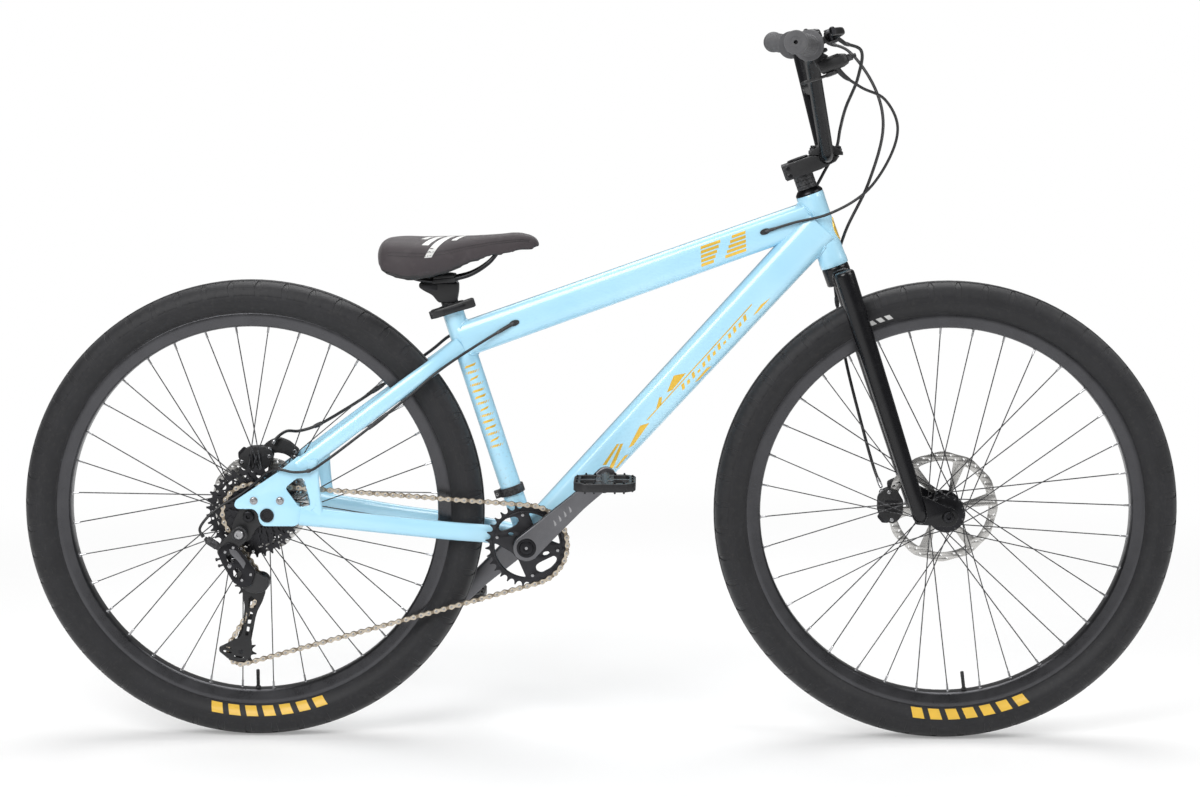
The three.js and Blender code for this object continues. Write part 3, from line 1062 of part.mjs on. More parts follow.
// Handlebar: a bend up from the clamp on each side, a second bend out to the grips, and a brace between
// A path whose inner corners are rounded by arcs of a few points
function rounded(corners, radii, steps) {
  const spots = [corners[0]];
  radii.forEach((radius, index) => {
    const corner = corners[index + 1];
    const before = corners[index].clone().sub(corner).normalize();
    const after = corners[index + 2].clone().sub(corner).normalize();
    const half = before.angleTo(after) / 2;
    const centre = corner.clone().addScaledVector(before.clone().add(after).normalize(), radius / Math.sin(half));
    const start = corner.clone().addScaledVector(before, radius / Math.tan(half)).sub(centre);
    const axis = start.clone().cross(corner.clone().sub(centre)).normalize();
    for (let step = 0; step <= steps; step += 1) {
      spots.push(start.clone().applyAxisAngle(axis, ((Math.PI - 2 * half) * step) / steps).add(centre));
    }
  });
  spots.push(corners[corners.length - 1]);
  return spots;
}
const barEnd = point(bar.sweep, bar.reach, bar.rise).multiplyScalar(bar.endShare);
const barCorners = [point(bar.forward, 0, bar.up), point(bar.forward, -bar.clampHalf, bar.up),
  point(bar.kneeForward, -bar.kneeHalf, bar.kneeUp), point(bar.gripForward, -bar.gripHalf, bar.gripUp)];
barCorners.push(barCorners[3].clone().add(barEnd));
const barHalf = rounded(barCorners, [bar.bend, bar.kneeBend, bar.gripBend], bar.bendSteps).slice(1);
const barCircle = (at) => ({ at, wide: bar.radius, deep: bar.radius });
function barShape() {
  const other = barHalf.map((spot) => spot.clone().setY(-spot.y));
  const tube = loft([...[...other].reverse(), ...barHalf].map(barCircle), smallSides, 1, point(1, 0, 0));
  const braceX = THREE.MathUtils.lerp(bar.forward, bar.kneeForward, bar.braceShare);
  const braceZ = THREE.MathUtils.lerp(bar.up, bar.kneeUp, bar.braceShare);
  const braceHalf = THREE.MathUtils.lerp(bar.clampHalf, bar.kneeHalf, bar.braceShare);
  return join([tube, crossRod(braceX, braceZ, -braceHalf, braceHalf, bar.brace, smallSides)]);
}
addPiece(steering, 'handlebar', barShape(), paint.gloss);

// Controls, made for the right-hand end of the bar: -Y runs outward along the grip from its flange
const outward = barEnd.clone().normalize();
const flangeAt = barCorners[3].clone().add(point(bar.sweep, bar.reach, bar.rise).multiplyScalar(bar.flangeShare));
const atGrip = { right: addGroup(steering, flangeAt), left: addGroup(steering, flangeAt.clone().setY(-flangeAt.y)) };
const ahead = point(1, 0, 0).addScaledVector(outward, -outward.x).normalize();
const level = ahead.clone().cross(outward.clone().negate());
atGrip.right.quaternion.setFromRotationMatrix(new THREE.Matrix4().makeBasis(ahead, outward.clone().negate(), level));
const flip = (vector) => point(vector.x, -vector.y, vector.z);
atGrip.left.quaternion.setFromRotationMatrix(new THREE.Matrix4().makeBasis(flip(ahead), flip(outward), flip(level)));
const onBothSides = (name, shape, material) => {
  addPiece(atGrip.right, `right_${name}`, shape, material);
  addPiece(atGrip.left, `left_${name}`, mirrored(shape), material);
};

function gripShape() {
  const hole = clearing(bar.radius);
  const end = -grip.length;
  return turned([[hole, 0], [grip.flange, 0], [grip.flange, -grip.flangeWall], [grip.radius, -grip.flangeWall * 1.5],
    [grip.radius, end + grip.endLength], [grip.endRadius, end + grip.endLength / 2], [grip.endRadius * 0.9, end],
    [grip.hole, end], [grip.hole, end + grip.flangeWall], [hole, end + grip.flangeWall]]);
}
onBothSides('grip', gripShape(), paint.gripRubber);

const alongBar = (from, to, radius, sides = turnedSides) => crossRod(0, 0, from, to, radius, sides);
function brakeBodyShape() {
  const clampTo = brake.clampInboard + brake.clampWidth;
  const { pin, pivotAhead, pivotInboard, pivotRadius, room } = brake;
  const clamp = alongBar(brake.clampInboard, clampTo, brake.clampRadius);
  const tank = loft(brake.tankRoute.map(([inboard, wide, deep]) => ({
    at: point(brake.ahead, inboard, brake.above), wide, deep,
  })), smallSides, 1, point(0, 0, 1));
  const neck = box(bar.radius, brake.ahead, brake.clampInboard, clampTo, -brake.neckHalf, brake.neckHalf);
  const roomHalf = brake.pivotHeight / 2;
  const earOut = roomHalf + brake.earWall;
  const ear = (from, to) => box(brake.ahead - pivotRadius, pivotAhead + pivotRadius, pivotInboard - pivotRadius,
    brake.clampInboard, from, to);
  const leverRoom = box(pivotAhead - room, pivotAhead + 2 * room, pivotInboard - 2 * room, pivotInboard + room,
    -roomHalf, roomHalf);
  const pivotPin = rod(point(pivotAhead, pivotInboard, -earOut), point(pivotAhead, pivotInboard, earOut), pin, smallSides);
  const hole = alongBar(brake.clampInboard - overrun, clampTo + overrun, clearing(bar.radius));
  const body = join([clamp, tank, neck, ear(-earOut, -roomHalf), ear(roomHalf, earOut)]);
  return join([cut(body, [hole, leverRoom]), pivotPin]);
}
onBothSides('brake_body', brakeBodyShape(), paint.satin);

function brakeLeverShape() {
  const half = brake.pivotHeight / 2 - gap;
  const boss = rod(point(0, 0, -half), point(0, 0, half), brake.pivotRadius, smallSides);
  const blade = loft(brake.bladeRoute.map(([before, out, wide, deep]) => ({
    at: point(before - brake.pivotAhead, -out - brake.pivotInboard, 0), wide, deep,
  })), smallSides, 1, point(0, 0, 1));
  const hole = rod(point(0, 0, -half - overrun), point(0, 0, half + overrun), clearing(brake.pin, smallSides), smallSides);
  return cut(join([boss, blade]), [hole]);
}
const brakeLever = brakeLeverShape();
[['right', 1], ['left', -1]].forEach(([side, way]) => {
  const pivot = addGroup(atGrip[side], point(brake.pivotAhead, way * brake.pivotInboard, 0));
  addPiece(pivot, `${side}_brake_lever`, way > 0 ? brakeLever : mirrored(brakeLever), paint.satin);
});

const shifterMiddle = shifter.clampInboard + shifter.clampWidth / 2;
function shifterShape() {
  const clampTo = shifter.clampInboard + shifter.clampWidth;
  const clamp = alongBar(shifter.clampInboard, clampTo, shifter.clampRadius);
  const front = shifter.ahead + shifter.length / 2;
  const body = box(shifter.ahead - shifter.length / 2, front, shifterMiddle - shifter.width / 2,
    shifterMiddle + shifter.width / 2, -shifter.below - shifter.height / 2, -shifter.below + shifter.height / 2);
  const neck = box(-bar.radius, bar.radius, shifter.clampInboard, clampTo, -shifter.below, -bar.radius);
  const barrel = rod(point(shifter.ahead, shifterMiddle, -shifter.below),
    point(front + shifter.barrelLength, shifterMiddle, -shifter.below), shifter.barrel, smallSides);
  const hole = alongBar(shifter.clampInboard - overrun, clampTo + overrun, clearing(bar.radius));
  return cut(join([clamp, neck, body, barrel]), [hole]);
}
addPiece(atGrip.right, 'shifter', shifterShape(), paint.plastic);
const paddleGroup = addGroup(atGrip.right, point(shifter.pivotAhead, shifterMiddle,
  -shifter.below - shifter.height / 2 - gap));
const paddleShape = join([rod(point(0, 0, -shifter.paddleWall), point(0, 0, 0), shifter.hub, smallSides),
  loft(shifter.paddleRoute.map(([before, inboard, wide]) => ({
    at: point(before, inboard, -shifter.paddleWall / 2), wide, deep: shifter.paddleWall / 2,
  })), smallSides, boxiness)]);
addPiece(paddleGroup, 'shift_lever', paddleShape, paint.plastic);

// Brake calipers: a block over the disc's edge, slotted for the disc, with a bracket to its mount
function caliperShape(sizes, angle, footing, footFrom, footTo) {
  const away = sizes.discRadius - caliper.sunk;
  const outline = chamfered(caliper.length / 2, caliper.depth / 2, caliper.corner);
  const block = plate(outline, sizes.disc - caliper.half, sizes.disc + caliper.half).rotateY(Math.PI / 2 - angle)
    .translate(away * Math.cos(angle), 0, away * Math.sin(angle));
  const discRoom = crossRod(0, 0, sizes.disc - caliper.slot, sizes.disc + caliper.slot, sizes.discRadius + caliper.clearance,
    wheelSides);
  return cut(join([block, plate(footing, footFrom, footTo)]), [discRoom]);
}
const rearCaliper = caliperShape(rearHub, Math.PI / 2 + caliper.rearLean, caliper.rearFoot,
  rearHub.disc + caliper.rearFootIn, dropout.inner - 2 * gap);
addPiece(addGroup(model, rearAxle), 'rear_brake_caliper', rearCaliper, paint.satin);
const frontCaliper = caliperShape(frontHub, Math.PI - caliper.frontLean, caliper.frontFoot,
  frontHub.disc + caliper.frontFootIn, fork.legEndY - fork.legEndRadius / 2);
const grownLeg = geometryOf(solidOf(legShape(gap))).translate(-axleInFork.x, 0, -axleInFork.z);
addPiece(addGroup(steering, axleInFork), 'front_brake_caliper', largestPart(cut(frontCaliper, [grownLeg])), paint.satin);

// Held cords: hoses and housings along their clips
addPiece(model, 'rear_shift_housing', cord(rearHousingRoute, housing), paint.plastic);
addPiece(model, 'rear_brake_hose', cord(rearHoseRoute, hose), paint.plastic);
addPiece(model, 'shift_housing_loop', cord(shiftLoopRoute, housing), paint.plastic);
addPiece(model, 'rear_hose_loop', cord(rearLoopRoute, hose), paint.plastic);
const turnBack = new THREE.Matrix4().makeTranslation(headBottom).multiply(new THREE.Matrix4()
  .makeRotationY(headAngle - Math.PI / 2)).invert();
addPiece(steering, 'front_brake_hose', cord(frontHoseRoute, hose).applyMatrix4(turnBack), paint.plastic);

export default model;
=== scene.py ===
import math
import bpy
import bmesh
from mathutils import Matrix, Vector
from mathutils.bvhtree import BVHTree
from mathutils.kdtree import KDTree


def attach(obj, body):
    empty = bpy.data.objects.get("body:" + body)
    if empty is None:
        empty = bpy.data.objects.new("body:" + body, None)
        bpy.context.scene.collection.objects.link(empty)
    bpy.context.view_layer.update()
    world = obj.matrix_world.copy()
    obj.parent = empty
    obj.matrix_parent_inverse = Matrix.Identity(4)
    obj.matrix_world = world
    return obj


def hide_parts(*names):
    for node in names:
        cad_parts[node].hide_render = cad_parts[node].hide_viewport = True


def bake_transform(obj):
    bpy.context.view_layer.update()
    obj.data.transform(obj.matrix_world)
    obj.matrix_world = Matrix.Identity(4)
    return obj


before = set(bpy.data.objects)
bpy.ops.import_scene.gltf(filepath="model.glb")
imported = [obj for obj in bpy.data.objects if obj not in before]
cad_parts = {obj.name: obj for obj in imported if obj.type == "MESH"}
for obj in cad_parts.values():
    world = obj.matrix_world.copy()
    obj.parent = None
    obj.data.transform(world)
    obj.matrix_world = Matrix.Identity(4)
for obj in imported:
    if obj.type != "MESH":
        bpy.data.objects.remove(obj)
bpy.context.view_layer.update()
print("frame loaded")

mm = 0.001
upAxis = Vector((0, 0, 1))
acrossAxis = Vector((0, 1, 0))


def linked(name, data):  # a new object in the scene
    made = bpy.data.objects.new(name, data)
    bpy.context.collection.objects.link(made)
    return made


# The camera stands where the photograph was taken from, on the drive side
camera = {"place": (0.0882, -4.325, 1.1151), "tilt": 82.553, "turn": 1.148, "lens": 82.0}
cameraData = bpy.data.cameras.new("camera")
cameraData.lens = camera["lens"]
cameraData.sensor_width = 36
cameraObject = linked("camera", cameraData)
cameraObject.location = camera["place"]
cameraObject.rotation_euler = (math.radians(camera["tilt"]), 0, math.radians(camera["turn"]))
bpy.context.scene.camera = cameraObject
bpy.context.scene.view_settings.view_transform = "Standard"

# Sizes shared by several pieces, in millimetres
bike = {
    "wheelbase": 1106, "axleHeight": 370, "chainstayRun": 439.5, "crankHeight": 320,
    "headAngle": 70.2, "seatAngle": 72.1, "forkLength": 430.8, "forkOffset": 36.2,
}
headAngle = math.radians(bike["headAngle"])
seatAngle = math.radians(bike["seatAngle"])
rearAxle = Vector((-bike["wheelbase"] / 2, 0, bike["axleHeight"]))
frontAxle = Vector((bike["wheelbase"] / 2, 0, bike["axleHeight"]))
crankCentre = Vector((rearAxle.x + bike["chainstayRun"], 0, bike["crankHeight"]))
steerUp = Vector((-math.cos(headAngle), 0, math.sin(headAngle)))
steerAhead = Vector((math.sin(headAngle), 0, math.cos(headAngle)))
seatUp = Vector((-math.cos(seatAngle), 0, math.sin(seatAngle)))
seatAhead = Vector((math.sin(seatAngle), 0, math.cos(seatAngle)))
headBottom = frontAxle - steerAhead * bike["forkOffset"] + steerUp * bike["forkLength"]


def lerp(a, b, t):
    return a + (b - a) * t


def polar(radius, angle, centre=Vector((0, 0, 0))):  # a spot round a centre, as X and Z
    return centre.x + radius * math.cos(angle), centre.z + radius * math.sin(angle)


def ringAngles(count):  # evenly spread round a circle
    return [2 * math.pi * i / count for i in range(count)]


def squared(angle, square):  # a spot on a circle, or on a squarer ring when square is below 1
    c, n = math.cos(angle), math.sin(angle)
    return math.copysign(abs(c) ** square, c), math.copysign(abs(n) ** square, n)


# Paths and shapes: each returns points and faces in millimetres
def smoothPath(points, steps):  # centripetal curve through the points
    spots = [Vector(p) for p in points]
    spots = [spots[0] * 2 - spots[1]] + spots + [spots[-1] * 2 - spots[-2]]
    path = []
    for i in range(1, len(spots) - 2):
        p0, p1, p2, p3 = spots[i - 1:i + 3]
        t1 = (p1 - p0).length ** 0.5
        t2 = t1 + (p2 - p1).length ** 0.5
        t3 = t2 + (p3 - p2).length ** 0.5
        for step in range(steps):
            t = lerp(t1, t2, step / steps)
            a1 = p0 * ((t1 - t) / t1) + p1 * (t / t1)
            a2 = p1 * ((t2 - t) / (t2 - t1)) + p2 * ((t - t1) / (t2 - t1))
            a3 = p2 * ((t3 - t) / (t3 - t2)) + p3 * ((t - t2) / (t3 - t2))
            b1 = a1 * ((t2 - t) / t2) + a2 * (t / t2)
            b2 = a2 * ((t3 - t) / (t3 - t1)) + a3 * ((t - t1) / (t3 - t1))
            path.append(b1 * ((t2 - t) / (t2 - t1)) + b2 * ((t - t1) / (t2 - t1)))
    path.append(spots[-2])
    return path


def skin(rings, closed=False):  # joins rings of points, with an end cap at each end
    verts = [v for ring in rings for v in ring]
    sides = len(rings[0])
    faces = []
    for r in range(len(rings) if closed else len(rings) - 1):
        a, b = r * sides, ((r + 1) % len(rings)) * sides
        for s in range(sides):
            t = (s + 1) % sides
            faces.append((a + s, b + s, b + t, a + t))
    if not closed:
        faces.append(tuple(range(sides)))
        faces.append(tuple(reversed(range(len(verts) - sides, len(verts)))))
    return verts, faces


def tube(path, radius, sides=20, closed=False, reference=None):
    path = [Vector(p) for p in path]
    rings = []
    across = None
    for i, spot in enumerate(path):
        if closed:
            along = (path[(i + 1) % len(path)] - path[i - 1]).normalized()
        else:
            along = (path[min(i + 1, len(path) - 1)] - path[max(i - 1, 0)]).normalized()
        if reference is not None:
            across = Vector(reference)
        elif across is None:
            across = upAxis if abs(along.z) < 0.8 else Vector((1, 0, 0))
        across = (across - along * across.dot(along)).normalized()
        up = along.cross(across)
        size = radius[i] if isinstance(radius, (list, tuple)) else radius
        rings.append([spot + across * (size * math.cos(a)) + up * (size * math.sin(a))
                      for a in ringAngles(sides)])
    return skin(rings, closed)


def loft(stations, sides=48, square=1.0, reference=(0, 1, 0), smooth=0):
    # a station is (centre, half across, half deep); the section is oval, or squarer below 1
    if smooth:
        line = smoothPath([s[0] for s in stations], smooth)
        sizes = smoothPath([(s[1], s[2], 3 * i) for i, s in enumerate(stations)], smooth)
        stations = [(p, q.x, q.y) for p, q in zip(line, sizes)]
    reference = Vector(reference)
    rings = []
    for i, (centre, wide, deep) in enumerate(stations):
        along = (Vector(stations[min(i + 1, len(stations) - 1)][0])
                 - Vector(stations[max(i - 1, 0)][0])).normalized()
        across = (reference - along * along.dot(reference)).normalized()
        up = along.cross(across)
        rings.append([Vector(centre) + across * (wide * c) + up * (deep * n)
                      for c, n in (squared(a, square) for a in ringAngles(sides))])
    return skin(rings)


def spun(profile, centre, axis=(0, 1, 0), steps=64, closed=True):
    # profile of (radius, along); unless one of its ends is on the axis, it is closed into a ring
    axis = Vector(axis).normalized()
    side = Vector((1, 0, 0)) if abs(axis.x) < 0.8 else Vector((0, 0, 1))
    side = (side - axis * side.dot(axis)).normalized()
    other = axis.cross(side)
    rings = []
    for a in ringAngles(steps):
        out = side * math.cos(a) + other * math.sin(a)
        rings.append([Vector(centre) + axis * along + out * radius for radius, along in profile])
    count = len(profile)
    closed = closed and profile[0][0] > 0 and profile[-1][0] > 0
    verts = [v for ring in rings for v in ring]
    faces = []
    for r in range(steps):
        a, b = r * count, ((r + 1) % steps) * count
        for s in range(count if closed else count - 1):
            t = (s + 1) % count
            faces.append((a + s, a + t, b + t, b + s))
    return verts, faces


def rounded(profile, radius, steps=3):  # a closed profile with its corners rounded
    result = []
    count = len(profile)
    for i, corner in enumerate(profile):
        here = Vector((corner[0], corner[1]))
        before = Vector(profile[i - 1][:2]) - here
        after = Vector(profile[(i + 1) % count][:2]) - here
        reach = min(radius, before.length * 0.45, after.length * 0.45)
        a, b = here + before.normalized() * reach, here + after.normalized() * reach
        for step in range(steps + 1):
            t = step / steps
            result.append(tuple(a * (1 - t) ** 2 + here * (2 * t * (1 - t)) + b * t ** 2))
    return result


def pipe(inner, outer, low, high, place, axis, steps):
    return spun([(inner, low), (outer, low), (outer, high), (inner, high)], place, axis, steps)


def peg(radius, low, high, place, axis, steps):  # a plain round rod
    return pipe(0, radius, low, high, place, axis, steps)


def circle(x, z, radius, sides=32):
    return [(x + radius * math.cos(a), z + radius * math.sin(a)) for a in ringAngles(sides)]


def flatShape(outlines, thickness, bevel=0.0, bevelSteps=2):
    # a sheet in X and Y about Z = 0: the first outline is its edge and the rest are cut out
    curve = bpy.data.curves.new("sheet", "CURVE")
    curve.dimensions = "2D"
    curve.fill_mode = "BOTH"
    curve.extrude = max(thickness / 2 - bevel, 0.001) * mm
    curve.bevel_depth = bevel * mm
    curve.bevel_resolution = bevelSteps
    curve.offset = -bevel * mm
    for outline in outlines:
        spline = curve.splines.new("POLY")
        spline.points.add(len(outline) - 1)
        for point, (x, y) in zip(spline.points, outline):
            point.co = (x * mm, y * mm, 0, 1)
        spline.use_cyclic_u = True
    holder = linked("sheet", curve)
    deps = bpy.context.evaluated_depsgraph_get()
    mesh = bpy.data.meshes.new_from_object(holder.evaluated_get(deps))
    verts = [v.co / mm for v in mesh.vertices]
    faces = [tuple(p.vertices) for p in mesh.polygons]
    bpy.data.objects.remove(holder)
    bpy.data.curves.remove(curve)
    bpy.data.meshes.remove(mesh)
    return verts, faces


def plate(outlines, fromY, toY, bevel=0.4, bevelSteps=2):  # the same in X and Z, between two distances out
    verts, faces = flatShape(outlines, abs(toY - fromY), bevel, bevelSteps)
    middle = (fromY + toY) / 2
    return [Vector((v.x, middle - v.z, v.y)) for v in verts], faces


def moved(shape, matrix):
    return [matrix @ v for v in shape[0]], shape[1]


def placing(matrix):
    return lambda shape: moved(shape, matrix)


def mirroredY(shape):
    return [Vector((v.x, -v.y, v.z)) for v in shape[0]], [tuple(reversed(f)) for f in shape[1]]


def block(low, high, bevel=1.0, steps=2):  # a box with rounded edges
    work = bmesh.new()
    bmesh.ops.create_cube(work, size=1)
    for v in work.verts:
        v.co = Vector((low[i] + (v.co[i] + 0.5) * (high[i] - low[i]) for i in range(3)))
    if bevel:
        bmesh.ops.bevel(work, geom=work.edges[:], offset=bevel, segments=steps, profile=0.5, affect="EDGES")
    work.verts.index_update()
    shape = [v.co.copy() for v in work.verts], [tuple(v.index for v in f.verts) for f in work.faces]
    work.free()
    return shape


def frameMatrix(origin, xAxis, yAxis, zAxis):
    matrix = Matrix((xAxis, yAxis, zAxis)).transposed().to_4x4()
    matrix.translation = Vector(origin)
    return matrix


def boltHead(place, axis, radius, height, steps=24):  # a round socket-head bolt
    profile = [(0, -height), (radius, -height), (radius, height * 0.75), (radius * 0.85, height),
               (radius * 0.5, height), (radius * 0.45, height * 0.3), (0, height * 0.3)]
    return spun(profile, place, axis, steps)


class Piece:  # one object that rides on a body, made of several shapes
    def __init__(self, name, body, slotName, placed=None):
        self.name, self.body, self.slotName, self.placed = name, body, slotName, placed
        self.work = bmesh.new()
        self.finishes = []

    def add(self, shape, finish):
        if finish not in self.finishes:
            self.finishes.append(finish)
        index = self.finishes.index(finish)
        if self.placed:
            shape = self.placed(shape)
        verts = [self.work.verts.new(Vector(v) * mm) for v in shape[0]]
        made = []
        for face in shape[1]:
            corners = [verts[i] for i in face]
            if len(set(corners)) < 3:
                continue
            try:
                made.append(self.work.faces.new(corners))
            except ValueError:
                continue
        for face in made:
            face.material_index = index
            face.smooth = True
        return self

    def done(self, *nodes, sharp=38, merge=0.00002, recalc=True):
        work = self.work
        bmesh.ops.remove_doubles(work, verts=work.verts[:], dist=merge)
        if recalc:
            bmesh.ops.recalc_face_normals(work, faces=work.faces[:])
        limit = math.radians(sharp)
        for edge in work.edges:
            if len(edge.link_faces) == 2 and edge.calc_face_angle(0) > limit:
                edge.smooth = False
        mesh = bpy.data.meshes.new(self.name)
        work.to_mesh(mesh)
        work.free()
        piece = linked(self.name, mesh)
        for finish in self.finishes:
            mesh.materials.append(finish)
        if self.body:
            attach(piece, self.body)
        if nodes:
            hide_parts(*nodes)
        return piece


# Materials
class Value:  # a value in a material's nodes, with the usual operators
    def __init__(self, graph, socket):
        self.graph, self.socket = graph, socket

    def maths(self, operation, *others, clamp=False):
        return self.graph.node("Math", {"operation": operation, "use_clamp": clamp},
                               dict(enumerate((self,) + others)))

    def __add__(self, other):
        return self.maths("ADD", other)

    def __sub__(self, other):
        return self.maths("SUBTRACT", other)

    def __mul__(self, other):
        return self.maths("MULTIPLY", other)

    def __truediv__(self, other):
        return self.maths("DIVIDE", other)

    __radd__ = __add__
    __rmul__ = __mul__

    def __rsub__(self, other):
        return (self * -1) + other

    def between(self, low, high):  # 0 below low, 1 above high, smooth between
        return self.graph.node("MapRange", {"interpolation_type": "SMOOTHSTEP"},
                               {"Value": self, "From Min": low, "From Max": high})

    def power(self, other):
        return self.maths("POWER", other)


class Graph:  # a material made of nodes around one shader
    def __init__(self, name, **constants):
        self.material = bpy.data.materials.new(name)
        self.material.use_nodes = True
        self.tree = self.material.node_tree
        self.shader = self.tree.nodes["Principled BSDF"]
        self.set(**constants)

    def set(self, **values):
        for key, value in values.items():
            self.feed(self.shader.inputs[{"BaseColor": "Base Color", "CoatWeight": "Coat Weight",
                                          "CoatRoughness": "Coat Roughness", "SheenWeight": "Sheen Weight",
                                          "SheenRoughness": "Sheen Roughness",
                                          "Specular": "Specular IOR Level",
                                          "EmissionStrength": "Emission Strength"}.get(key, key)], value)
        return self

    def feed(self, socket, value):
        if isinstance(value, Value):
            self.tree.links.new(value.socket, socket)
        elif isinstance(value, (tuple, list)) and len(value) == 3 and socket.type == "RGBA":
            socket.default_value = (*value, 1)
        else:
            socket.default_value = value

    def node(self, kind, settings=None, inputs=None, output=0):
        made = self.tree.nodes.new("ShaderNode" + kind)
        for key, value in (settings or {}).items():
            setattr(made, key, value)
        for key, value in (inputs or {}).items():
            self.feed(made.inputs[key], value)
        return Value(self, made.outputs[output])

    def place(self):
        return self.node("TexCoord", output="Object")

    def axes(self, spot):
        made = self.tree.nodes.new("ShaderNodeSeparateXYZ")
        self.feed(made.inputs[0], spot)
        return [Value(self, made.outputs[i]) for i in range(3)]

    def noise(self, scale, detail=4, roughness=0.55, spot=None, distortion=0.0):
        return self.node("TexNoise", None, {"Vector": spot or self.place(), "Scale": scale,
                                            "Detail": detail, "Roughness": roughness,
                                            "Distortion": distortion}, "Fac")

    def stretched(self, scale, spot=None):
        return self.node("Mapping", None, {"Vector": spot or self.place(), "Scale": scale})

    def mix(self, factor, a, b):
        made = self.tree.nodes.new("ShaderNodeMix")
        made.data_type = "RGBA"
        self.feed(made.inputs["Factor"], factor)
        self.feed(made.inputs[6], a)
        self.feed(made.inputs[7], b)
        return Value(self, made.outputs[2])

    def bump(self, height, distance, strength=1.0):
        made = self.tree.nodes.new("ShaderNodeBump")
        made.inputs["Strength"].default_value = strength
        made.inputs["Distance"].default_value = distance * mm
        self.feed(made.inputs["Height"], height)
        self.feed(self.shader.inputs["Normal"], Value(self, made.outputs[0]))
        return self

    def wear(self):  # rises on raised edges
        return self.node("NewGeometry", output="Pointiness").between(0.52, 0.62)


def tone(red, green, blue):  # a screen colour, 0 to 255, as the shader wants it
    return tuple((c / 255 / 12.92) if c <= 10 else (((c / 255) + 0.055) / 1.055) ** 2.4
                 for c in (red, green, blue))


def metalFinish(name, colour, roughness, grain=900.0, stretch=(1, 1, 1), variation=0.12, depth=0.02,
                specks=0.0):
    g = Graph(name, Metallic=1.0)
    fine = g.noise(grain, 3, 0.6, g.stretched(stretch))
    broad = g.noise(35, 4)
    dark = tuple(c * (1 - 2.2 * variation) for c in colour)
    colourNow = g.mix((fine * 0.55 + broad * 0.45).between(0.3, 0.7), dark, colour)
    if specks:
        stain = g.noise(60, 8, 0.75).between(0.60, 0.72) * specks
        colourNow = g.mix(stain, colourNow, tuple(c * 0.35 for c in colour))
    g.set(BaseColor=colourNow, Roughness=(broad - 0.5) * 0.18 + (fine - 0.5) * 0.16 + roughness)
    return g.bump(fine, depth).material


def blackFinish(name, colour, roughness, coat=0.0, edge=(0.16, 0.16, 0.17), wearTo=0.5, texture=1400.0,
                depth=0.012, specular=0.5):
    g = Graph(name, Metallic=0.0, CoatWeight=coat, CoatRoughness=0.08, Specular=specular)
    fine = g.noise(texture, 3, 0.6)
    broad = g.noise(18, 6, 0.6)
    smudge = g.noise(90, 5, 0.65).between(0.45, 0.75)
    worn = g.wear() * g.noise(300, 4).between(0.42, 0.6) * wearTo
    base = g.mix(broad.between(0.3, 0.7), colour, tuple(c * 1.45 for c in colour))
    g.set(BaseColor=g.mix(worn, base, edge), Roughness=smudge * 0.09 + (fine - 0.5) * 0.1 + roughness)
    return g.bump(fine * 0.7 + broad * 0.3, depth).material


def rubberFinish(name, colour, roughness=0.78, dust=0.25, grain=700.0, depth=0.05,
                 dustColour=(0.19, 0.18, 0.16)):
    g = Graph(name, SheenWeight=0.12, SheenRoughness=0.5, Specular=0.35)
    fine = g.noise(grain, 5, 0.7)
    broad = g.noise(22, 5, 0.6)
    dusty = g.noise(140, 6, 0.7).between(0.48, 0.8) * dust
    base = g.mix(broad.between(0.3, 0.7), tuple(c * 0.82 for c in colour), tuple(c * 1.15 for c in colour))
    g.set(BaseColor=g.mix(dusty, base, dustColour),
          Roughness=(broad - 0.5) * 0.14 + (fine - 0.5) * 0.1 + roughness)
    return g.bump(fine, depth).material


def paintFinish(name, colour, shade):  # clear-coated frame paint
    g = Graph(name, Metallic=0.0, CoatWeight=0.85, CoatRoughness=0.06)
    flake = g.noise(2600, 2, 0.5)
    broad = g.noise(7, 3, 0.5)
    worn = g.wear() * g.noise(260, 5).between(0.56, 0.66) * 0.5
    base = g.mix(broad.between(0.3, 0.7) * 0.5 + (flake - 0.5) * 0.3, colour, shade)
    g.set(BaseColor=g.mix(worn, base, (0.30, 0.34, 0.36)),
          Roughness=(flake - 0.5) * 0.12 + (broad - 0.5) * 0.06 + 0.34)
    return g.bump(g.noise(420, 2, 0.4), 0.010).material


def printFinish(name, colour, roughness=0.35, metallic=0.0, speck=0.1):  # a thin printed mark
    g = Graph(name, Metallic=metallic, CoatWeight=0.3, CoatRoughness=0.15)
    worn = g.noise(520, 5, 0.7).between(0.62, 0.74) * speck
    broad = g.noise(40, 3)
    base = g.mix(broad.between(0.3, 0.7), tuple(c * 0.9 for c in colour), colour)
    g.set(BaseColor=g.mix(worn, base, tuple(c * 0.45 for c in colour)),
          Roughness=(broad - 0.5) * 0.2 + roughness)
    return g.bump(g.noise(1500, 2), 0.006).material


frameBlue = paintFinish("frame_blue", tone(178, 224, 244), tone(156, 211, 238))
glossBlack = blackFinish("gloss_black", (0.003, 0.003, 0.004), 0.24, coat=0.12, wearTo=0.2, specular=0.3)
satinBlack = blackFinish("satin_black", (0.007, 0.007, 0.008), 0.42)
rimBlack = metalFinish("rim_black", (0.09, 0.09, 0.096), 0.30, grain=1500, depth=0.006)
matteBlack = blackFinish("matte_black", (0.008, 0.008, 0.009), 0.58, texture=1100.0, depth=0.04)
anodised = metalFinish("anodised_black", (0.035, 0.035, 0.038), 0.34, grain=1300, depth=0.01)
crankGrey = metalFinish("crank_grey", (0.17, 0.17, 0.18), 0.38, grain=1500, depth=0.012)
steelBright = metalFinish("steel_bright", (0.62, 0.61, 0.59), 0.28, grain=1100)
boltSteel = metalFinish("bolt_steel", (0.42, 0.42, 0.43), 0.30, grain=1500)
boltBlack = metalFinish("bolt_black", (0.045, 0.045, 0.048), 0.38, grain=1500)
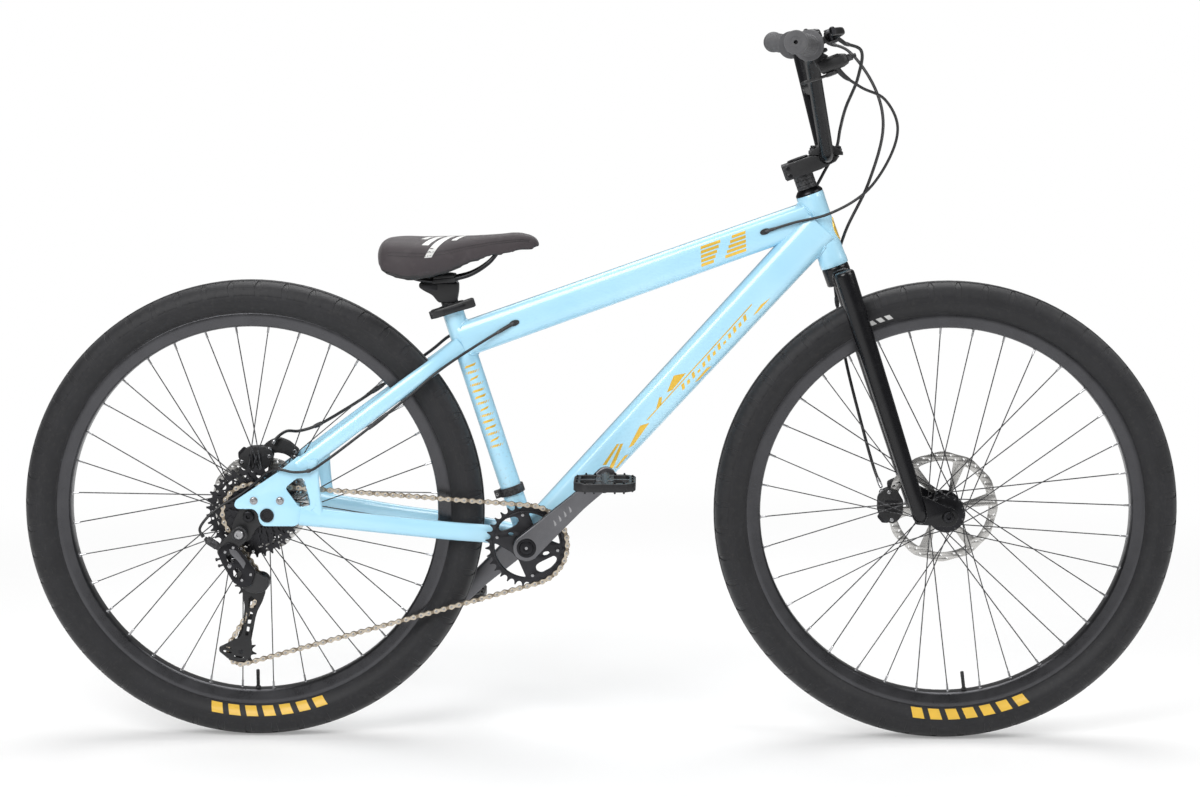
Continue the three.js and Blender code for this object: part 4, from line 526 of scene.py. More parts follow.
chainSteel = metalFinish("chain_steel", (0.66, 0.58, 0.47), 0.30, grain=1300, variation=0.16, specks=0.3)
chainShade = metalFinish("chain_shade", (0.34, 0.28, 0.21), 0.34, grain=1300, variation=0.16, specks=0.5)
ringBlack = metalFinish("ring_black", (0.05, 0.05, 0.054), 0.36, grain=1300, depth=0.015)
tyreRubber = rubberFinish("tyre_rubber", (0.013, 0.013, 0.015), 0.58, dust=0.08)
gripRubber = rubberFinish("grip_rubber", (0.095, 0.095, 0.10), 0.7, dust=0.2)
hoseBlack = blackFinish("hose_black", (0.010, 0.010, 0.011), 0.40, texture=2200)
plasticBlack = blackFinish("black_plastic", (0.013, 0.013, 0.014), 0.48, depth=0.03)
goldPrint = printFinish("gold_print", tone(240, 196, 72), 0.32, 0.35)
yellowPrint = printFinish("yellow_print", tone(228, 184, 62), 0.6)
whitePrint = printFinish("white_print", tone(214, 214, 212), 0.5)
greyPrint = printFinish("grey_print", tone(150, 150, 152), 0.45)
print("finishes made")


# Repeats: one small shape copied to many spots by geometry nodes
def looseObject(shape, name):
    mesh = bpy.data.meshes.new(name)
    mesh.from_pydata([tuple(Vector(v) * mm) for v in shape[0]], [], shape[1])
    return linked(name, mesh)


def repeated(shape, spots, finish):
    # spots are (place, turn, size): a point in millimetres, Euler angles and a scale for each copy
    unit = looseObject(shape, "unit")
    base = bpy.data.meshes.new("spots")
    base.from_pydata([tuple(Vector(place) * mm) for place, turn, size in spots], [], [])
    turns = base.attributes.new("turn", "FLOAT_VECTOR", "POINT")
    turns.data.foreach_set("vector", [c for place, turn, size in spots for c in turn])
    sizes = base.attributes.new("size", "FLOAT_VECTOR", "POINT")
    sizes.data.foreach_set("vector", [c for place, turn, size in spots
                                      for c in (size if isinstance(size, (tuple, list)) else (size,) * 3)])
    holder = linked("spots", base)
    group = bpy.data.node_groups.new("copies", "GeometryNodeTree")
    group.interface.new_socket("Geometry", in_out="INPUT", socket_type="NodeSocketGeometry")
    sockets = {}
    for key, kind in (("Unit", "NodeSocketObject"), ("Finish", "NodeSocketMaterial"),
                      ("Size", "NodeSocketFloat")):
        sockets[key] = group.interface.new_socket(key, in_out="INPUT", socket_type=kind)
    group.interface.new_socket("Geometry", in_out="OUTPUT", socket_type="NodeSocketGeometry")

    def node(kind, settings=None, inputs=None):
        made = group.nodes.new(kind)
        for key, value in (settings or {}).items():
            setattr(made, key, value)
        for key, value in (inputs or {}).items():
            if isinstance(value, bpy.types.NodeSocket):
                group.links.new(value, made.inputs[key])
            else:
                made.inputs[key].default_value = value
        return made

    entry = node("NodeGroupInput")
    leave = group.nodes.new("NodeGroupOutput")
    info = node("GeometryNodeObjectInfo", {"transform_space": "ORIGINAL"}, {"Object": entry.outputs["Unit"]})
    turn = node("GeometryNodeInputNamedAttribute", {"data_type": "FLOAT_VECTOR"}, {"Name": "turn"})
    size = node("GeometryNodeInputNamedAttribute", {"data_type": "FLOAT_VECTOR"}, {"Name": "size"})
    angle = node("FunctionNodeEulerToRotation", None, {"Euler": turn.outputs["Attribute"]})
    sized = node("ShaderNodeVectorMath", {"operation": "SCALE"},
                 {"Vector": size.outputs["Attribute"], "Scale": entry.outputs["Size"]})
    copies = node("GeometryNodeInstanceOnPoints", None,
                  {"Points": entry.outputs["Geometry"], "Instance": info.outputs["Geometry"],
                   "Rotation": angle.outputs["Rotation"], "Scale": sized.outputs["Vector"]})
    real = node("GeometryNodeRealizeInstances", None, {"Geometry": copies.outputs["Instances"]})
    painted = node("GeometryNodeSetMaterial", None,
                   {"Geometry": real.outputs["Geometry"], "Material": entry.outputs["Finish"]})
    group.links.new(painted.outputs["Geometry"], leave.inputs[0])
    modifier = holder.modifiers.new("copies", "NODES")
    modifier.node_group = group
    for key, value in (("Unit", unit), ("Finish", finish), ("Size", 1.0)):
        modifier[sockets[key].identifier] = value
    deps = bpy.context.evaluated_depsgraph_get()
    mesh = bpy.data.meshes.new_from_object(holder.evaluated_get(deps))
    result = [v.co / mm for v in mesh.vertices], [tuple(p.vertices) for p in mesh.polygons]
    for item in (holder, unit):
        bpy.data.objects.remove(item)
    bpy.data.meshes.remove(mesh)
    bpy.data.node_groups.remove(group)
    return result


def ringSpots(centre, count, phase=0.0):  # turned about a line across the bike
    return [(centre, (0, phase + a, 0), 1.0) for a in ringAngles(count)]


def merged(*shapes):
    verts, faces = [], []
    for shape in shapes:
        base = len(verts)
        verts += list(shape[0])
        faces += [tuple(i + base for i in face) for face in shape[1]]
    return verts, faces


# Frame: tubes, stays and the plates that hold the rear wheel
tubes = {"topRear": (-217.6, 643), "topFront": (343.7, 844), "topRearSize": (20, 28),
         "topFrontSize": (19, 25), "downFront": (350.2, 826.4), "downRearSize": (25, 27.5),
         "downFrontSize": (27, 31.5)}
topFrom = Vector((tubes["topRear"][0], 0, tubes["topRear"][1]))
topTo = Vector((tubes["topFront"][0], 0, tubes["topFront"][1]))
downTo = Vector((tubes["downFront"][0], 0, tubes["downFront"][1]))
topAlong = (topTo - topFrom).normalized()
topEnds = (topFrom, topTo, tubes["topRearSize"], tubes["topFrontSize"])
downEnds = (crankCentre, downTo, tubes["downRearSize"], tubes["downFrontSize"])


def barStations(start, end, startSize, endSize, count=24):
    spots = []
    for i in range(count + 1):
        t = i / count
        spots.append((lerp(start, end, t), lerp(startSize[0], endSize[0], t),
                      lerp(startSize[1], endSize[1], t)))
    return spots


def sectionTube(start, end, startSize, endSize, sides=64, square=0.6):
    return loft(barStations(start, end, startSize, endSize), sides, square)


def trimmed(shape, keep):  # drops the faces whose corners all fail the test
    verts, faces = shape
    return verts, [f for f in faces if any(keep(verts[i]) for i in f)]


def solidTree(shape):
    return BVHTree.FromPolygons([tuple(v) for v in shape[0]], shape[1])


def meeting(start, end, startSize, endSize, other, fromEnd, square=0.6, count=72):
    # where a tube's skin first meets another shape, seen from its free end
    tree = solidTree(other)
    first, last = (end, start) if fromEnd == "start" else (start, end)
    firstSize, lastSize = (endSize, startSize) if fromEnd == "start" else (startSize, endSize)
    middle = lerp(Vector(first), Vector(last), 0.5)
    middleSize = [lerp(firstSize[i], lastSize[i], 0.5) for i in range(2)]
    along = (Vector(last) - Vector(first)).normalized()
    across = (acrossAxis - along * along.dot(acrossAxis)).normalized()
    up = along.cross(across)
    ring = []
    for a in ringAngles(count):
        c, n = squared(a, square)
        near = middle + across * middleSize[0] * c + up * middleSize[1] * n
        far = Vector(last) + across * lastSize[0] * c + up * lastSize[1] * n
        hit = tree.ray_cast(near, (far - near).normalized())
        if hit[0] is not None:
            ring.append(hit[0])
    return ring


def beadAlong(ring, radius=2.3, pitch=2.6, closed=True):  # a weld: a rope with overlapping ripples
    length = 0
    points = ring + ([ring[0]] if closed else [])
    marks = [0]
    for a, b in zip(points, points[1:]):
        length += (b - a).length
        marks.append(length)
    count = max(12, int(length / pitch) * 4)
    path, sizes = [], []
    for i in range(count if closed else count + 1):
        where = length * i / count
        k = max(j for j in range(len(marks)) if marks[j] <= where + 1e-9)
        k = min(k, len(points) - 2)
        t = (where - marks[k]) / max(marks[k + 1] - marks[k], 1e-6)
        path.append(lerp(points[k], points[k + 1], t))
        sizes.append(radius * (1 + 0.16 * math.cos(2 * math.pi * i / 4)))
    return tube(path, sizes, 8, closed)


frameTubes = Piece("frame_tubes", "frame", "frame_blue")
topSkin = sectionTube(*topEnds)
downSkin = sectionTube(*downEnds)
seatProfile = [(13.9, 0), (17, 0), (17, 388), (17.4, 390), (17.4, 395.4), (16.9, 396), (13.9, 396)]
seatSkin = spun(seatProfile, crankCentre, seatUp, 64)
headProfile = [(20.6, 0.0), (22.1, 0.0), (22.5, 0.6), (22.5, 9), (21.9, 13), (21.4, 30), (21.2, 60),
               (21.4, 90), (21.7, 107), (22, 111), (22, 119.4), (21.6, 120), (20.6, 120), (20.6, 108),
               (17, 108), (17, 12), (20.6, 12)]
headSkin = spun(headProfile, headBottom, steerUp, 72)
shellProfile = [(17.5, -34), (20.4, -34), (21, -33.4), (21, 33.4), (20.4, 34), (17.5, 34)]
shellSkin = spun(shellProfile, crankCentre, (0, 1, 0), 64)


def outsideOf(centre, axis, radius):
    axis = Vector(axis)
    return lambda v: ((v - centre) - axis * (v - centre).dot(axis)).length > radius


headClear = outsideOf(headBottom, steerUp, 21.0)
seatClear = outsideOf(crankCentre, seatUp, 16.2)
shellClear = outsideOf(crankCentre, acrossAxis, 20.2)
frameTubes.add(trimmed(topSkin, lambda v: headClear(v) and seatClear(v)), frameBlue)
frameTubes.add(trimmed(downSkin, lambda v: headClear(v) and shellClear(v)), frameBlue)
frameTubes.add(seatSkin, frameBlue).add(headSkin, frameBlue).add(shellSkin, frameBlue)

stays = {"sides": 28, "square": 0.78, "smooth": 10,
         "chain": [(-472, 371.4, 76.2, 6.5, 15.3), (-395, 362, 65, 8, 14.5), (-320, 352, 52, 8, 14.5),
                   (-222, 341, 42.5, 8, 14.5), (-181, 336, 31.5, 8, 14.5), (-130, 327, 22, 8, 14.5)],
         "seat": [(-472, 448.5, 76.2, 6.5, 12.8), (-385, 514, 62, 8, 13), (-300, 577, 48, 8, 13),
                  (-262, 604, 39, 8, 13), (-221, 636, 13, 8, 13)],
         "strut": [(-451.5, 462, 76.4, 5, 10), (-448, 410, 75, 5, 9.2), (-443, 366, 73.8, 5, 10)]}


def stayShape(route, way):
    return loft([(Vector((x, way * y, z)), wide, deep) for x, z, y, wide, deep in route], stays["sides"],
                stays["square"], smooth=stays["smooth"])


for way in (-1, 1):
    for key in ("chain", "seat", "strut"):
        frameTubes.add(stayShape(stays[key], way), frameBlue)

# Welds where the tubes meet
welds = {"radius": 2.2, "fine": 1.7}
for ends, other, freeEnd in ((topEnds, headSkin, "end"), (topEnds, seatSkin, "start"),
                             (downEnds, headSkin, "end"), (downEnds, shellSkin, "start")):
    frameTubes.add(beadAlong(meeting(*ends, other, freeEnd), welds["radius"]), frameBlue)
frameTubes.add(beadAlong([crankCentre + seatUp * 22 + seatAhead * 17 * math.cos(a)
                          + acrossAxis * 17 * math.sin(a) - seatUp * 3 * (1 - math.cos(2 * a))
                          for a in ringAngles(48)], welds["fine"]), frameBlue)
frameTubes.done("top_tube", "down_tube", "seat_tube", "head_tube", "bottom_bracket", "right_chainstay",
                "left_chainstay", "right_seatstay", "left_seatstay")
print("frame tubes made")

# Dropouts: plates around the rear axle, one on each side
dropouts = {"outline": [(-22, 17), (-20, 26), (50, 73), (83, 99), (103, 70), (110, 20), (75, -15),
                        (23, -15), (17, -7), (16, 5), (9, 12.5), (-17, 12.5)],
            "window": [(59, 46), (78, 62), (89, 62), (100, 19), (81, 15)], "bolts": [(9.4, 26), (51, 26)],
            "pivot": (30, 2.5), "inner": 73.8, "wall": 6,
            "plate": [(-15, 10), (2, 37), (54, 38), (60, 20), (42, -9), (14, -17), (0, -40), (-16, -43),
                      (-28, -32), (-26, -12)],
            "leftPlate": [(-15, 10), (2, 37), (54, 38), (60, 20), (42, -9), (14, -17), (-8, -16)],
            "plateInner": 68.1, "plateWall": 5.4}


def around(axle, outline):
    return [(axle.x + x, axle.z + z) for x, z in outline]


for way, name in ((-1, "right"), (1, "left")):
    part = Piece(name + "_dropout_plate", "frame", "frame_blue")
    near, far = dropouts["inner"], dropouts["inner"] + dropouts["wall"]
    edge = rounded(around(rearAxle, dropouts["outline"]), 5)
    hole = rounded(around(rearAxle, dropouts["window"]), 5)
    part.add(plate([edge, hole], way * near, way * far, 0.9, 3), frameBlue)
    for x, z in dropouts["bolts"]:
        spot = Vector((rearAxle.x + x, way * far, rearAxle.z + z))
        part.add(peg(6.4, 0, 0.6, spot, (0, way, 0), 24), boltSteel)
        part.add(boltHead(spot + Vector((0, way * 0.6, 0)), (0, way, 0), 4.9, 1.9), boltSteel)
    pivot = Vector((rearAxle.x + dropouts["pivot"][0], way * far, rearAxle.z + dropouts["pivot"][1]))
    part.add(spun([(0, 0), (10.8, 0), (11, 0.5), (11, 2.0), (10.2, 2.9), (7.5, 2.9), (7, 2.2), (5.2, 2.2),
                   (4.9, 0.8), (0, 0.8)], pivot, (0, way, 0), 40), boltBlack)
    axleEdge = rounded(around(rearAxle, dropouts["plate" if way < 0 else "leftPlate"]), 5)
    platePart = part
    if way < 0:
        platePart = Piece("right_axle_holder", "frame", "satin_black")
    inner = dropouts["plateInner"]
    platePart.add(plate([axleEdge, circle(rearAxle.x, rearAxle.z, 5.3)], way * inner,
                        way * (inner + dropouts["plateWall"]), 0.7, 2), satinBlack)
    if way < 0:
        hangerSpot = Vector((rearAxle.x - 14, -inner, rearAxle.z - 27))
        platePart.add(peg(8, 0, -0.8, hangerSpot, (0, -1, 0), 24), satinBlack)
        platePart.done("right_axle_plate")
        part.done("right_dropout")
    else:
        part.done("left_dropout")

# Axles with domed heads and a round socket
for name, centre, body, head, node in (("rear_axle_bolt", rearAxle, "frame", 73.8, "rear_axle"),
                                       ("front_axle_bolt", frontAxle, "steering", 61.3, "front_axle")):
    part = Piece(name, body, "satin_black")
    part.add(peg(5, -head, head, centre, (0, 1, 0), 24), boltSteel)
    for way in (-1, 1):
        part.add(spun([(5, 0), (8.8, 0), (9, 0.4), (9, 3.6), (8.2, 5.2), (6, 6), (3.6, 6), (3.2, 5.4),
                       (3, 2), (0, 2)], centre + Vector((0, way * head, 0)), (0, way, 0), 40), anodised)
    part.done(node)
print("dropouts made")

# Fork, in its own frame: ahead of the steering axis, out to the left, up from the head tube's foot
forkMatrix = frameMatrix(headBottom, steerAhead, acrossAxis, steerUp)
onFork = placing(forkMatrix)


def bentPath(corners, radii, steps=12):  # a path whose inner corners are rounded by arcs
    corners = [Vector(c) for c in corners]
    spots = [corners[0]]
    for i, radius in enumerate(radii):
        corner = corners[i + 1]
        before = (corners[i] - corner).normalized()
        after = (corners[i + 2] - corner).normalized()
        half = before.angle(after) / 2
        centre = corner + (before + after).normalized() * (radius / math.sin(half))
        start = corner + before * (radius / math.tan(half)) - centre
        axis = start.cross(corner - centre).normalized()
        for step in range(steps + 1):
            spots.append(Matrix.Rotation((math.pi - 2 * half) * step / steps, 3, axis) @ start + centre)
    spots.append(corners[-1])
    return spots


fork = {"legTop": (7.8, 57, -8), "legEnd": (-5.1, 58, -424.5), "square": 0.62}
legTop, legEnd = Vector(fork["legTop"]), Vector(fork["legEnd"])
legAlong = (legEnd - legTop).normalized()

crown = Piece("fork_crown_shell", "steering", "gloss_black", onFork)
crown.add(spun([(14.3, -30), (19.5, -30), (21.2, -28.6), (21.5, -27), (21.5, -4), (21.2, -1.6),
                (20.2, -0.5), (14.3, -0.4)], (0, 0, 0), (0, 0, 1), 64), glossBlack)
crown.add(pipe(13.9, 14.3, -0.5, 175, (0, 0, 0), (0, 0, 1), 32), satinBlack)
bridge = [(Vector((3.9, y, -19 + 1.6 * math.cos(y / 41 * math.pi / 2) - 1.4)), 14.6 - 0.8 * abs(y) / 41,
           13.2 - 0.5 * abs(y) / 41) for y in (-43, -36, -28, -20, -10, 0, 10, 20, 28, 36, 43)]
crown.add(loft(bridge, 48, fork["square"], (1, 0, 0)), glossBlack)
for way in (-1, 1):
    weld = []
    for a in ringAngles(40):
        c, n = squared(a, fork["square"])
        weld.append(Vector((3.9 + 13.9 * c, way * 40.6, -19.2 + 12.8 * n)))
    crown.add(beadAlong(weld, 1.9, 2.6), glossBlack)
crown.done("fork_crown")

for way, name in ((-1, "right"), (1, "left")):
    leg = Piece(name + "_fork_blade", "steering", "gloss_black", onFork)
    path, sizes = [], []
    for share, size in ((0, 12.2), (0.002, 14.2), (0.007, 15.9), (0.016, 16.4), (0.12, 16.3), (0.3, 15.9),
                        (0.5, 15.0), (0.7, 13.9), (0.88, 12.9), (0.955, 12.3), (0.975, 11.2), (0.99, 8.4),
                        (0.996, 5.5)):
        spot = lerp(legTop, legEnd, share)
        path.append(Vector((spot.x, way * spot.y, spot.z)))
        sizes.append(size)
    leg.add(tube(path, sizes, 40, reference=(1, 0, 0)), glossBlack)
    capSpot = Vector((legTop.x, way * legTop.y, legTop.z))
    capWay = Vector((-legAlong.x, -way * legAlong.y, -legAlong.z))
    leg.add(spun([(0, -1), (12.4, -1), (12.2, -0.2), (9, 0), (6, -0.15), (5.4, -1), (0, -1)],
                 capSpot + capWay * 0.1, capWay, 40), satinBlack)
    ax, az = bike["forkOffset"], -bike["forkLength"]
    outline = [(legEnd.x - 12, legEnd.z)]
    outline += [(ax + 15.5 * math.cos(a), az + 15.5 * math.sin(a))
                for a in (math.radians(t) for t in range(-120, 76, 15))]
    outline += [(legEnd.x + 14, az + 46), (legEnd.x - 4, az + 46)]
    leg.add(plate([rounded(outline, 4), circle(ax, az, 5.3, 28)], way * 55, way * 61, 0.8, 2), glossBlack)
    weld = [Vector((legEnd.x + 11 * math.cos(a), way * 61.2, legEnd.z + 14 + 16 * math.sin(a)))
            for a in (math.radians(t) for t in range(-200, 21, 12))]
    leg.add(beadAlong(weld, 1.5, 2.6, closed=False), glossBlack)
    leg.done(name + "_fork_leg")
print("fork made")

# Headset cover and spacers
cover = Piece("headset_top", "steering", "satin_black", onFork)
cover.add(spun([(14.6, 120.4), (21.6, 120.4), (22, 120.9), (21.9, 122.6), (20.8, 124.6), (18.6, 127.4),
                (17.2, 128.9), (16.4, 129.3), (14.6, 129.3)], (0, 0, 0), (0, 0, 1), 64), anodised)
for low, high in ((129.5, 136.8), (137.0, 144.3), (144.5, 151.9)):
    cover.add(spun([(14.6, low), (15.5, low), (16, low + 0.5), (16, high - 0.5), (15.5, high),
                    (14.6, high)], (0, 0, 0), (0, 0, 1), 56), satinBlack)
cover.done("headset_cover")

# Stem: a block with a cradle for the bar, and a lid bolted down over it
stem = {"middle": 164.7, "half": 25, "barAhead": 43.9, "barUp": 169.2, "barRadius": 11.15}
barCentre = Vector((stem["barAhead"], 0, stem["barUp"]))
tilt = math.pi / 2 - headAngle
level = (math.cos(tilt), -math.sin(tilt))


def stemOutline():
    bx, bz = barCentre.x, barCentre.z - stem["middle"]
    line = [(-27, -12.5), (29, -12.5), (55, -8.7), (62.6, -3.0)]
    line.append((bx + level[0] * 20.5 + level[1] * 0.5, bz + level[1] * 20.5 - level[0] * 0.5))
    start = math.atan2(level[1], level[0])
    radius = stem["barRadius"]
    for i in range(19):
        a = start - math.pi * i / 18 - 0.045 * (1 - 2 * i / 18)
        line.append((bx + radius * math.cos(a), bz + radius * math.sin(a)))
    line += [(21.8, 12.5), (-27, 12.5)]
    return [(x, z + stem["middle"]) for x, z in line]


stemPiece = Piece("stem_body", "steering", "satin_black", onFork)
stemPiece.add(plate([stemOutline()], -stem["half"], stem["half"], 1.6, 3), matteBlack)
stemPiece.add(spun([(14.6, 152.2), (20.2, 152.2), (21, 153), (21, 176.4), (20.2, 177.2), (14.6, 177.2)],
                   (0, 0, 0), (0, 0, 1), 56), matteBlack)
stemPiece.add(spun([(0, 177), (16.2, 177), (17, 177.6), (17, 179.2), (16, 180.2), (6, 180.2), (5.6, 179.4),
                    (0, 179.4)], (0, 0, 0), (0, 0, 1), 56), anodised)
stemPiece.add(boltHead((0, 0, 179.4), (0, 0, 1), 4.8, 0.8), boltBlack)
for x, z in ((-20.2, 170.4), (-20.2, 158.4)):
    for way in (-1, 1):
        stemPiece.add(spun([(0, -0.4), (5.2, -0.4), (5.2, 0.3), (4.6, 0.5), (0, 0.5)], (x, way * 25, z),
                           (0, way, 0), 24), matteBlack)
    stemPiece.add(boltHead((x, -25.4, z), (0, -1, 0), 3.6, 1.2), boltBlack)
stemPiece.add(block((-28.2, -1.2, 153.4), (-26.6, 1.2, 176), 0.3, 1), boltBlack)
stemPiece.done("stem")

onLid = placing(forkMatrix @ Matrix.Translation(barCentre) @ Matrix.Rotation(tilt, 4, "Y"))
lid = Piece("stem_cover_plate", "steering", "satin_black", onLid)
lidArc = [polar(11.3, a) for a in (0.08 + (math.pi - 0.16) * i / 18 for i in range(19))]
lidEdge = [(-26, 0.9), (-26, 6), (-22, 8.6), (-15, 13.6), (-11.6, 15.6), (-6, 15.9), (6, 15.9),
           (11.6, 15.6), (15, 13.6), (22, 8.6), (26, 6), (26, 0.9)]
lid.add(plate([lidEdge + lidArc], -22, 22, 1.0, 2), matteBlack)
for x in (-19.4, 19.4):
    for y in (-14.5, 14.5):
        lid.add(peg(5.2, -3, 1.4, (x, y, 9.6), upAxis, 24), matteBlack)
        lid.add(boltHead((x, y, 12.6), upAxis, 3.9, 2.0), boltBlack)
lid.done("stem_lid")
print("stem made")

# Handlebar: two bends on each side and a brace
bar = {"radius": 11.1, "clamp": (43.9, 38, 169.2), "knee": (66, 165, 335), "turn": (72.3, 200, 339.2),
       "end": (-22.8, 125, 13.5), "endShare": 1.37, "flangeShare": 0.44, "bends": (26, 58, 50),
       "braceShare": 0.62}
barTurn = Vector((bar["turn"][0], -bar["turn"][1], bar["turn"][2]))
barOut = Vector((bar["end"][0], -bar["end"][1], bar["end"][2]))
halfBar = bentPath([(bar["clamp"][0], 0, bar["clamp"][2]),
                    (bar["clamp"][0], -bar["clamp"][1], bar["clamp"][2]),
                    (bar["knee"][0], -bar["knee"][1], bar["knee"][2]), barTurn,
                    barTurn + barOut * bar["endShare"]], bar["bends"], 10)
wholeBar = [Vector((p.x, -p.y, p.z)) for p in reversed(halfBar[1:])] + halfBar
barShape = tube(wholeBar, bar["radius"], 32, reference=(1, 0, 0))
handlebar = Piece("handlebar_tube", "steering", "gloss_black", onFork)
handlebar.add(barShape, glossBlack)
braceSpot = lerp(Vector(bar["clamp"]), Vector(bar["knee"]), bar["braceShare"])
braceY = braceSpot.y
bracePath = [(-1, 8.9), (-0.985, 8.4), (-0.95, 8), (-0.5, 8), (0, 8), (0.5, 8), (0.95, 8), (0.985, 8.4),
             (1, 8.9)]
handlebar.add(tube([Vector((braceSpot.x, s * braceY, braceSpot.z)) for s, r in bracePath],
                   [r for s, r in bracePath], 32, reference=(1, 0, 0)), glossBlack)
barTree = solidTree(barShape)
for way in (-1, 1):
    ring = []
    for a in ringAngles(36):
        start = Vector((braceSpot.x + 8.2 * math.cos(a), way * braceY * 0.6,
                        braceSpot.z + 8.2 * math.sin(a)))
        hit = barTree.ray_cast(start, Vector((0, way, 0)))
        if hit[0] is not None:
            ring.append(hit[0])
    handlebar.add(beadAlong(ring, 1.6, 2.4), glossBlack)
handlebar.done("handlebar")
print("handlebar made")

# Controls are made for the right-hand grip: ahead of the bar, inboard of the grip's flange, and up
outward = barOut.normalized()
gripAhead = (Vector((1, 0, 0)) - outward * outward.x).normalized()
gripLevel = gripAhead.cross(-outward)
gripMatrix = forkMatrix @ frameMatrix(barTurn + barOut * bar["flangeShare"], gripAhead, -outward, gripLevel)


def onGrip(way):  # to the right-hand grip, or mirrored to the left
    return lambda shape: moved(shape, gripMatrix) if way < 0 else mirroredY(moved(shape, gripMatrix))


grip = {"length": 126, "ribPitch": 3.1, "ribDepth": 0.8}


def gripProfile():
    line = [(11.5, 0), (21.8, 0), (22.8, -0.6), (23, -1.6), (22.6, -3.1), (21.2, -4), (18.2, -4.7),
            (16.3, -6.2)]
    y = -9.0
    while y > -grip["length"] + 14:
        line += [(16.0, y), (16.0, y - 1.0), (16.0 - grip["ribDepth"], y - 1.6),
                 (16.0 - grip["ribDepth"], y - 2.5)]
        y -= grip["ribPitch"]
    end = -grip["length"]
    line += [(16.0, end + 12), (16.0, end + 7.2), (16.6, end + 6.2), (17.4, end + 5.2), (17.5, end + 2.6),
             (16.8, end + 0.9), (15.2, end), (8.5, end), (8, end + 0.6), (3.1, end + 0.6), (3, end + 3),
             (11.5, end + 4)]
    return line


for way, name in ((-1, "right"), (1, "left")):
    gripPiece = Piece(name + "_grip_sleeve", "steering", "grip_rubber", onGrip(way))
    gripPiece.add(spun(gripProfile(), (0, 0, 0), (0, 1, 0), 56), gripRubber)
    gripPiece.done(name + "_grip")

brake = {"clampFrom": 20, "clampWidth": 13}


def brakeBody(part):
    low, high = brake["clampFrom"], brake["clampFrom"] + brake["clampWidth"]
    part.add(spun([(11.5, low), (14.9, low), (15.5, low + 0.7), (15.5, high - 0.7), (14.9, high),
                   (11.5, high)], (0, 0, 0), (0, 1, 0), 44), matteBlack)
    part.add(block((9, low + 1, -15.4), (19, high - 1, -9), 1.6), matteBlack)
    for y in (low + 3.4, high - 3.4):
        part.add(boltHead((19, y, -12.2), (1, 0, 0), 2.3, 1.1, 18), boltBlack)
    part.add(loft([((11, 26.5, 0), 6.2, 5.0), ((18, 26.5, 1), 5.8, 4.8), ((24, 26, 2.4), 6.6, 5.2),
                   ((31, 26, 3.4), 7.4, 5.6)], 28, 0.7), matteBlack)
    tank = [((32, 14.6, 5), 5.2, 4.6), ((32, 15.2, 5), 7.0, 6.2), ((32, 19, 5), 8.8, 8.2),
            ((32, 25, 5), 9.8, 9.8), ((32, 36, 5), 9.6, 9.8), ((32, 47, 5), 8.9, 9.4),
            ((32, 55.5, 5), 8.1, 8.8), ((32, 57.6, 5), 6.6, 7.2), ((32, 58, 5), 5, 5.6)]
    part.add(loft(tank, 36, 0.82, (0, 0, 1)), anodised)
    part.add(block((24.5, 24, 13.0), (39.5, 52, 14.9), 0.8), matteBlack)
    for x, y in ((27, 27), (37, 27), (27, 49), (37, 49)):
        part.add(boltHead((x, y, 14.6), (0, 0, 1), 1.3, 0.4, 14), boltSteel)
    for side in (-1, 1):  # ears that hold the lever's pin
        ear = [(27, -3), (33, -4.6), (39, -3), (43, 1.5), (43, 8), (40, 12), (36, 16), (29.5, 21), (27, 21)]
        verts, faces = flatShape([rounded(ear, 3.5)], 3, 0.5, 1)
        part.add(([Vector((v.x, v.y, side * 7.6 + v.z)) for v in verts], faces), matteBlack)
        part.add(boltHead((36, 4, side * 9.2), (0, 0, side), 3.4, 0.7, 20), boltSteel)
    part.add(peg(2.5, -9, 9, (36, 4, 0), (0, 0, 1), 16), boltSteel)
    part.add(spun([(0, 0), (5.4, 0), (5.4, 3), (4.4, 3.6), (4.4, 8.4), (3.9, 9), (0, 9)], (32, 56.6, 5),
                  (0.28, 0.94, -0.18), 6), anodised)
    boot = smoothPath([(33.2, 61, 4.2), (36, 68, 0), (39.6, 74.6, -5.6), (42.4, 79.4, -10.4)], 5)
    part.add(tube(boot, [3.7 - 0.045 * i for i in range(len(boot))], 18), plasticBlack)


def leverBlade():
    route = [((36, 4, 0), 5.2, 4.4), ((40.5, -1.5, 0), 5.3, 4.3), ((47, -9.5, 0), 5.5, 4.1),
             ((53.4, -19, 0), 5.5, 3.9), ((56.6, -28.5, 0), 5.4, 3.6), ((56.2, -39, 0), 5.5, 3.6),
             ((53.4, -52, 0), 5.6, 3.6), ((50.6, -64, 0), 5.8, 3.7), ((49, -75, 0), 6.2, 4.0),
             ((49.4, -82.5, 0), 6.5, 4.4), ((51.2, -87, 0), 6.3, 4.2), ((52.4, -88.9, 0), 5, 3.0)]
    return loft(route, 28, 0.8, (0, 0, 1), 4)


for way, name in ((-1, "right"), (1, "left")):
    part = Piece(name + "_brake_master", "steering", "satin_black", onGrip(way))
    brakeBody(part)
    part.done(name + "_brake_body")
    lever = Piece(name + "_lever_blade", name + "_brake_lever", "satin_black", onGrip(way))
    lever.add(spun([(2.7, -5.6), (6.4, -5.6), (6.9, -5.1), (6.9, 5.1), (6.4, 5.6), (2.7, 5.6)], (36, 4, 0),
                   (0, 0, 1), 32), anodised)
    lever.add(leverBlade(), anodised)
    lever.add(boltHead((46, -3.6, 0), (0.86, -0.5, 0), 2.0, 1.0, 14), boltBlack)
    lever.done(name + "_brake_lever")

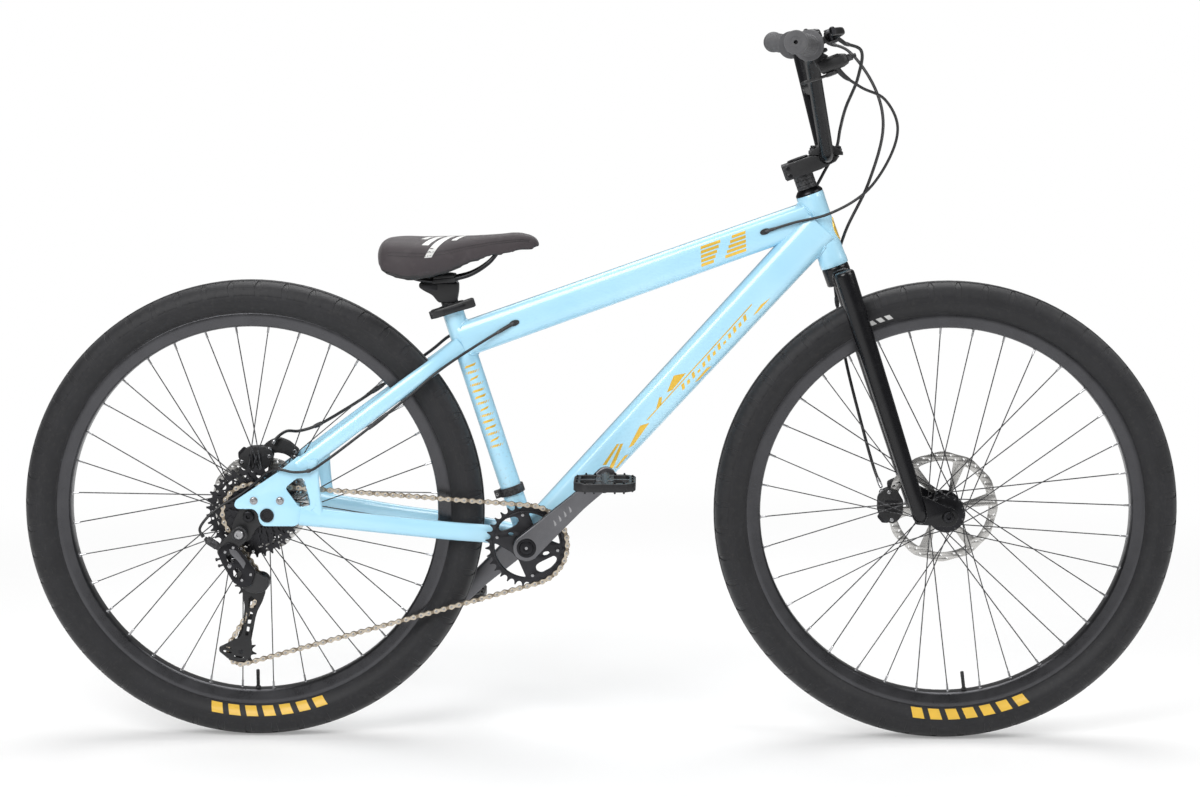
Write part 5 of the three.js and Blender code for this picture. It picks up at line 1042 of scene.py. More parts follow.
# Shifter under the right-hand grip
shifterPiece = Piece("shifter_pod", "steering", "black_plastic", onGrip(-1))
shifterPiece.add(spun([(11.5, 37), (14.9, 37), (15.5, 37.6), (15.5, 46.4), (14.9, 47), (11.5, 47)],
                      (0, 0, 0), (0, 1, 0), 44), matteBlack)
shifterPiece.add(loft([((0, 42, -11), 4.6, 9.5), ((2, 42, -18), 4.6, 10), ((6, 42, -26), 6, 12)], 28, 0.6,
                      (0, 1, 0)), matteBlack)
pod = [((-2.4, 42, -35), 8, 6.5), ((0, 42, -34.6), 11.4, 9.6), ((8, 42, -34), 12.8, 10.8),
       ((20, 42, -33.8), 12.9, 10.9), ((34, 42, -34), 12.2, 10.2), ((41, 42, -34.2), 9.6, 7.8),
       ((43, 42, -34.2), 7, 5.6)]
shifterPiece.add(loft(pod, 40, 0.62, (0, 1, 0)), plasticBlack)
shifterPiece.add(block((5, 33.5, -24.4), (32, 50.5, -22.8), 0.7), matteBlack)
for x, y in ((9, 36.5), (28, 47.5)):
    shifterPiece.add(boltHead((x, y, -23.0), (0, 0, 1), 1.5, 0.5, 14), boltSteel)
boot = smoothPath([(22, 44, -42), (25, 49.5, -50.5), (28.6, 55.6, -58.6), (31, 59.2, -62.1)], 5)
shifterPiece.add(tube(boot, [4.6 - 0.1 * i for i in range(len(boot))], 18), plasticBlack)
barrelSpot = Vector((42.5, 42, -34))
shifterPiece.add(spun([(0, 0), (4.6, 0), (5, 0.6), (5, 7), (4.4, 7.8), (3.4, 8), (3.2, 13.2), (2.3, 13.6),
                       (0, 13.6)], barrelSpot, (1, 0, 0), 24), plasticBlack)
knurl = block((0.4, -0.35, 4.8), (7.0, 0.35, 5.35), 0.12, 1)
for i in range(14):
    turn = Matrix.Translation(barrelSpot) @ Matrix.Rotation(2 * math.pi * i / 14, 4, "X")
    shifterPiece.add(moved(knurl, turn), plasticBlack)
shifterPiece.done("shifter")

paddle = Piece("shift_paddle", "shift_lever", "black_plastic", onGrip(-1))
pivotSpot = (12, 42, -45.3)
paddle.add(spun([(0, -5), (8.4, -5), (9, -4.4), (9, -0.5), (8.5, 0), (0, 0)], pivotSpot, (0, 0, 1), 36),
           plasticBlack)
paddle.add(boltHead((pivotSpot[0], pivotSpot[1], pivotSpot[2] - 5), (0, 0, -1), 3.2, 0.6, 18), boltSteel)
blade = [(0, 0, 5.4, 2.3), (-11, -4, 4.4, 2.2), (-22, -8.6, 4.8, 2.2), (-30, -14, 7.0, 2.3),
         (-36, -19.6, 8.8, 2.4), (-40, -23.8, 8.0, 2.2), (-42, -25.8, 5.0, 1.5)]
paddle.add(loft([(Vector((pivotSpot[0] + x, pivotSpot[1] + y, pivotSpot[2] - 2.5)), wide, deep)
                 for x, y, wide, deep in blade], 28, 0.72, (0.4, -1, 0), 3), plasticBlack)
paddle.done("shift_lever")
print("controls made")

# Wheels. The rear one has room for the cassette; the front disc is larger
wheel = {"radius": 370, "inner": 295, "spokes": 36, "cross": 3, "spokeCircle": 27, "panels": 52,
         "steps": 144}
hubs = {
    "front": {"centre": frontAxle, "half": 54.7, "right": 30, "left": 24, "disc": 40, "discRadius": 90,
              "valve": 7},
    "rear": {"centre": rearAxle, "half": 67.5, "right": 18, "left": 34, "disc": 52, "discRadius": 80,
             "valve": 0},
}


def tyreProfile():  # from one bead over the tread to the other
    side = [(309, 12.2), (311.5, 13.6), (316.5, 16.6), (321, 21.5), (327, 26.4), (334, 29.9), (341, 30.9),
            (348, 30.0), (354.5, 27.6), (359.5, 24.2), (363.2, 19.2), (365.6, 13), (367, 6.5), (367.4, 0)]
    line = smoothPath([(r, y, 0) for r, y in side], 2)
    half = [(p.x, p.y) for p in line]
    return [(r, y) for r, y in half] + [(r, -y) for r, y in reversed(half[:-1])]


def treadPanel(side, half, lean):  # a smooth panel of the tread at angle zero, with grooves along both edges
    line = [(r, y, 0) for r, y in reversed(tyreProfile()) if y >= 0 and r > 343]
    path = [p for p in smoothPath(line, 2) if p.y > 8.4]
    rows = len(path) - 1
    verts = []
    for i, p in enumerate(path):
        share = i / rows
        before, after = path[max(i - 1, 0)], path[min(i + 1, rows)]
        normal = Vector((after.y - before.y, before.x - after.x, 0)).normalized()
        for j in range(8):
            edge = i in (0, rows) or j in (0, 7)
            lift = -0.5 if edge else 1.5 * (1 - share) + 0.35
            across = (-1, -0.93, -0.55, -0.2, 0.2, 0.55, 0.93, 1)[j]
            turn = (half * across + lean * math.sin(share * 2.6)) / wheel["radius"]
            reach = p.x + normal.x * lift
            verts.append(Vector((reach * math.cos(turn), side * (p.y + normal.y * lift),
                                 reach * math.sin(turn))))
    faces = [(i * 8 + j, i * 8 + j + 1, i * 8 + 9 + j, i * 8 + 8 + j) for i in range(rows) for j in range(7)]
    return verts, faces if side < 0 else [tuple(reversed(f)) for f in faces]


def wheelSpoke(sizes, way, index):  # one spoke with its bent head and its nipple, in the wheel's own frame
    perSide = wheel["spokes"] // 2
    swing = wheel["cross"] * 2 * math.pi / perSide
    turn = math.radians(sizes["valve"]) + math.pi / wheel["spokes"] - math.pi / 2
    start = turn + ((index + (0.5 if way > 0 else 0)) / perSide) * 2 * math.pi
    end = start + (-swing if index % 2 else swing)
    face = 1 if index % 2 else -1
    flangeY = (sizes["left"] if way > 0 else -sizes["right"]) + face * 1.9
    circleAt = wheel["spokeCircle"]
    hole = Vector((circleAt * math.cos(start), flangeY, circleAt * math.sin(start)))
    target = Vector((wheel["inner"] * math.cos(end), way * 4, wheel["inner"] * math.sin(end)))
    along = (target - hole).normalized()
    nippleFrom = target - along * 11
    rod = tube([hole - Vector((0, face * 3.6, 0)), hole - Vector((0, face * 1.2, 0)), hole + along * 1.4,
                hole + along * 12, nippleFrom], 0.95, 6)
    head = spun([(0, -1.2), (1.9, -0.9), (1.9, 0), (0, 0)], hole - Vector((0, face * 3.4, 0)),
                (0, face, 0), 8)
    nipple = tube([nippleFrom, nippleFrom + along * 2, nippleFrom + along * 2.1, target + along * 1.5],
                  [1.5, 1.9, 1.6, 1.9], 8)
    return merged(rod, head), nipple


def discOutline(radius, waves=12, depth=1.1, steps=144):
    line = []
    for a in ringAngles(steps):
        reach = radius - depth + depth * math.cos(waves * a)
        line.append(polar(reach, a))
    return line


def arcWindow(inner, outer, middle, half, steps=8, lean=0.0):
    line = []
    for i in range(steps + 1):
        a = middle - half + 2 * half * i / steps
        line.append(polar(inner, a))
    for i in range(steps + 1):
        a = middle + half - 2 * half * i / steps + lean
        line.append(polar(outer, a))
    return line


def discShape(sizes):
    radius, y = sizes["discRadius"], sizes["disc"]
    windows = []
    inner, track = 27, radius - 15
    for arm in range(6):
        middle = (arm + 0.5) * math.pi / 3
        half = math.pi / 6 - 5.2 / 40
        windows.append(rounded(arcWindow(inner, track, middle, half, 8, 0.16), 4))
    for a in ringAngles(24):
        for shift, place in ((0.0, radius - 10.6), (0.11, radius - 5.4)):
            centre = Vector((place * math.cos(a + shift), place * math.sin(a + shift)))
            long = Vector((math.cos(a + shift + 0.8), math.sin(a + shift + 0.8)))
            wide = Vector((-long.y, long.x))
            windows.append([tuple(centre + long * (2.2 * math.cos(t)) + wide * (1.25 * math.sin(t)))
                            for t in ringAngles(10)])
    return plate([discOutline(radius)] + windows + [circle(0, 0, 17.2, 40)], y - 0.9, y + 0.9, 0.15, 1)


for end in ("front", "rear"):
    sizes = hubs[end]
    centre = sizes["centre"]
    body = end + "_wheel"
    here = Matrix.Translation(centre)
    # Tyre
    tyre = Piece(end + "_tyre_cover", body, "tyre_rubber")
    tyre.add(spun(tyreProfile(), centre, (0, 1, 0), wheel["steps"]), tyreRubber)
    for side in (-1, 1):
        for half, lean, start in ((12.2, 4.5, 0.0), (8.6, -3.5, 0.5)):
            panel = treadPanel(side, half, lean)
            tyre.add(repeated(panel, ringSpots(centre, wheel["panels"],
                                               (start + 0.035) * 2 * math.pi / wheel["panels"]),
                              tyreRubber), tyreRubber)
        tyre.add(spun([(366.2, side * 0.7), (369.3, side * 1.0), (369.5, side * 2.2), (369.0, side * 6.6),
                       (368.4, side * 7.4), (365.8, side * 7.7)], centre, (0, 1, 0), wheel["steps"]),
                 tyreRubber)
        for radius, y, proud in ((338.5, 30.6, 0.35), (318.2, 18.4, 0.7)):  # moulded lines round the wall
            tyre.add(spun([(radius + proud * 1.6 * math.cos(a), side * (y + proud * math.sin(a)))
                           for a in ringAngles(8)], centre, (0, 1, 0), wheel["steps"]), tyreRubber)
    tyre.done(end + "_tyre")
    # Rim with its valve
    rimPiece = Piece(end + "_rim_ring", body, "satin_black")
    rimProfile = [(295, 0), (295, 9), (295.8, 13), (298, 15.6), (303, 16.6), (310, 17.6), (315.5, 18.5),
                  (317, 18.1), (317, 16.2), (315.8, 15.8), (309, 15.9), (307.5, 13.5), (307.2, 9),
                  (305.5, 6), (305.5, 0)]
    whole = rimProfile + [(r, -y) for r, y in reversed(rimProfile[1:-1])]
    rimPiece.add(spun(whole, centre, (0, 1, 0), wheel["steps"]), rimBlack)
    eyelet = spun([(0, 0), (4.0, 0), (3.6, -1.2), (2.2, -1.6), (0, -1.6)], (295.6, 0, 0), (1, 0, 0), 10)
    eyelets = []
    for k in range(wheel["spokes"]):
        a = math.radians(sizes["valve"]) + math.pi / wheel["spokes"] - math.pi / 2
        a += 2 * math.pi * k / wheel["spokes"]
        eyelets.append((centre + Vector((0, 4 if k % 2 else -4, 0)), (0, -a, 0), 1.0))
    rimPiece.add(repeated(eyelet, eyelets, boltSteel), boltSteel)
    down = Vector((math.sin(math.radians(sizes["valve"])), 0, -math.cos(math.radians(sizes["valve"]))))
    valve = spun([(0, 0), (4.2, 0), (4.2, 2.6), (3.4, 3.2), (2.7, 3.4), (2.7, 20), (2.9, 20.4),
                  (2.9, 29.2), (2.2, 30), (0, 30)], centre + down * 294.6, -down, 20)
    rimPiece.add(valve, matteBlack)
    for k in range(12):
        rimPiece.add(spun([(2.6, 0), (2.95, 0.35), (2.6, 0.7)], centre + down * (289 - k * 1.1), -down, 14,
                          closed=False), matteBlack)
    rimPiece.done(end + "_rim")
    # Hub and spokes
    hubPiece = Piece(end + "_hub_shell", body, "satin_black")
    right, left, half = sizes["right"], sizes["left"], sizes["half"]
    profile = [(5.3, -half), (8.2, -half), (8.8, -half + 0.8), (9, -right - 7), (11, -right - 5),
               (17, -right - 3), (26, -right - 1.7), (29.4, -right - 1.5), (30, -right - 0.9),
               (30, -right + 0.9), (29.4, -right + 1.5), (24, -right + 1.9), (17, -right + 4),
               (14, -right + 7), (13, -right + 11), (12.6, 0)]
    if end == "rear":
        profile = [(5.3, -24), (21.4, -24), (22, -23.4), (22, -21.4), (26, -19.8)] + profile[7:]
    profile += [(13, left - 11), (14, left - 7), (17, left - 4), (24, left - 1.9), (29.4, left - 1.5),
                (30, left - 0.9), (30, left + 0.9), (29.4, left + 1.5), (24, left + 2), (22, left + 5),
                (22, sizes["disc"] - 1.5), (21.5, sizes["disc"] - 1.2), (16.8, sizes["disc"] - 1.2),
                (16.5, sizes["disc"] + 1.6), (9.4, sizes["disc"] + 5), (9, half - 0.8), (8.2, half),
                (5.3, half)]
    hubPiece.add(spun(profile, centre, (0, 1, 0), 72), anodised)
    for way in (-1, 1):
        for index in (0, 1):
            rod, nipple = wheelSpoke(sizes, way, index)
            spots = ringSpots(centre, wheel["spokes"] // 4)
            hubPiece.add(repeated(rod, spots, satinBlack), satinBlack)
            hubPiece.add(repeated(nipple, spots, boltSteel), boltSteel)
    hubPiece.done(end + "_hub_and_spokes")
    # Brake disc
    disc = Piece(end + "_disc_rotor", body, "disc_steel")
    disc.add(moved(discShape(sizes), here), steelBright)
    carrier = spun([(17.3, 0.9), (25.5, 0.9), (26, 1.3), (25.4, 1.9), (18, 1.9), (17.3, 1.5)],
                   centre + Vector((0, sizes["disc"], 0)), (0, 1, 0), 48)
    disc.add(carrier, ringBlack)
    discBolt = boltHead((22, sizes["disc"] + 2.4, 0), (0, 1, 0), 3.2, 1.5, 12)
    disc.add(repeated(discBolt, ringSpots(centre, 6), boltBlack), boltBlack)
    disc.done(end + "_brake_disc")
    print(end, "wheel made")

# Chain line: each wheel of the drive in the order in which the chain runs, seen from the drive side
drive = {"pitch": 12.7, "plane": -43, "teethInUse": 23, "chainringTeeth": 32, "pulleyTeeth": 11,
         "guide": (-557, 256), "tension": (-573, 146), "pivot": (-537, 263), "hanger": (-567, 343)}
guideCentre = Vector((drive["guide"][0], 0, drive["guide"][1]))
tensionCentre = Vector((drive["tension"][0], 0, drive["tension"][1]))
wheels = [(rearAxle, drive["teethInUse"], 1), (crankCentre, drive["chainringTeeth"], 1),
          (tensionCentre, drive["pulleyTeeth"], 1), (guideCentre, drive["pulleyTeeth"], -1)]


def chainRuns(pitch):  # arcs round the wheels and the straight runs between them
    headings = []
    for i, (centre, teeth, sense) in enumerate(wheels):
        there, thereTeeth, thereSense = wheels[(i + 1) % len(wheels)]
        span = math.hypot(there.x - centre.x, there.z - centre.z)
        lean = (sense * teeth - thereSense * thereTeeth) * pitch / (2 * math.pi)
        headings.append((math.atan2(there.z - centre.z, there.x - centre.x) - math.asin(lean / span),
                         math.sqrt(span ** 2 - lean ** 2)))
    travelled, runs = 0, []
    for i, (centre, teeth, sense) in enumerate(wheels):
        radius = teeth * pitch / (2 * math.pi)
        arriving, leaving = headings[i - 1][0], headings[i][0]
        turn = ((arriving - leaving) * sense) % (2 * math.pi)
        facing = arriving + sense * math.pi / 2
        runs.append((travelled, centre, radius, facing, sense))
        travelled += turn * radius
        out = leaving + sense * math.pi / 2
        runs.append((travelled, centre.x + radius * math.cos(out), centre.z + radius * math.sin(out),
                     leaving, 0))
        travelled += headings[i][1]
    return runs, travelled


chainPitch = drive["pitch"]
chainPath, chainLength = chainRuns(chainPitch)
linkCount = 2 * round(chainLength / chainPitch / 2)
for _ in range(12):
    chainPitch = chainLength / linkCount
    chainPath, chainLength = chainRuns(chainPitch)


def chainPoint(distance):
    run = [r for r in chainPath if r[0] <= distance][-1]
    along = distance - run[0]
    if run[4] == 0:
        return Vector((run[1] + along * math.cos(run[3]), 0, run[2] + along * math.sin(run[3])))
    angle = run[3] - run[4] * along / run[2]
    return Vector((run[1].x + run[2] * math.cos(angle), 0, run[1].z + run[2] * math.sin(angle)))


def rollerAngle(index):  # where a roller stands on a wheel, so that its teeth come between the rollers
    start, centre, radius, facing, sense = chainPath[2 * index]
    first = math.ceil(start / chainPitch) * chainPitch - start
    return facing - sense * first / radius


def toothed(teeth, phase, centre, tip=3.0, root=4.3, flat=0.9, bowl=5):  # outline of a wheel for the chain
    radius = teeth * chainPitch / (2 * math.pi)
    line = []
    for tooth in range(teeth):
        roller = phase + tooth / teeth * 2 * math.pi
        between = roller + math.pi / teeth
        base = Vector((math.cos(roller), math.sin(roller))) * radius
        out = Vector((math.cos(roller), math.sin(roller)))
        side = Vector((-out.y, out.x))
        for i in range(bowl):
            a = (-1 + 2 * i / (bowl - 1)) * 1.15
            spot = base - out * (root * math.cos(a)) + side * (root * math.sin(a))
            line.append((centre[0] + spot.x, centre[1] + spot.y))
        high = radius + tip
        for way in (-1, 1):
            a = between + way * flat / high
            line.append((centre[0] + high * math.cos(a), centre[1] + high * math.sin(a)))
    return line


def turnedHole(points, centre, angle=0.0):
    c, n = math.cos(angle), math.sin(angle)
    return [(centre.x + x * c - z * n, centre.z + x * n + z * c) for x, z in points]


# Chain: inner and outer links, repeated along the chain line
link = {"height": 4.25, "waist": 1.9, "innerFrom": 1.35, "innerTo": 2.15, "outerFrom": 2.3,
        "outerTo": 3.05, "roller": 3.8, "pin": 1.9, "pinReach": 3.4}


def linkPlate(low, high, radius, waist):
    half = chainPitch / 2
    line = []
    for way in (1, -1):
        for i in range(9):
            a = -math.radians(118) + math.radians(236) * i / 8
            line.append((way * (half + radius * math.cos(a)), way * radius * math.sin(a)))
        line.append((0, way * waist))
    shapes = []
    for side in (-1, 1):
        verts, faces = flatShape([line], high - low, 0.14, 0)
        shapes.append(([Vector((v.x, side * (low + high) / 2 - v.z, v.y)) for v in verts], faces))
    return merged(*shapes)


def pinAt(x, radius, reach, steps):
    return spun([(0, -reach), (radius * 0.75, -reach), (radius, -reach + 0.25), (radius, reach - 0.25),
                 (radius * 0.75, reach), (0, reach)], (x, 0, 0), (0, 1, 0), steps)


halfPitch = chainPitch / 2
innerPlates = linkPlate(link["innerFrom"], link["innerTo"], link["height"], link["waist"])
innerRollers = merged(pinAt(-halfPitch, link["roller"], link["innerFrom"] - 0.02, 16),
                      pinAt(halfPitch, link["roller"], link["innerFrom"] - 0.02, 16))
outerPlates = linkPlate(link["outerFrom"], link["outerTo"], link["height"] - 0.1, link["waist"])
outerPins = merged(pinAt(-halfPitch, link["pin"], link["pinReach"], 12),
                   pinAt(halfPitch, link["pin"], link["pinReach"], 12))
spots = {"upper": ([], []), "lower": ([], [])}
for i in range(linkCount):
    a, b = chainPoint(i * chainPitch), chainPoint(((i + 1) % linkCount) * chainPitch)
    middle = (a + b) / 2
    stretch = "lower" if chainPath[3][0] < (i + 0.5) * chainPitch < chainPath[4][0] else "upper"
    spots[stretch][i % 2].append(((middle.x, drive["plane"], middle.z),
                                  (0, -math.atan2(b.z - a.z, b.x - a.x), 0), 1.0))
for stretch, (outerSpots, innerSpots) in spots.items():
    chainPiece = Piece("chain_links" if stretch == "upper" else "chain_lower_links", None, "chain_steel")
    for shape, places, finish in ((innerPlates, innerSpots, chainShade),
                                  (outerPlates, outerSpots, chainSteel),
                                  (innerRollers, innerSpots, boltBlack),
                                  (outerPins, outerSpots, boltSteel)):
        chainPiece.add(repeated(shape, places, finish), finish)
    chainObject = chainPiece.done(*(["chain"] if stretch == "upper" else []), merge=0.000001, sharp=35)
    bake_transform(chainObject)
print("chain made,", linkCount, "links")

# Cassette
cassette = {"teeth": (36, 30, 26, 23, 20, 17, 15, 13, 11), "inUse": 3, "spacing": 4.34, "wall": 1.8,
            "core": 17.3, "holeSize": 2.1, "rivet": 1.5}
cogs = Piece("cassette_cogs", "cassette", "satin_black")
for i, teeth in enumerate(cassette["teeth"]):
    plane = drive["plane"] - (i - cassette["inUse"]) * cassette["spacing"]
    phase = rollerAngle(0) if i == cassette["inUse"] else i * 0.11
    radius = teeth * chainPitch / (2 * math.pi)
    outlines = [toothed(teeth, phase, (rearAxle.x, rearAxle.z), tip=2.3, flat=1.3),
                circle(rearAxle.x, rearAxle.z, cassette["core"] - 0.6, 40)]
    if i < 3:
        row = radius - (7.4 if i == 0 else 6.1)
        count = teeth // 2
        for k in range(count):
            a = 2 * math.pi * (k + 0.5) / count + 0.2 * i
            size = cassette["holeSize"] if i == 0 else 1.25
            outlines.append(circle(*polar(row, a, rearAxle), size, 10))
    if i == 0:
        arms, low, high = 6, 27, radius - 12.5
        for k in range(arms):  # lightening windows between the spider's arms
            hole = []
            for way in (1, -1):
                reach = high if way > 0 else low
                half = math.pi / arms - 5 / reach
                for step in range(6):
                    a = 2 * math.pi * k / arms + way * half * (-1 + 2 * step / 5)
                    hole.append(polar(reach, a, rearAxle))
            outlines.append(rounded(hole, 3, 2))
    cogs.add(plate(outlines, plane - cassette["wall"] / 2, plane + cassette["wall"] / 2, 0.22, 0), ringBlack)
    if i == 0:
        reach = cassette["teeth"][1] * chainPitch / (2 * math.pi) + 4.2
        rivets = [((rearAxle.x + reach * math.cos(a), plane - cassette["wall"] / 2,
                    rearAxle.z + reach * math.sin(a)), (0, 0, 0), 1.0) for a in ringAngles(8)]
        head = spun([(0, -0.7), (0.8, -0.6), (cassette["rivet"], -0.1), (cassette["rivet"], 0.3),
                     (0, 0.3)], (0, 0, 0), (0, 1, 0), 12)
        cogs.add(repeated(head, rivets, boltSteel), boltSteel)
lastPlane = drive["plane"] - (len(cassette["teeth"]) - 1 - cassette["inUse"]) * cassette["spacing"]
cogs.add(spun([(6.5, -24.4), (17.2, -24.4), (17.2, lastPlane + 1.4), (14, lastPlane - 1.0),
               (10.2, lastPlane - 1.2), (10.2, -66.8), (9.6, -67.4), (6.5, -67.4)], rearAxle, (0, 1, 0),
              48), ringBlack)
for k in range(len(cassette["teeth"]) - 1):  # spacers between the cogs
    middle = drive["plane"] - (k + 0.5 - cassette["inUse"]) * cassette["spacing"]
    cogs.add(pipe(17.2, 19.6, middle - 1.2, middle + 1.2, rearAxle, (0, 1, 0), 40), plasticBlack)
cogs.add(spun([(10.2, lastPlane - 1.1), (15.2, lastPlane - 1.1), (15.6, lastPlane - 1.6),
               (15.2, lastPlane - 2.5), (11, lastPlane - 2.7), (10.2, lastPlane - 2.2)], rearAxle,
              (0, 1, 0), 48), anodised)
cogs.done("cassette")
print("cassette made")

# Chainring with its arms, and the cranks
ring = {"wall": 2.0, "boltRadius": 49.4, "bolts": (98, 165, 280, 351), "spiderFrom": -44.1,
        "spiderTo": -47.6}
ringPiece = Piece("chainring_and_arms", "crankset", "satin_black")
pairWindows = [
    [(-45, 26), (-43.6, 34), (-33, 43), (-18, 46.5), (-12.5, 41), (-16, 33.5), (-30, 25.5), (-42, 22.5)],
    [(13.4, -33), (19.8, -27.7), (43, -16.5), (47.6, -20.5), (46, -27), (37.8, -36.3), (22.4, -44.6),
     (14.5, -41)],
    [(-30.6, 18.4), (-28, 21.2), (-22, 20), (-21, 17), (-24, 15.6), (-29, 16)],
    [(24.4, -14.2), (27, -10.4), (34, -9.6), (36, -12.4), (32, -16), (26, -16.6)],
]


def wideWindow(startDegrees, endDegrees):
    rim = [polar(52, math.radians(a))
           for a in (startDegrees + (endDegrees - startDegrees) * i / 12 for i in range(13))]
    middle = math.radians((startDegrees + endDegrees) / 2)
    return rim + [polar(27, middle + 0.28), polar(27, middle - 0.28)]


holes = [rounded(turnedHole(w, crankCentre), 4, 3) for w in pairWindows
         + [wideWindow(176, 268), wideWindow(2, 87)]]
boltSpots = [polar(ring["boltRadius"], math.radians(a), crankCentre) for a in ring["bolts"]]
outer = toothed(drive["chainringTeeth"], rollerAngle(1), (crankCentre.x, crankCentre.z), tip=3.0, flat=0.8)
half = ring["wall"] / 2
ringPiece.add(plate([outer] + holes + [circle(crankCentre.x, crankCentre.z, 15.6, 40)],
                    drive["plane"] - half, drive["plane"] + half, 0.3, 1), ringBlack)
spiderEdge = [polar(55.4, math.radians(a)) for a in range(0, 360, 4)]
ringPiece.add(plate([turnedHole(spiderEdge, crankCentre)] + holes
                    + [circle(crankCentre.x, crankCentre.z, 15.6, 40)], ring["spiderTo"],
                    ring["spiderFrom"], 0.9, 2), ringBlack)
ringPiece.add(spun([(15.5, -43.2), (22, -43.2), (22, -49.2), (21.2, -50), (15.5, -50)], crankCentre,
                   (0, 1, 0), 48), ringBlack)
for x, z in boltSpots:
    ringPiece.add(boltHead((x, -47.4, z), (0, -1, 0), 4.6, 1.0), ringBlack)
    ringPiece.add(spun([(0, 0), (2.6, 0), (2.6, 0.6), (1.6, 0.8), (0, 0.5)], (x, -48.0, z), (0, -1, 0), 6),
                  boltSteel)
    ringPiece.add(spun([(0, 0), (4.2, 0), (4.2, 1.6), (3.6, 2), (0, 2)], (x, -42.1, z), (0, 1, 0), 20),
                  boltBlack)
ringPiece.done("chainring")

crank = {"length": 170, "angle": 42.5, "bossRadius": 21.5, "tipRadius": 16.2, "bossPlane": 63,
         "tipPlane": 73, "bossHalf": 8.5, "tipHalf": 6.5, "waistHalf": 14.6, "corner": 3.2}
crankAhead = Vector((math.cos(math.radians(crank["angle"])), 0, math.sin(math.radians(crank["angle"]))))


def armPlaneAndHalf(along):  # how far out the arm's middle is, and half its thickness
    share = max(0.0, min(1.0, (along - 21) / (crank["length"] - 36)))
    ease = share * share * (3 - 2 * share)
    return lerp(crank["bossPlane"], crank["tipPlane"], ease), lerp(crank["bossHalf"], crank["tipHalf"], ease)


def armShape(way):
    ahead = crankAhead * -way
    side = Vector((-ahead.z, 0, ahead.x))
    rings = []
    marks = []
    for i in range(13):
        a = math.radians(4 + 86 * i / 12)
        marks.append((-crank["bossRadius"] * math.cos(a), crank["bossRadius"] * math.sin(a)))
    for i in range(1, 17):
        s = i / 17
        wide = lerp(crank["bossRadius"], crank["waistHalf"], min(1, s * 1.5) ** 0.9)
        wide = lerp(wide, crank["tipRadius"], max(0, (s - 0.62) / 0.38) ** 1.3)
        marks.append((s * crank["length"], wide))
    for i in range(13):
        a = math.radians(90 * i / 12.4)
        marks.append((crank["length"] + crank["tipRadius"] * math.sin(a), crank["tipRadius"] * math.cos(a)))
    for along, wide in marks:
        plane, deep = armPlaneAndHalf(along)
        corner = min(crank["corner"], wide * 0.9)
        section = rounded([(-wide, -deep), (wide, -deep), (wide, deep), (-wide, deep)], corner, 4)
        rings.append([crankCentre + ahead * along + side * u + Vector((0, way * (plane + v), 0))
                      for u, v in section])
    return skin(rings)


for way, name in ((-1, "right"), (1, "left")):
    arm = Piece(name + "_crank_arm", "crankset", "crank_grey")
    arm.add(armShape(way), crankGrey)
    ahead = crankAhead * -way
    out = Vector((0, way, 0))
    foot = crankCentre + ahead * crank["length"]
    # end cap of the spindle, pedal axle and its flats
    arm.add(spun([(0, 71.2), (15.6, 71.2), (15.6, 71.7), (14.6, 72.1), (13.2, 72.1), (12.9, 71.8),
                  (11.4, 71.8), (11, 72.4), (10, 73.4), (8.4, 73.7), (5.2, 73.7), (4.8, 72.6), (0, 72.6)],
                 crankCentre, out, 48), anodised)
    arm.add(spun([(0, 72.5), (2.2, 72.5), (2.4, 73.2), (0, 73.4)], crankCentre, out, 12), boltSteel)
    arm.add(spun([(0, 66), (8.6, 66), (8.6, 80.2), (8, 80.8), (6, 81), (6, 160.6), (5.2, 161), (0, 161)],
                 foot, out, 32), boltSteel)
    arm.add(pipe(6, 8.3, 81, 87, foot, out, 6), boltSteel)
    if way < 0:
        arm.add(pipe(12.2, 15, 41.4, 56, crankCentre, out, 40), boltBlack)
        arm.add(peg(11.9, -62, 62, crankCentre, out, 40), steelBright)
    else:
        arm.add(pipe(12.4, 17, 41.4, 56, crankCentre, out, 40), crankGrey)
        for along in (-9, 9):
            spot = crankCentre + ahead * 13 + Vector((-ahead.z, 0, ahead.x)) * (21.2 if along > 0 else -21.2)
            arm.add(boltHead((spot.x, way * (63 + along * 0.45), spot.z),
                             (spot - crankCentre - ahead * 13).normalized(), 2.8, 0.8, 18), boltBlack)
    if way < 0:
        for k in range(4):  # plain slanted bars along the face
            along = 62 + k * 11
            side = Vector((-ahead.z, 0, ahead.x))
            face = sum(armPlaneAndHalf(along)) + 0.05
            corners = [(-5, -4.5), (-1.4, -4.5), (3.8, 4.5), (0.2, 4.5)]
            verts = [crankCentre + ahead * (along + u) + side * v - acrossAxis * face for u, v in corners]
            arm.add((verts, [(0, 1, 2, 3)]), greyPrint)
    arm.done(name + "_crank", sharp=32)
print("cranks made")

# Pedals
pedal = {"half": 48, "width": 98, "railWide": 10, "deep": 6.6, "corner": 16, "start": 88.6, "pin": 1.5}


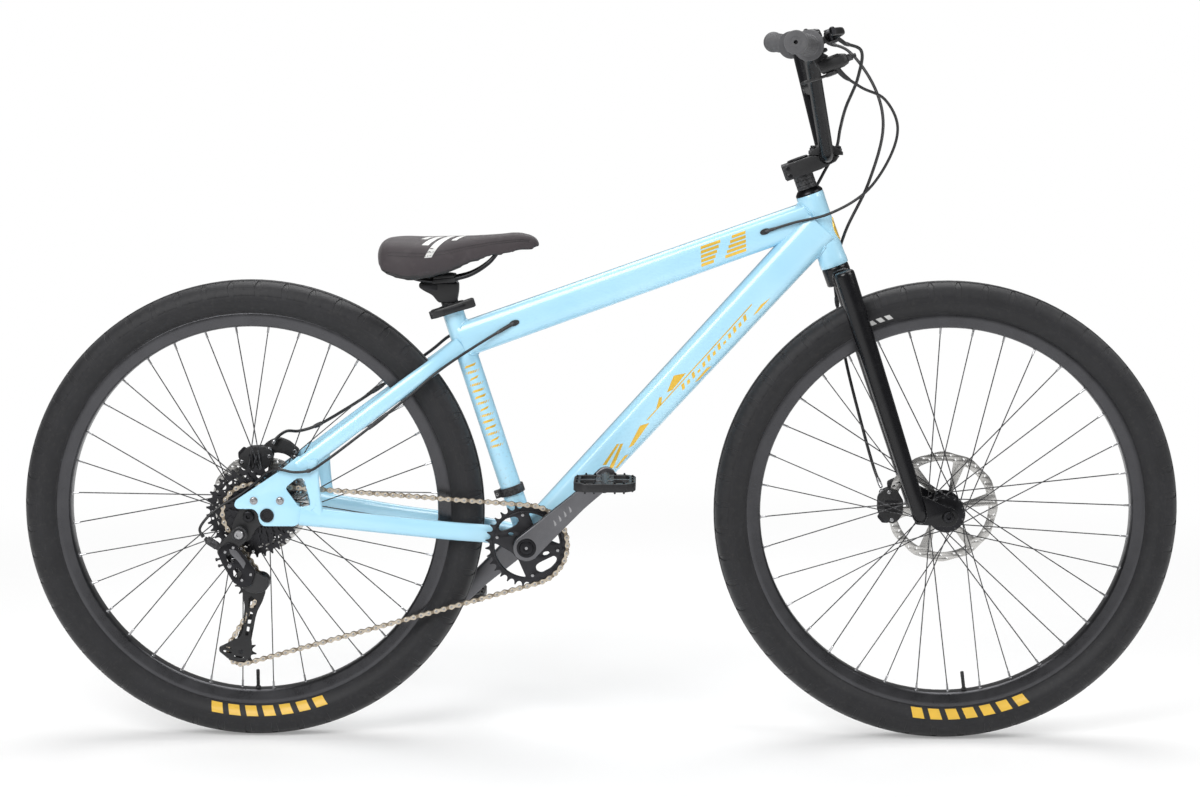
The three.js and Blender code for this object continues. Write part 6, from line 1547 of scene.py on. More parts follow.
def pedalShapes(part, way):
    foot = crankCentre + crankAhead * (-way * crank["length"])
    place = frameMatrix((foot.x, way * pedal["start"], foot.z), (1, 0, 0), (0, way, 0), (0, 0, 1))

    def put(shape, finish):
        part.add(moved(shape, place), finish)

    w, h = pedal["width"], pedal["half"]
    c = pedal["corner"]
    edge = [(-h + c, 0), (h - c, 0), (h - 3, c * 0.7), (h, c + 4), (h, w - c - 4), (h - 3, w - c * 0.7),
            (h - c, w), (-h + c, w), (-h + 3, w - c * 0.7), (-h, w - c - 4), (-h, c + 4), (-h + 3, c * 0.7)]
    windows = []
    for side in (-1, 1):
        for low, high in ((10.5, 45), (53, 87.5)):
            near, far = 14, h - pedal["railWide"]
            pull = 6 if low < 20 else 0
            push = 6 if high > 80 else 0
            windows.append(rounded([(side * near, low), (side * (far - pull), low),
                                    (side * far, low + pull + 1), (side * far, high - push - 1),
                                    (side * (far - push), high), (side * near, high)], 3, 3))
    verts, faces = flatShape([rounded(edge, 6)] + windows, 2 * pedal["deep"], 1.2, 2)
    put((verts, faces), satinBlack)
    put(spun([(6.3, -8.4), (9.2, -8.4), (9.9, -7.6), (9.9, 40), (9.2, 46), (8.8, 88), (8, 94), (6.3, 94)],
             (0, 0, 0), (0, 1, 0), 40), satinBlack)
    put(spun([(0, 93), (7.4, 93), (7.9, 94.4), (7.6, 96.4), (5, 97.4), (2.6, 97.4), (2.2, 96.4),
              (0, 96.4)], (0, 0, 0), (0, 1, 0), 32), anodised)
    for y in (24, 70):  # ribs across the body
        put(block((-13.5, y - 3, -8.2), (13.5, y + 3, 8.2), 1.4), satinBlack)
    pin = spun([(0, -0.6), (pedal["pin"] + 0.5, -0.6), (pedal["pin"] + 0.5, 0.7), (pedal["pin"], 0.9),
                (pedal["pin"], 2.6), (pedal["pin"] - 0.4, 2.9), (0, 2.9)], (0, 0, 0), (0, 0, 1), 10)
    spots = []
    for face, turn in ((1, 0), (-1, math.pi)):
        for x, y in ((-43, 24), (-43, 49), (-43, 74), (43, 24), (43, 49), (43, 74), (-30, 6), (-16, 5),
                     (16, 5), (30, 6), (-30, 92), (-16, 93), (16, 93), (30, 92)):
            spots.append(((x, y, face * pedal["deep"]), (turn, 0, 0), 1.0))
    put(repeated(pin, spots, boltSteel), boltBlack)


for way, name in ((-1, "right"), (1, "left")):
    part = Piece(name + "_pedal_platform", name + "_pedal", "satin_black")
    pedalShapes(part, way)
    part.done(name + "_pedal")
print("pedals made")

# Rear derailleur: knuckles, parallelogram links, barrel adjuster and cage
gear = Piece("derailleur_body", "frame", "black_plastic")
hx, hz = drive["hanger"]
px, pz = drive["pivot"]
gear.add(spun([(0, 73.9), (11.4, 73.9), (12, 74.6), (12, 87), (11.2, 88), (0, 88)], (hx, 0, hz),
              (0, -1, 0), 40), plasticBlack)
gear.add(peg(4.4, 66.4, 88, (hx, 0, hz), (0, -1, 0), 20), boltSteel)
gear.add(boltHead((hx, -88, hz), (0, -1, 0), 7.2, 3.8, 32), boltSteel)
gear.add(pipe(7.4, 9.6, 88, 88.8, (hx, 0, hz), (0, -1, 0), 32), boltBlack)


def gearPlate(points, fromY, toY, finish, bevel=1.0, holesIn=(), corner=3.5):
    gear.add(plate([rounded(points, corner)] + [rounded(list(h), 2) for h in holesIn], fromY, toY, bevel,
                   2), finish)


upperArm = [(-566, 357), (-556, 350), (-553, 341), (-557, 331), (-571, 318), (-581, 309), (-598, 305),
            (-603, 313), (-600, 324), (-590, 336), (-577, 351)]
gearPlate(upperArm, -86.2, -75.4, plasticBlack, 2.2, corner=5)
outerLink = [(-597, 322), (-584, 331), (-571, 326), (-552, 300), (-541, 286), (-548, 262), (-563, 258),
             (-577, 266), (-594, 296), (-600, 311)]
linkHole = [(-587, 311), (-579, 316), (-572, 308), (-577, 298), (-586, 300)]
lowHole = [(-577, 285), (-570, 291), (-562, 281), (-568, 272), (-576, 276)]
gearPlate(outerLink, -89.6, -86.6, anodised, 1.1, (linkHole, lowHole), 4)
# a thin lighter grey sheet over the outer link: a painted highlight on the link's face
paintedHighlightFacet = [(-583, 320), (-571, 318), (-556, 298), (-560, 288), (-568, 300), (-580, 312)]
gearPlate(paintedHighlightFacet, -90.0, -89.0, crankGrey, 0.5, corner=2)
innerLink = [(-592, 316), (-580, 324), (-568, 318), (-550, 294), (-545, 276), (-556, 268), (-572, 276),
             (-588, 300)]
gearPlate(innerLink, -76.2, -73.6, anodised, 0.8, corner=4)
for x, z in ((-589, 315), (-576, 322), (-563, 270), (-549, 279)):  # link pins
    gear.add(spun([(0, 72.8), (2.3, 72.8), (2.3, 89.8), (1.8, 90.2), (0, 90.2)], (x, 0, z), (0, -1, 0),
                  18), boltSteel)
coil = [Vector((-578 + 15 * t / 60 + 4.6 * math.cos(t * 0.9), -81 + 4.6 * math.sin(t * 0.9),
                303 - 22 * t / 60)) for t in range(61)]
gear.add(tube(coil, 0.9, 8), boltSteel)
lowerBody = [(-571, 283), (-560, 289), (-548, 287), (-536, 279), (-522, 272), (-521, 261), (-527, 251),
             (-541, 247), (-556, 250), (-568, 262), (-573, 273)]
gearPlate(lowerBody, -85.6, -74.8, plasticBlack, 2.6, corner=5)
gear.add(spun([(0, 51.5), (13.6, 51.5), (15, 53), (15, 79.6), (13.4, 82), (9, 82), (8.4, 81.2), (0, 81.2)],
              (px, 0, pz), (0, -1, 0), 48), anodised)
gear.add(spun([(0, 81), (4.6, 81), (4.6, 82.4), (4, 82.8), (2.6, 82.8), (2.2, 81.6), (0, 81.6)],
              (px, 0, pz), (0, -1, 0), 24), boltSteel)
barrelFrom, barrelTo = Vector((-590, -80.9, 315)), Vector((-622, -80.9, 336))
barrelWay = (barrelTo - barrelFrom).normalized()
gear.add(spun([(0, -4), (7, -4), (7, 8), (5.6, 10), (5.6, 14), (6.2, 14.8), (6.2, 33), (5.4, 34.6),
               (3.2, 35), (3.2, 38), (2.4, 38.2), (0, 38.2)], barrelFrom, barrelWay, 32), plasticBlack)
knurl = block((-0.5, -0.5, 15.5), (0.5, 0.5, 32), 0.15, 1)
turnTo = barrelWay.to_track_quat("Z", "Y").to_matrix().to_4x4()
for a in ringAngles(16):
    place = (Matrix.Translation(barrelFrom) @ turnTo @ Matrix.Rotation(a, 4, "Z")
             @ Matrix.Translation((6.0, 0, 0)))
    gear.add(moved(knurl, place), plasticBlack)
for x, z in ((-603, 301), (-599, 291)):  # limit screws
    gear.add(spun([(0, -5), (1.7, -5), (1.7, 6), (2.6, 6), (2.6, 8.4), (2.2, 8.8), (0, 8.6)],
                  (x + 6, -80, z + 2), (-1, 0, -0.25), 16), boltBlack)
gear.add(spun([(0, 0), (5.2, 0), (5.2, 1), (3.8, 1.2), (3.8, 3.8), (3.2, 4.2), (0, 4.2)],
              (-583, -86.4, 293), (0.25, -1, -0.1), 6), boltSteel)
gear.done("rear_derailleur")

cage = {"end": 16}
downCage = (tensionCentre - guideCentre).normalized()
acrossCage = Vector((-downCage.z, 0, downCage.x))


def onCage(rows):
    anchors = {"guide": guideCentre, "tension": tensionCentre, "middle": (guideCentre + tensionCentre) / 2}
    spots = [anchors[name] + downCage * (along * cage["end"]) + acrossCage * (across * cage["end"])
             for name, along, across in rows]
    return [(s.x, s.z) for s in spots]


outerEdge = [("guide", -0.8, -0.35), ("guide", -0.8, 0.9), ("guide", -0.2, 1.55), ("guide", 0.6, 1.7),
             ("guide", 1.6, 1.5), ("middle", -0.9, 1.15), ("middle", 0.4, 0.95), ("tension", -2.2, 0.7),
             ("tension", -1, 1), ("tension", 0.0, 1.15), ("tension", 0.8, 0.75), ("tension", 1.1, -0.1),
             ("tension", 1.0, -1.0), ("tension", 0.3, -2.15), ("tension", -0.15, -2.2),
             ("tension", -0.9, -1.1), ("tension", -1.5, -0.25), ("tension", -2.4, 0.0),
             ("middle", 0.6, -0.12), ("middle", -1.2, -0.2), ("guide", 1.0, -0.6)]
outerHoles = [[("middle", -2.3, 0.35), ("middle", -1.9, 0.95), ("middle", -1.2, 0.85),
               ("middle", -0.95, 0.4), ("middle", -1.3, 0.15), ("middle", -2.0, 0.1)],
              [("middle", -0.75, 0.35), ("middle", -0.6, 0.72), ("middle", 0.5, 0.62),
               ("middle", 0.55, 0.3)], [("middle", -0.6, -0.02), ("middle", -0.5, 0.16),
                                        ("middle", 0.6, 0.14), ("middle", 0.55, 0.0)],
              [("middle", 0.85, 0.28), ("middle", 0.85, 0.58), ("middle", 1.75, 0.55),
               ("middle", 1.8, 0.22)], [("tension", 0.1, -1.75), ("tension", 0.28, -1.7),
                                        ("tension", 0.36, -0.9), ("tension", 0.18, -0.85)],
              [("tension", -0.25, -1.6), ("tension", -0.08, -1.55), ("tension", -0.1, -1.0),
               ("tension", -0.3, -1.05)],
              [("tension", 0.5, -0.6), ("tension", 0.66, -0.6), ("tension", 0.66, 0.4),
               ("tension", 0.5, 0.4)]]
cagePiece = Piece("cage_plates", "derailleur_cage", "satin_black")
cagePiece.add(plate([rounded(onCage(outerEdge), 3)] + [rounded(onCage(h), 1.4, 2) for h in outerHoles],
                    -50, -48.1, 0.5, 2), satinBlack)
innerEdge = [("guide", -0.7, -0.4), ("guide", -0.7, 0.5), ("guide", 0.2, 1.0), ("middle", 0, 0.95),
             ("tension", -0.8, 0.8), ("tension", 0.6, 0.6), ("tension", 0.9, -0.4), ("tension", 0.2, -1.1),
             ("tension", -0.8, -0.7), ("middle", 0, -0.1), ("guide", 0.9, -0.6)]
innerHoles = [[("middle", -1.6, 0.25), ("middle", -1.6, 0.65), ("middle", -0.3, 0.63),
               ("middle", -0.3, 0.23)], [("middle", 0.3, 0.23), ("middle", 0.3, 0.63),
                                         ("middle", 1.5, 0.6), ("middle", 1.5, 0.22)]]
cagePiece.add(plate([rounded(onCage(innerEdge), 3)] + [rounded(onCage(h), 1.4, 2) for h in innerHoles],
                    -37.9, -36.1, 0.4, 1), satinBlack)
for centre in (guideCentre, tensionCentre):
    cagePiece.add(peg(2.5, 36.4, 49.6, centre, (0, -1, 0), 20), boltSteel)
    cagePiece.add(boltHead((centre.x, -50, centre.z), (0, -1, 0), 3.4, 1.0, 20), boltBlack)
cagePiece.done("derailleur_cage")

for index, name, centre in ((3, "guide", guideCentre), (2, "tension", tensionCentre)):
    pulley = Piece(name + "_pulley_wheel", name + "_pulley", "black_plastic")
    windows = [circle(x, z, 2.6, 14) for x, z in circle(centre.x, centre.z, 12.4, 5)]
    pulley.add(plate([toothed(drive["pulleyTeeth"], rollerAngle(index), (centre.x, centre.z), tip=2.8,
                              flat=0.9), circle(centre.x, centre.z, 7.2, 28)] + windows, -44, -42, 0.3, 1),
               plasticBlack)
    pulley.add(spun([(2.9, 39.7), (6.4, 39.7), (7.4, 40.6), (7.4, 45.4), (6.4, 46.3), (2.9, 46.3)], centre,
                    (0, -1, 0), 32), anodised)
    pulley.done(name + "_pulley")
print("derailleur made")

# Saddle: a padded cover swollen by a cloth simulation, over a plastic base on two rails
saddle = {"stations": [(-350, 790, 766, 34), (-340, 806, 752, 58), (-310, 811, 741, 72),
                       (-275, 809, 741, 68), (-240, 810, 748, 50), (-205, 812, 762, 34),
                       (-165, 815, 774, 25), (-125, 818, 780, 21), (-102, 812, 784, 17),
                       (-93, 802, 789, 9)],
          "section": [(-0.6, 0.38), (0, 0.42), (0.6, 0.38), (0.84, 0.02), (0.97, 0.1), (1, 0.45),
                      (0.82, 0.82), (0.45, 0.97), (0, 1), (-0.45, 0.97), (-0.82, 0.82), (-1, 0.45),
                      (-0.97, 0.1), (-0.84, 0.02)], "shrink": 3.0, "voxel": 0.0045, "pressure": 4.0,
          "frames": 20, "cap": 0.005, "seamDepth": 0.9, "seamWidth": 3.2, "rail": 3.5}


def saddleRings(shrink, steps=7):
    line = smoothPath([(x, top, below) for x, top, below, half in saddle["stations"]], steps)
    halves = smoothPath([(x, half, 0) for x, top, below, half in saddle["stations"]], steps)
    section = smoothPath([(a, r, 0) for a, r in saddle["section"][-2:] + saddle["section"]
                          + saddle["section"][:3]], 4)[8:-8]
    rings = []
    for spot, width in zip(line, halves):
        x, top, below = spot
        half = max(width.y - shrink, 4)
        top, below = top - shrink, below + shrink * 0.3
        rings.append([Vector((x, half * max(-1, min(1, s.x)), below + max(0, s.y) * (top - below)))
                      for s in section])
    return rings


def saddleCover():
    name = "saddle_cover"
    rings = saddleRings(saddle["shrink"])
    verts, faces = skin(rings)
    mesh = bpy.data.meshes.new(name)
    mesh.from_pydata([tuple(v * mm) for v in verts], [], faces)
    work = bmesh.new()
    work.from_mesh(mesh)
    bmesh.ops.remove_doubles(work, verts=work.verts[:], dist=0.0002)
    bmesh.ops.recalc_face_normals(work, faces=work.faces[:])
    work.to_mesh(mesh)
    work.free()
    piece = linked(name, mesh)
    remesh = piece.modifiers.new("remesh", "REMESH")
    remesh.mode = "VOXEL"
    remesh.voxel_size = saddle["voxel"]
    applyTo(piece)
    rest = [v.co.copy() for v in piece.data.vertices]
    held = piece.vertex_groups.new(name="held")
    for i, spot in enumerate(rest):
        below = saddleHeights(spot.x / mm)[1] * mm
        weight = 1 - min(1, max(0, (spot.z - below - 0.010) / 0.012))
        held.add([i], weight, "REPLACE")
    cloth = piece.modifiers.new("cloth", "CLOTH")
    settings = cloth.settings
    settings.quality = 6
    settings.mass = 0.25
    settings.tension_stiffness = 12
    settings.compression_stiffness = 12
    settings.bending_stiffness = 0.8
    settings.use_pressure = True
    settings.uniform_pressure_force = saddle["pressure"]
    settings.vertex_group_mass = "held"
    settings.effector_weights.gravity = 0
    cloth.point_cache.frame_start = 1
    cloth.point_cache.frame_end = saddle["frames"]
    scene = bpy.context.scene
    for frameNumber in range(1, saddle["frames"] + 1):
        scene.frame_set(frameNumber)
    deps = bpy.context.evaluated_depsgraph_get()
    moving = [v.co.copy() for v in piece.evaluated_get(deps).data.vertices]
    piece.modifiers.clear()
    scene.frame_set(1)
    for v, start, end in zip(piece.data.vertices, rest, moving):
        shift = end - start
        v.co = start + (shift * (saddle["cap"] / shift.length) if shift.length > saddle["cap"]
                        else shift)
    smooth = piece.modifiers.new("smooth", "CORRECTIVE_SMOOTH")
    smooth.use_only_smooth = True
    smooth.iterations = 6
    smooth.factor = 0.5
    finer = piece.modifiers.new("finer", "SUBSURF")
    finer.levels = finer.render_levels = 1
    applyTo(piece)
    return piece


def applyTo(piece):  # turns the modifiers into the mesh
    deps = bpy.context.evaluated_depsgraph_get()
    made = bpy.data.meshes.new_from_object(piece.evaluated_get(deps))
    old = piece.data
    piece.modifiers.clear()
    piece.data = made
    bpy.data.meshes.remove(old)


def saddleHeights(x):  # of the cover's top and of its lower edge
    line = saddle["stations"]
    for a, b in zip(line, line[1:]):
        if a[0] <= x <= b[0]:
            share = (x - a[0]) / (b[0] - a[0])
            return lerp(a[1], b[1], share), lerp(a[2], b[2], share)
    end = line[0] if x < line[0][0] else line[-1]
    return end[1], end[2]


def coverFinish():
    g = Graph("saddle_cover", SheenWeight=0.25, SheenRoughness=0.4, Specular=0.4)
    pores = g.noise(1500, 5, 0.65)
    grain = g.node("TexVoronoi", {"feature": "DISTANCE_TO_EDGE"}, {"Vector": g.place(), "Scale": 620.0},
                   "Distance")
    broad = g.noise(14, 4, 0.5)
    worn = g.noise(60, 5, 0.6).between(0.52, 0.78) * 0.35
    base = g.mix(broad.between(0.3, 0.7), (0.036, 0.029, 0.032), (0.052, 0.043, 0.047))
    base = g.mix(grain.between(0.0, 0.12) * 0.5 + 0.5, tuple(c * 0.62 for c in (0.05, 0.041, 0.044)), base)
    g.set(BaseColor=g.mix(worn, base, (0.088, 0.075, 0.08)),
          Roughness=(pores - 0.5) * 0.14 + (broad - 0.5) * 0.1 + 0.62)
    return g.bump(grain.between(0.0, 0.14) * 0.8 + pores * 0.2, 0.07).material


coverLook = coverFinish()
cover = saddleCover()
cover.data.materials.clear()
cover.data.materials.append(coverLook)
cover.data.materials.append(plasticBlack)
for face in cover.data.polygons:
    face.use_smooth = True
    middle = face.center / mm
    top, low = saddleHeights(middle.x)
    face.material_index = 1 if face.normal.z < -0.35 and middle.z < low + 0.55 * (top - low) else 0
coverTree = BVHTree.FromPolygons([tuple(v.co / mm) for v in cover.data.vertices],
                                 [tuple(p.vertices) for p in cover.data.polygons])


def onCover(x, angle, lift=0.0):  # a spot on the cover: how far along, and how far round from straight up
    top, low = saddleHeights(x)
    centre = Vector((x, 0, lerp(low, top, 0.35)))
    way = Vector((0, math.sin(angle), math.cos(angle)))
    hit = coverTree.ray_cast(centre + way * 150, -way)
    return hit[0] + hit[1] * lift if hit[0] is not None else None


def coverSpot(x, share, side, lift=0.0):  # a spot on the side of the cover, at a share of its height
    top, low = saddleHeights(x)
    hit = coverTree.ray_cast(Vector((x, side * 150, lerp(low, top, share))), Vector((0, -side, 0)))
    return hit[0] + hit[1] * lift if hit[0] is not None else None


seams = []
for side in (-1, 1):
    for share, fromX, toX in ((0.62, -332, -112), (0.16, -338, -104)):
        line = [coverSpot(fromX + (toX - fromX) * i / 90, share, side) for i in range(91)]
        seams.append([p for p in line if p is not None])

seamPoints = [p for line in seams for p in line]
near = KDTree(len(seamPoints))
for i, p in enumerate(seamPoints):
    near.insert(p, i)
near.balance()
for v in cover.data.vertices:
    distance = near.find(v.co / mm)[2]
    if distance < saddle["seamWidth"]:
        v.co -= v.normal * (saddle["seamDepth"] * (1 - distance / saddle["seamWidth"]) ** 1.5 * mm)
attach(cover, "saddle")
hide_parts("saddle")
trim = Piece("saddle_trim", "saddle", "black_plastic")
for side in (-1, 1):
    stitches = []
    for share in (0.66, 0.58):
        x = -330.0
        while x < -112:
            a, b = coverSpot(x, share, side, 0.1), coverSpot(x + 2.6, share, side, 0.1)
            if a is not None and b is not None:
                turn = (b - a).to_track_quat("X", "Z").to_euler()
                stitches.append(((a + b) / 2, tuple(turn), 1.0))
            x += 4.1
    stitch = tube([(-1.4, 0, -0.15), (-0.8, 0, 0.22), (0, 0, 0.32), (0.8, 0, 0.22), (1.4, 0, -0.15)],
                  [0.22, 0.36, 0.38, 0.36, 0.22], 6)
    trim.add(repeated(stitch, stitches, hoseBlack), hoseBlack)
edge = []
for side, xs in ((1, range(-98, -345, -4)), (-1, range(-342, -95, 4))):
    for x in xs:
        spot = coverSpot(x, 0.10, side, -0.7)
        if spot is not None:
            edge.append(spot)
trim.add(tube(smoothPath(edge[::3], 3), 1.5, 10, True), plasticBlack)
# White bars across the top, printed on the cover
marks = [(-276, 8, 26, 9), (-262, 6, 44, 10), (-246, 3, 62, 11), (-226, 3, 30, 8)]
for side in (-1, 1):
    for x0, fromAngle, toAngle, wide in marks:
        rows = []
        for i in range(13):
            a = lerp(fromAngle, toAngle, i / 12)
            slide = -a * 0.62
            rows.append([onCover(x0 + slide + 12 + wide * j / 3, side * math.radians(a) * 1.25, 0.16)
                         for j in range(4)])
        if all(p is not None for row in rows for p in row):
            verts = [p for row in rows for p in row]
            faces = [(r * 4 + j, r * 4 + j + 1, r * 4 + 5 + j, r * 4 + 4 + j) for r in range(12)
                     for j in range(3)]
            if side > 0:
                faces = [tuple(reversed(f)) for f in faces]
            trim.add((verts, faces), whitePrint)
railRoute = [(-320, 765.6, 24), (-300, 747, 22), (-262, 739, 22), (-222, 744, 22), (-200, 751, 21),
             (-174, 768, 14), (-159, 785.8, 12)]
trim.done(recalc=False)
rails = Piece("saddle_rails", "saddle", "satin_black")
for side in (-1, 1):
    rails.add(tube(smoothPath([(x, side * y, z) for x, z, y in railRoute], 14), saddle["rail"], 20),
              boltBlack)
    for x, z, y in (railRoute[0], railRoute[-1]):  # sockets in the base that hold the rails' ends
        rails.add(block((x - 9, side * y - 6, z - 4), (x + 9, side * y + 6, z + 7), 2.4), plasticBlack)
print("saddle made")

# Seat post with its head, and the clamp on the rails
post = {"sunk": 256, "head": 429, "rings": 408}
rails.add(spun([(0, post["sunk"]), (12.6, post["sunk"]), (13.6, post["sunk"] + 1.2),
                (13.6, post["head"] - 2), (12, post["head"]), (0, post["head"])], crankCentre, seatUp, 56),
          satinBlack)
for mark in range(3):  # plain rings cut round the post
    low = post["rings"] + mark * 3
    rails.add(spun([(13.55, low), (13.9, low + 0.3), (13.9, low + 1.3), (13.55, low + 1.6)], crankCentre,
                   seatUp, 56), boltBlack)
profile = [(-285, 735.6), (-285.4, 728), (-277, 722.4), (-264, 716), (-257, 707), (-253.5, 704),
           (-226, 704), (-224.6, 712), (-222.8, 722), (-222.8, 735.6)]
rails.add(plate([rounded(profile, 4)], -14.8, 14.8, 1.8, 3), satinBlack)
rails.add(plate([rounded([(-281, 733), (-280, 727), (-266, 721.5), (-256, 723), (-256, 733)], 2)], -15.6,
                15.6, 0.5, 1), boltBlack)
cradle = [(-263, 735.2), (-227, 737.4), (-226, 742), (-229, 744.6), (-261, 741.8), (-263.4, 739)]
rails.add(plate([rounded(cradle, 2)], -27.5, 27.5, 1.2, 2), matteBlack)
clampLid = [(-262, 742.4), (-228, 745.2), (-229, 748), (-238, 749), (-252, 747.9), (-261, 745.8)]
rails.add(plate([rounded(clampLid, 1.6)], -28.8, 28.8, 1.0, 2), matteBlack)
for x, z in ((-268, 742), (-226.5, 741)):
    rails.add(peg(2.9, 0, 15, (x, 0, z - 14), (0, 0, 1), 20), boltSteel)
    rails.add(spun([(0, 0), (5.0, 0), (5.4, 0.6), (5.4, 3.2), (4.8, 4), (0, 4)], (x, 0, z - 1), (0, 0, 1),
                   24), boltBlack)
rails.done("seat_post")

# Collar with its quick-release lever, and the band at the foot of the seat tube
collar = {"from": 387, "to": 400, "inner": 17.3, "outer": 21.5, "slot": 1}
onSeatTube = placing(frameMatrix(crankCentre, seatAhead, acrossAxis, seatUp))
ringShape = Piece("seat_collar", "frame", "satin_black", onSeatTube)
arc = []
for radius, order in ((collar["outer"], range(25)), (collar["inner"], range(24, -1, -1))):
    for i in order:
        a = math.radians(180 - 5 - 350 * i / 24) if radius > 18 else math.radians(180 - 4 - 352 * i / 24)
        arc.append(polar(radius, a))
body, faces = flatShape([arc], collar["to"] - collar["from"], 0.8, 2)
ringShape.add(([Vector((v.x, v.y, v.z + (collar["from"] + collar["to"]) / 2)) for v in body], faces),
              satinBlack)
ringShape.add(block((-33.4, collar["slot"], 387.2), (-19.5, 9.6, 399.8), 1.4), satinBlack)
ringShape.add(block((-33.4, -9.6, 387.2), (-19.5, -collar["slot"], 399.8), 1.4), satinBlack)
ringShape.add(spun([(0, 0), (4.8, 0), (5.2, 0.6), (5.2, 2), (4.4, 2.6), (2.4, 2.6), (2, 1.6), (0, 1.6)],
                   (-27.5, 9.4, 393.5), (0, 1, 0), 28), boltSteel)
ringShape.add(peg(2.2, -16, 12, (-27.5, 0, 393.5), (0, 1, 0), 16), boltSteel)
ringShape.done("seat_clamp_collar")

quick = Piece("quick_lever", "seat_clamp_lever", "satin_black", onSeatTube)
quick.add(spun([(2.4, -6.2), (7.0, -6.2), (7.6, -5.6), (7.6, 5.6), (7.0, 6.2), (2.4, 6.2)],
               (-27.5, -18, 393.5), (0, 0, 1), 36), satinBlack)
quick.add(peg(2.3, -6.5, 6.5, (-27.5, -18, 393.5), (0, 0, 1), 18), boltSteel)
stationsOf = [((-29.5, -22, 393.5), 3.3, 6.6), ((-24, -24.4, 393.5), 3.5, 6.9),
              ((-14, -25.7, 393.5), 3.4, 6.9), ((0, -26, 393.5), 3.3, 6.8), ((16, -26, 393.5), 3.2, 7.1),
              ((30, -26, 393.5), 3.3, 7.7), ((37, -26, 393.5), 3.3, 7.8), ((40, -26, 393.5), 2.7, 6.6),
              ((40.4, -26, 393.5), 2, 5.4)]
quick.add(loft(stationsOf, 28, 0.62, (0, 1, 0)), satinBlack)
quick.add(plate([[(-12, 390.6), (22, 390.6), (26, 393.5), (22, 396.4), (-12, 396.4)]], -29.6, -29.1, 0.15,
                1), boltBlack)
quick.done("seat_clamp_lever")

band = Piece("seat_tube_ring", "frame", "satin_black", onSeatTube)
band.add(spun([(17.3, 79.4), (19.8, 79.4), (20.5, 80.2), (20.5, 92.2), (19.8, 93), (17.3, 93)], (0, 0, 0),
              (0, 0, 1), 56), satinBlack)
band.add(block((-28.3, -3.9, 79.6), (-19, -0.5, 92.8), 0.9), satinBlack)
band.add(block((-28.3, 0.5, 79.6), (-19, 3.9, 92.8), 0.9), satinBlack)
band.add(boltHead((-24.4, -3.6, 86.2), (0, -1, 0), 2.7, 0.4, 20), boltSteel)
band.done("seat_tube_band")
print("seat clamp made")

# Brake calipers: two halves over the disc, fins, bolts, hose joint and bracket
caliper = {"half": 10.9, "slot": 1.8,
           "edge": [(-29, -5), (-26, 7), (-15, 18), (-6, 20.6), (12, 20.6), (24, 15), (29, 5), (23, -12),
                    (9, -20.6), (-12, -20.6), (-23, -14)]}


# A caliper in its own axes: along the disc's edge, out from the wheel's middle, and across
def caliperShapes(part, place):
    def put(shape, finish):
        part.add(moved(shape, place), finish)

    def slab(points, low, high, finish, bevel=1.4, corner=2.5):
        verts, faces = flatShape([rounded(points, corner)], high - low, bevel, 2)
        put(([Vector((v.x, v.y, v.z + (low + high) / 2)) for v in verts], faces), finish)

    for side in (-1, 1):
        low, high = sorted((side * caliper["slot"], side * (caliper["half"] - 1.2)))
        slab(caliper["edge"], low, high, matteBlack, 1.5)
        slab([(-13, -13), (-14, 6), (-6, 13), (7, 13), (13, 5), (12, -13)],
             *sorted((side * 8.6, side * (caliper["half"] - 0.9))), matteBlack, 0.7)
        for x in (-22.6, 22.6):
            put(spun([(0, 0), (3.2, 0), (3.2, 1), (2.6, 1.4), (1.6, 1.4), (1.4, 0.6), (0, 0.6)],
                     (x, 3 if x > 0 else -3, side * (caliper["half"] - 1.4)), (0, 0, side), 20), boltSteel)
        for k in range(4):  # cooling ribs
            put(block((-10.4 + k * 5.6, -11, side * (caliper["half"] - 0.7) - 0.9),
                      (-7.6 + k * 5.6, 9, side * (caliper["half"] - 0.7) + 0.9), 0.5, 1), anodised)
    slab([(-20, 9), (-15, 18), (-6, 20.4), (12, 20.4), (21, 16), (19, 9)], -2.2, 2.2, matteBlack, 0.3)
    fin = [(-28.6, 2), (-28.6, 12), (-20, 20), (-13, 16), (-14, 7)]
    for k in (-3.8, 3.8):
        slab(fin, k - 1.2, k + 1.2, anodised, 0.3, 2)
    put(peg(1.5, -9.4, 9.4, (2, 16.2, 0), (0, 0, 1), 14), boltSteel)
    put(spun([(0, 0), (5.6, 0), (5.6, 2), (4.4, 2.2), (4.4, 5.2), (3.8, 6), (2.6, 6), (2.4, 4.6),
              (0, 4.6)], (21, 12, 3), (0.5, 0.86, 0.1), 28), boltSteel)


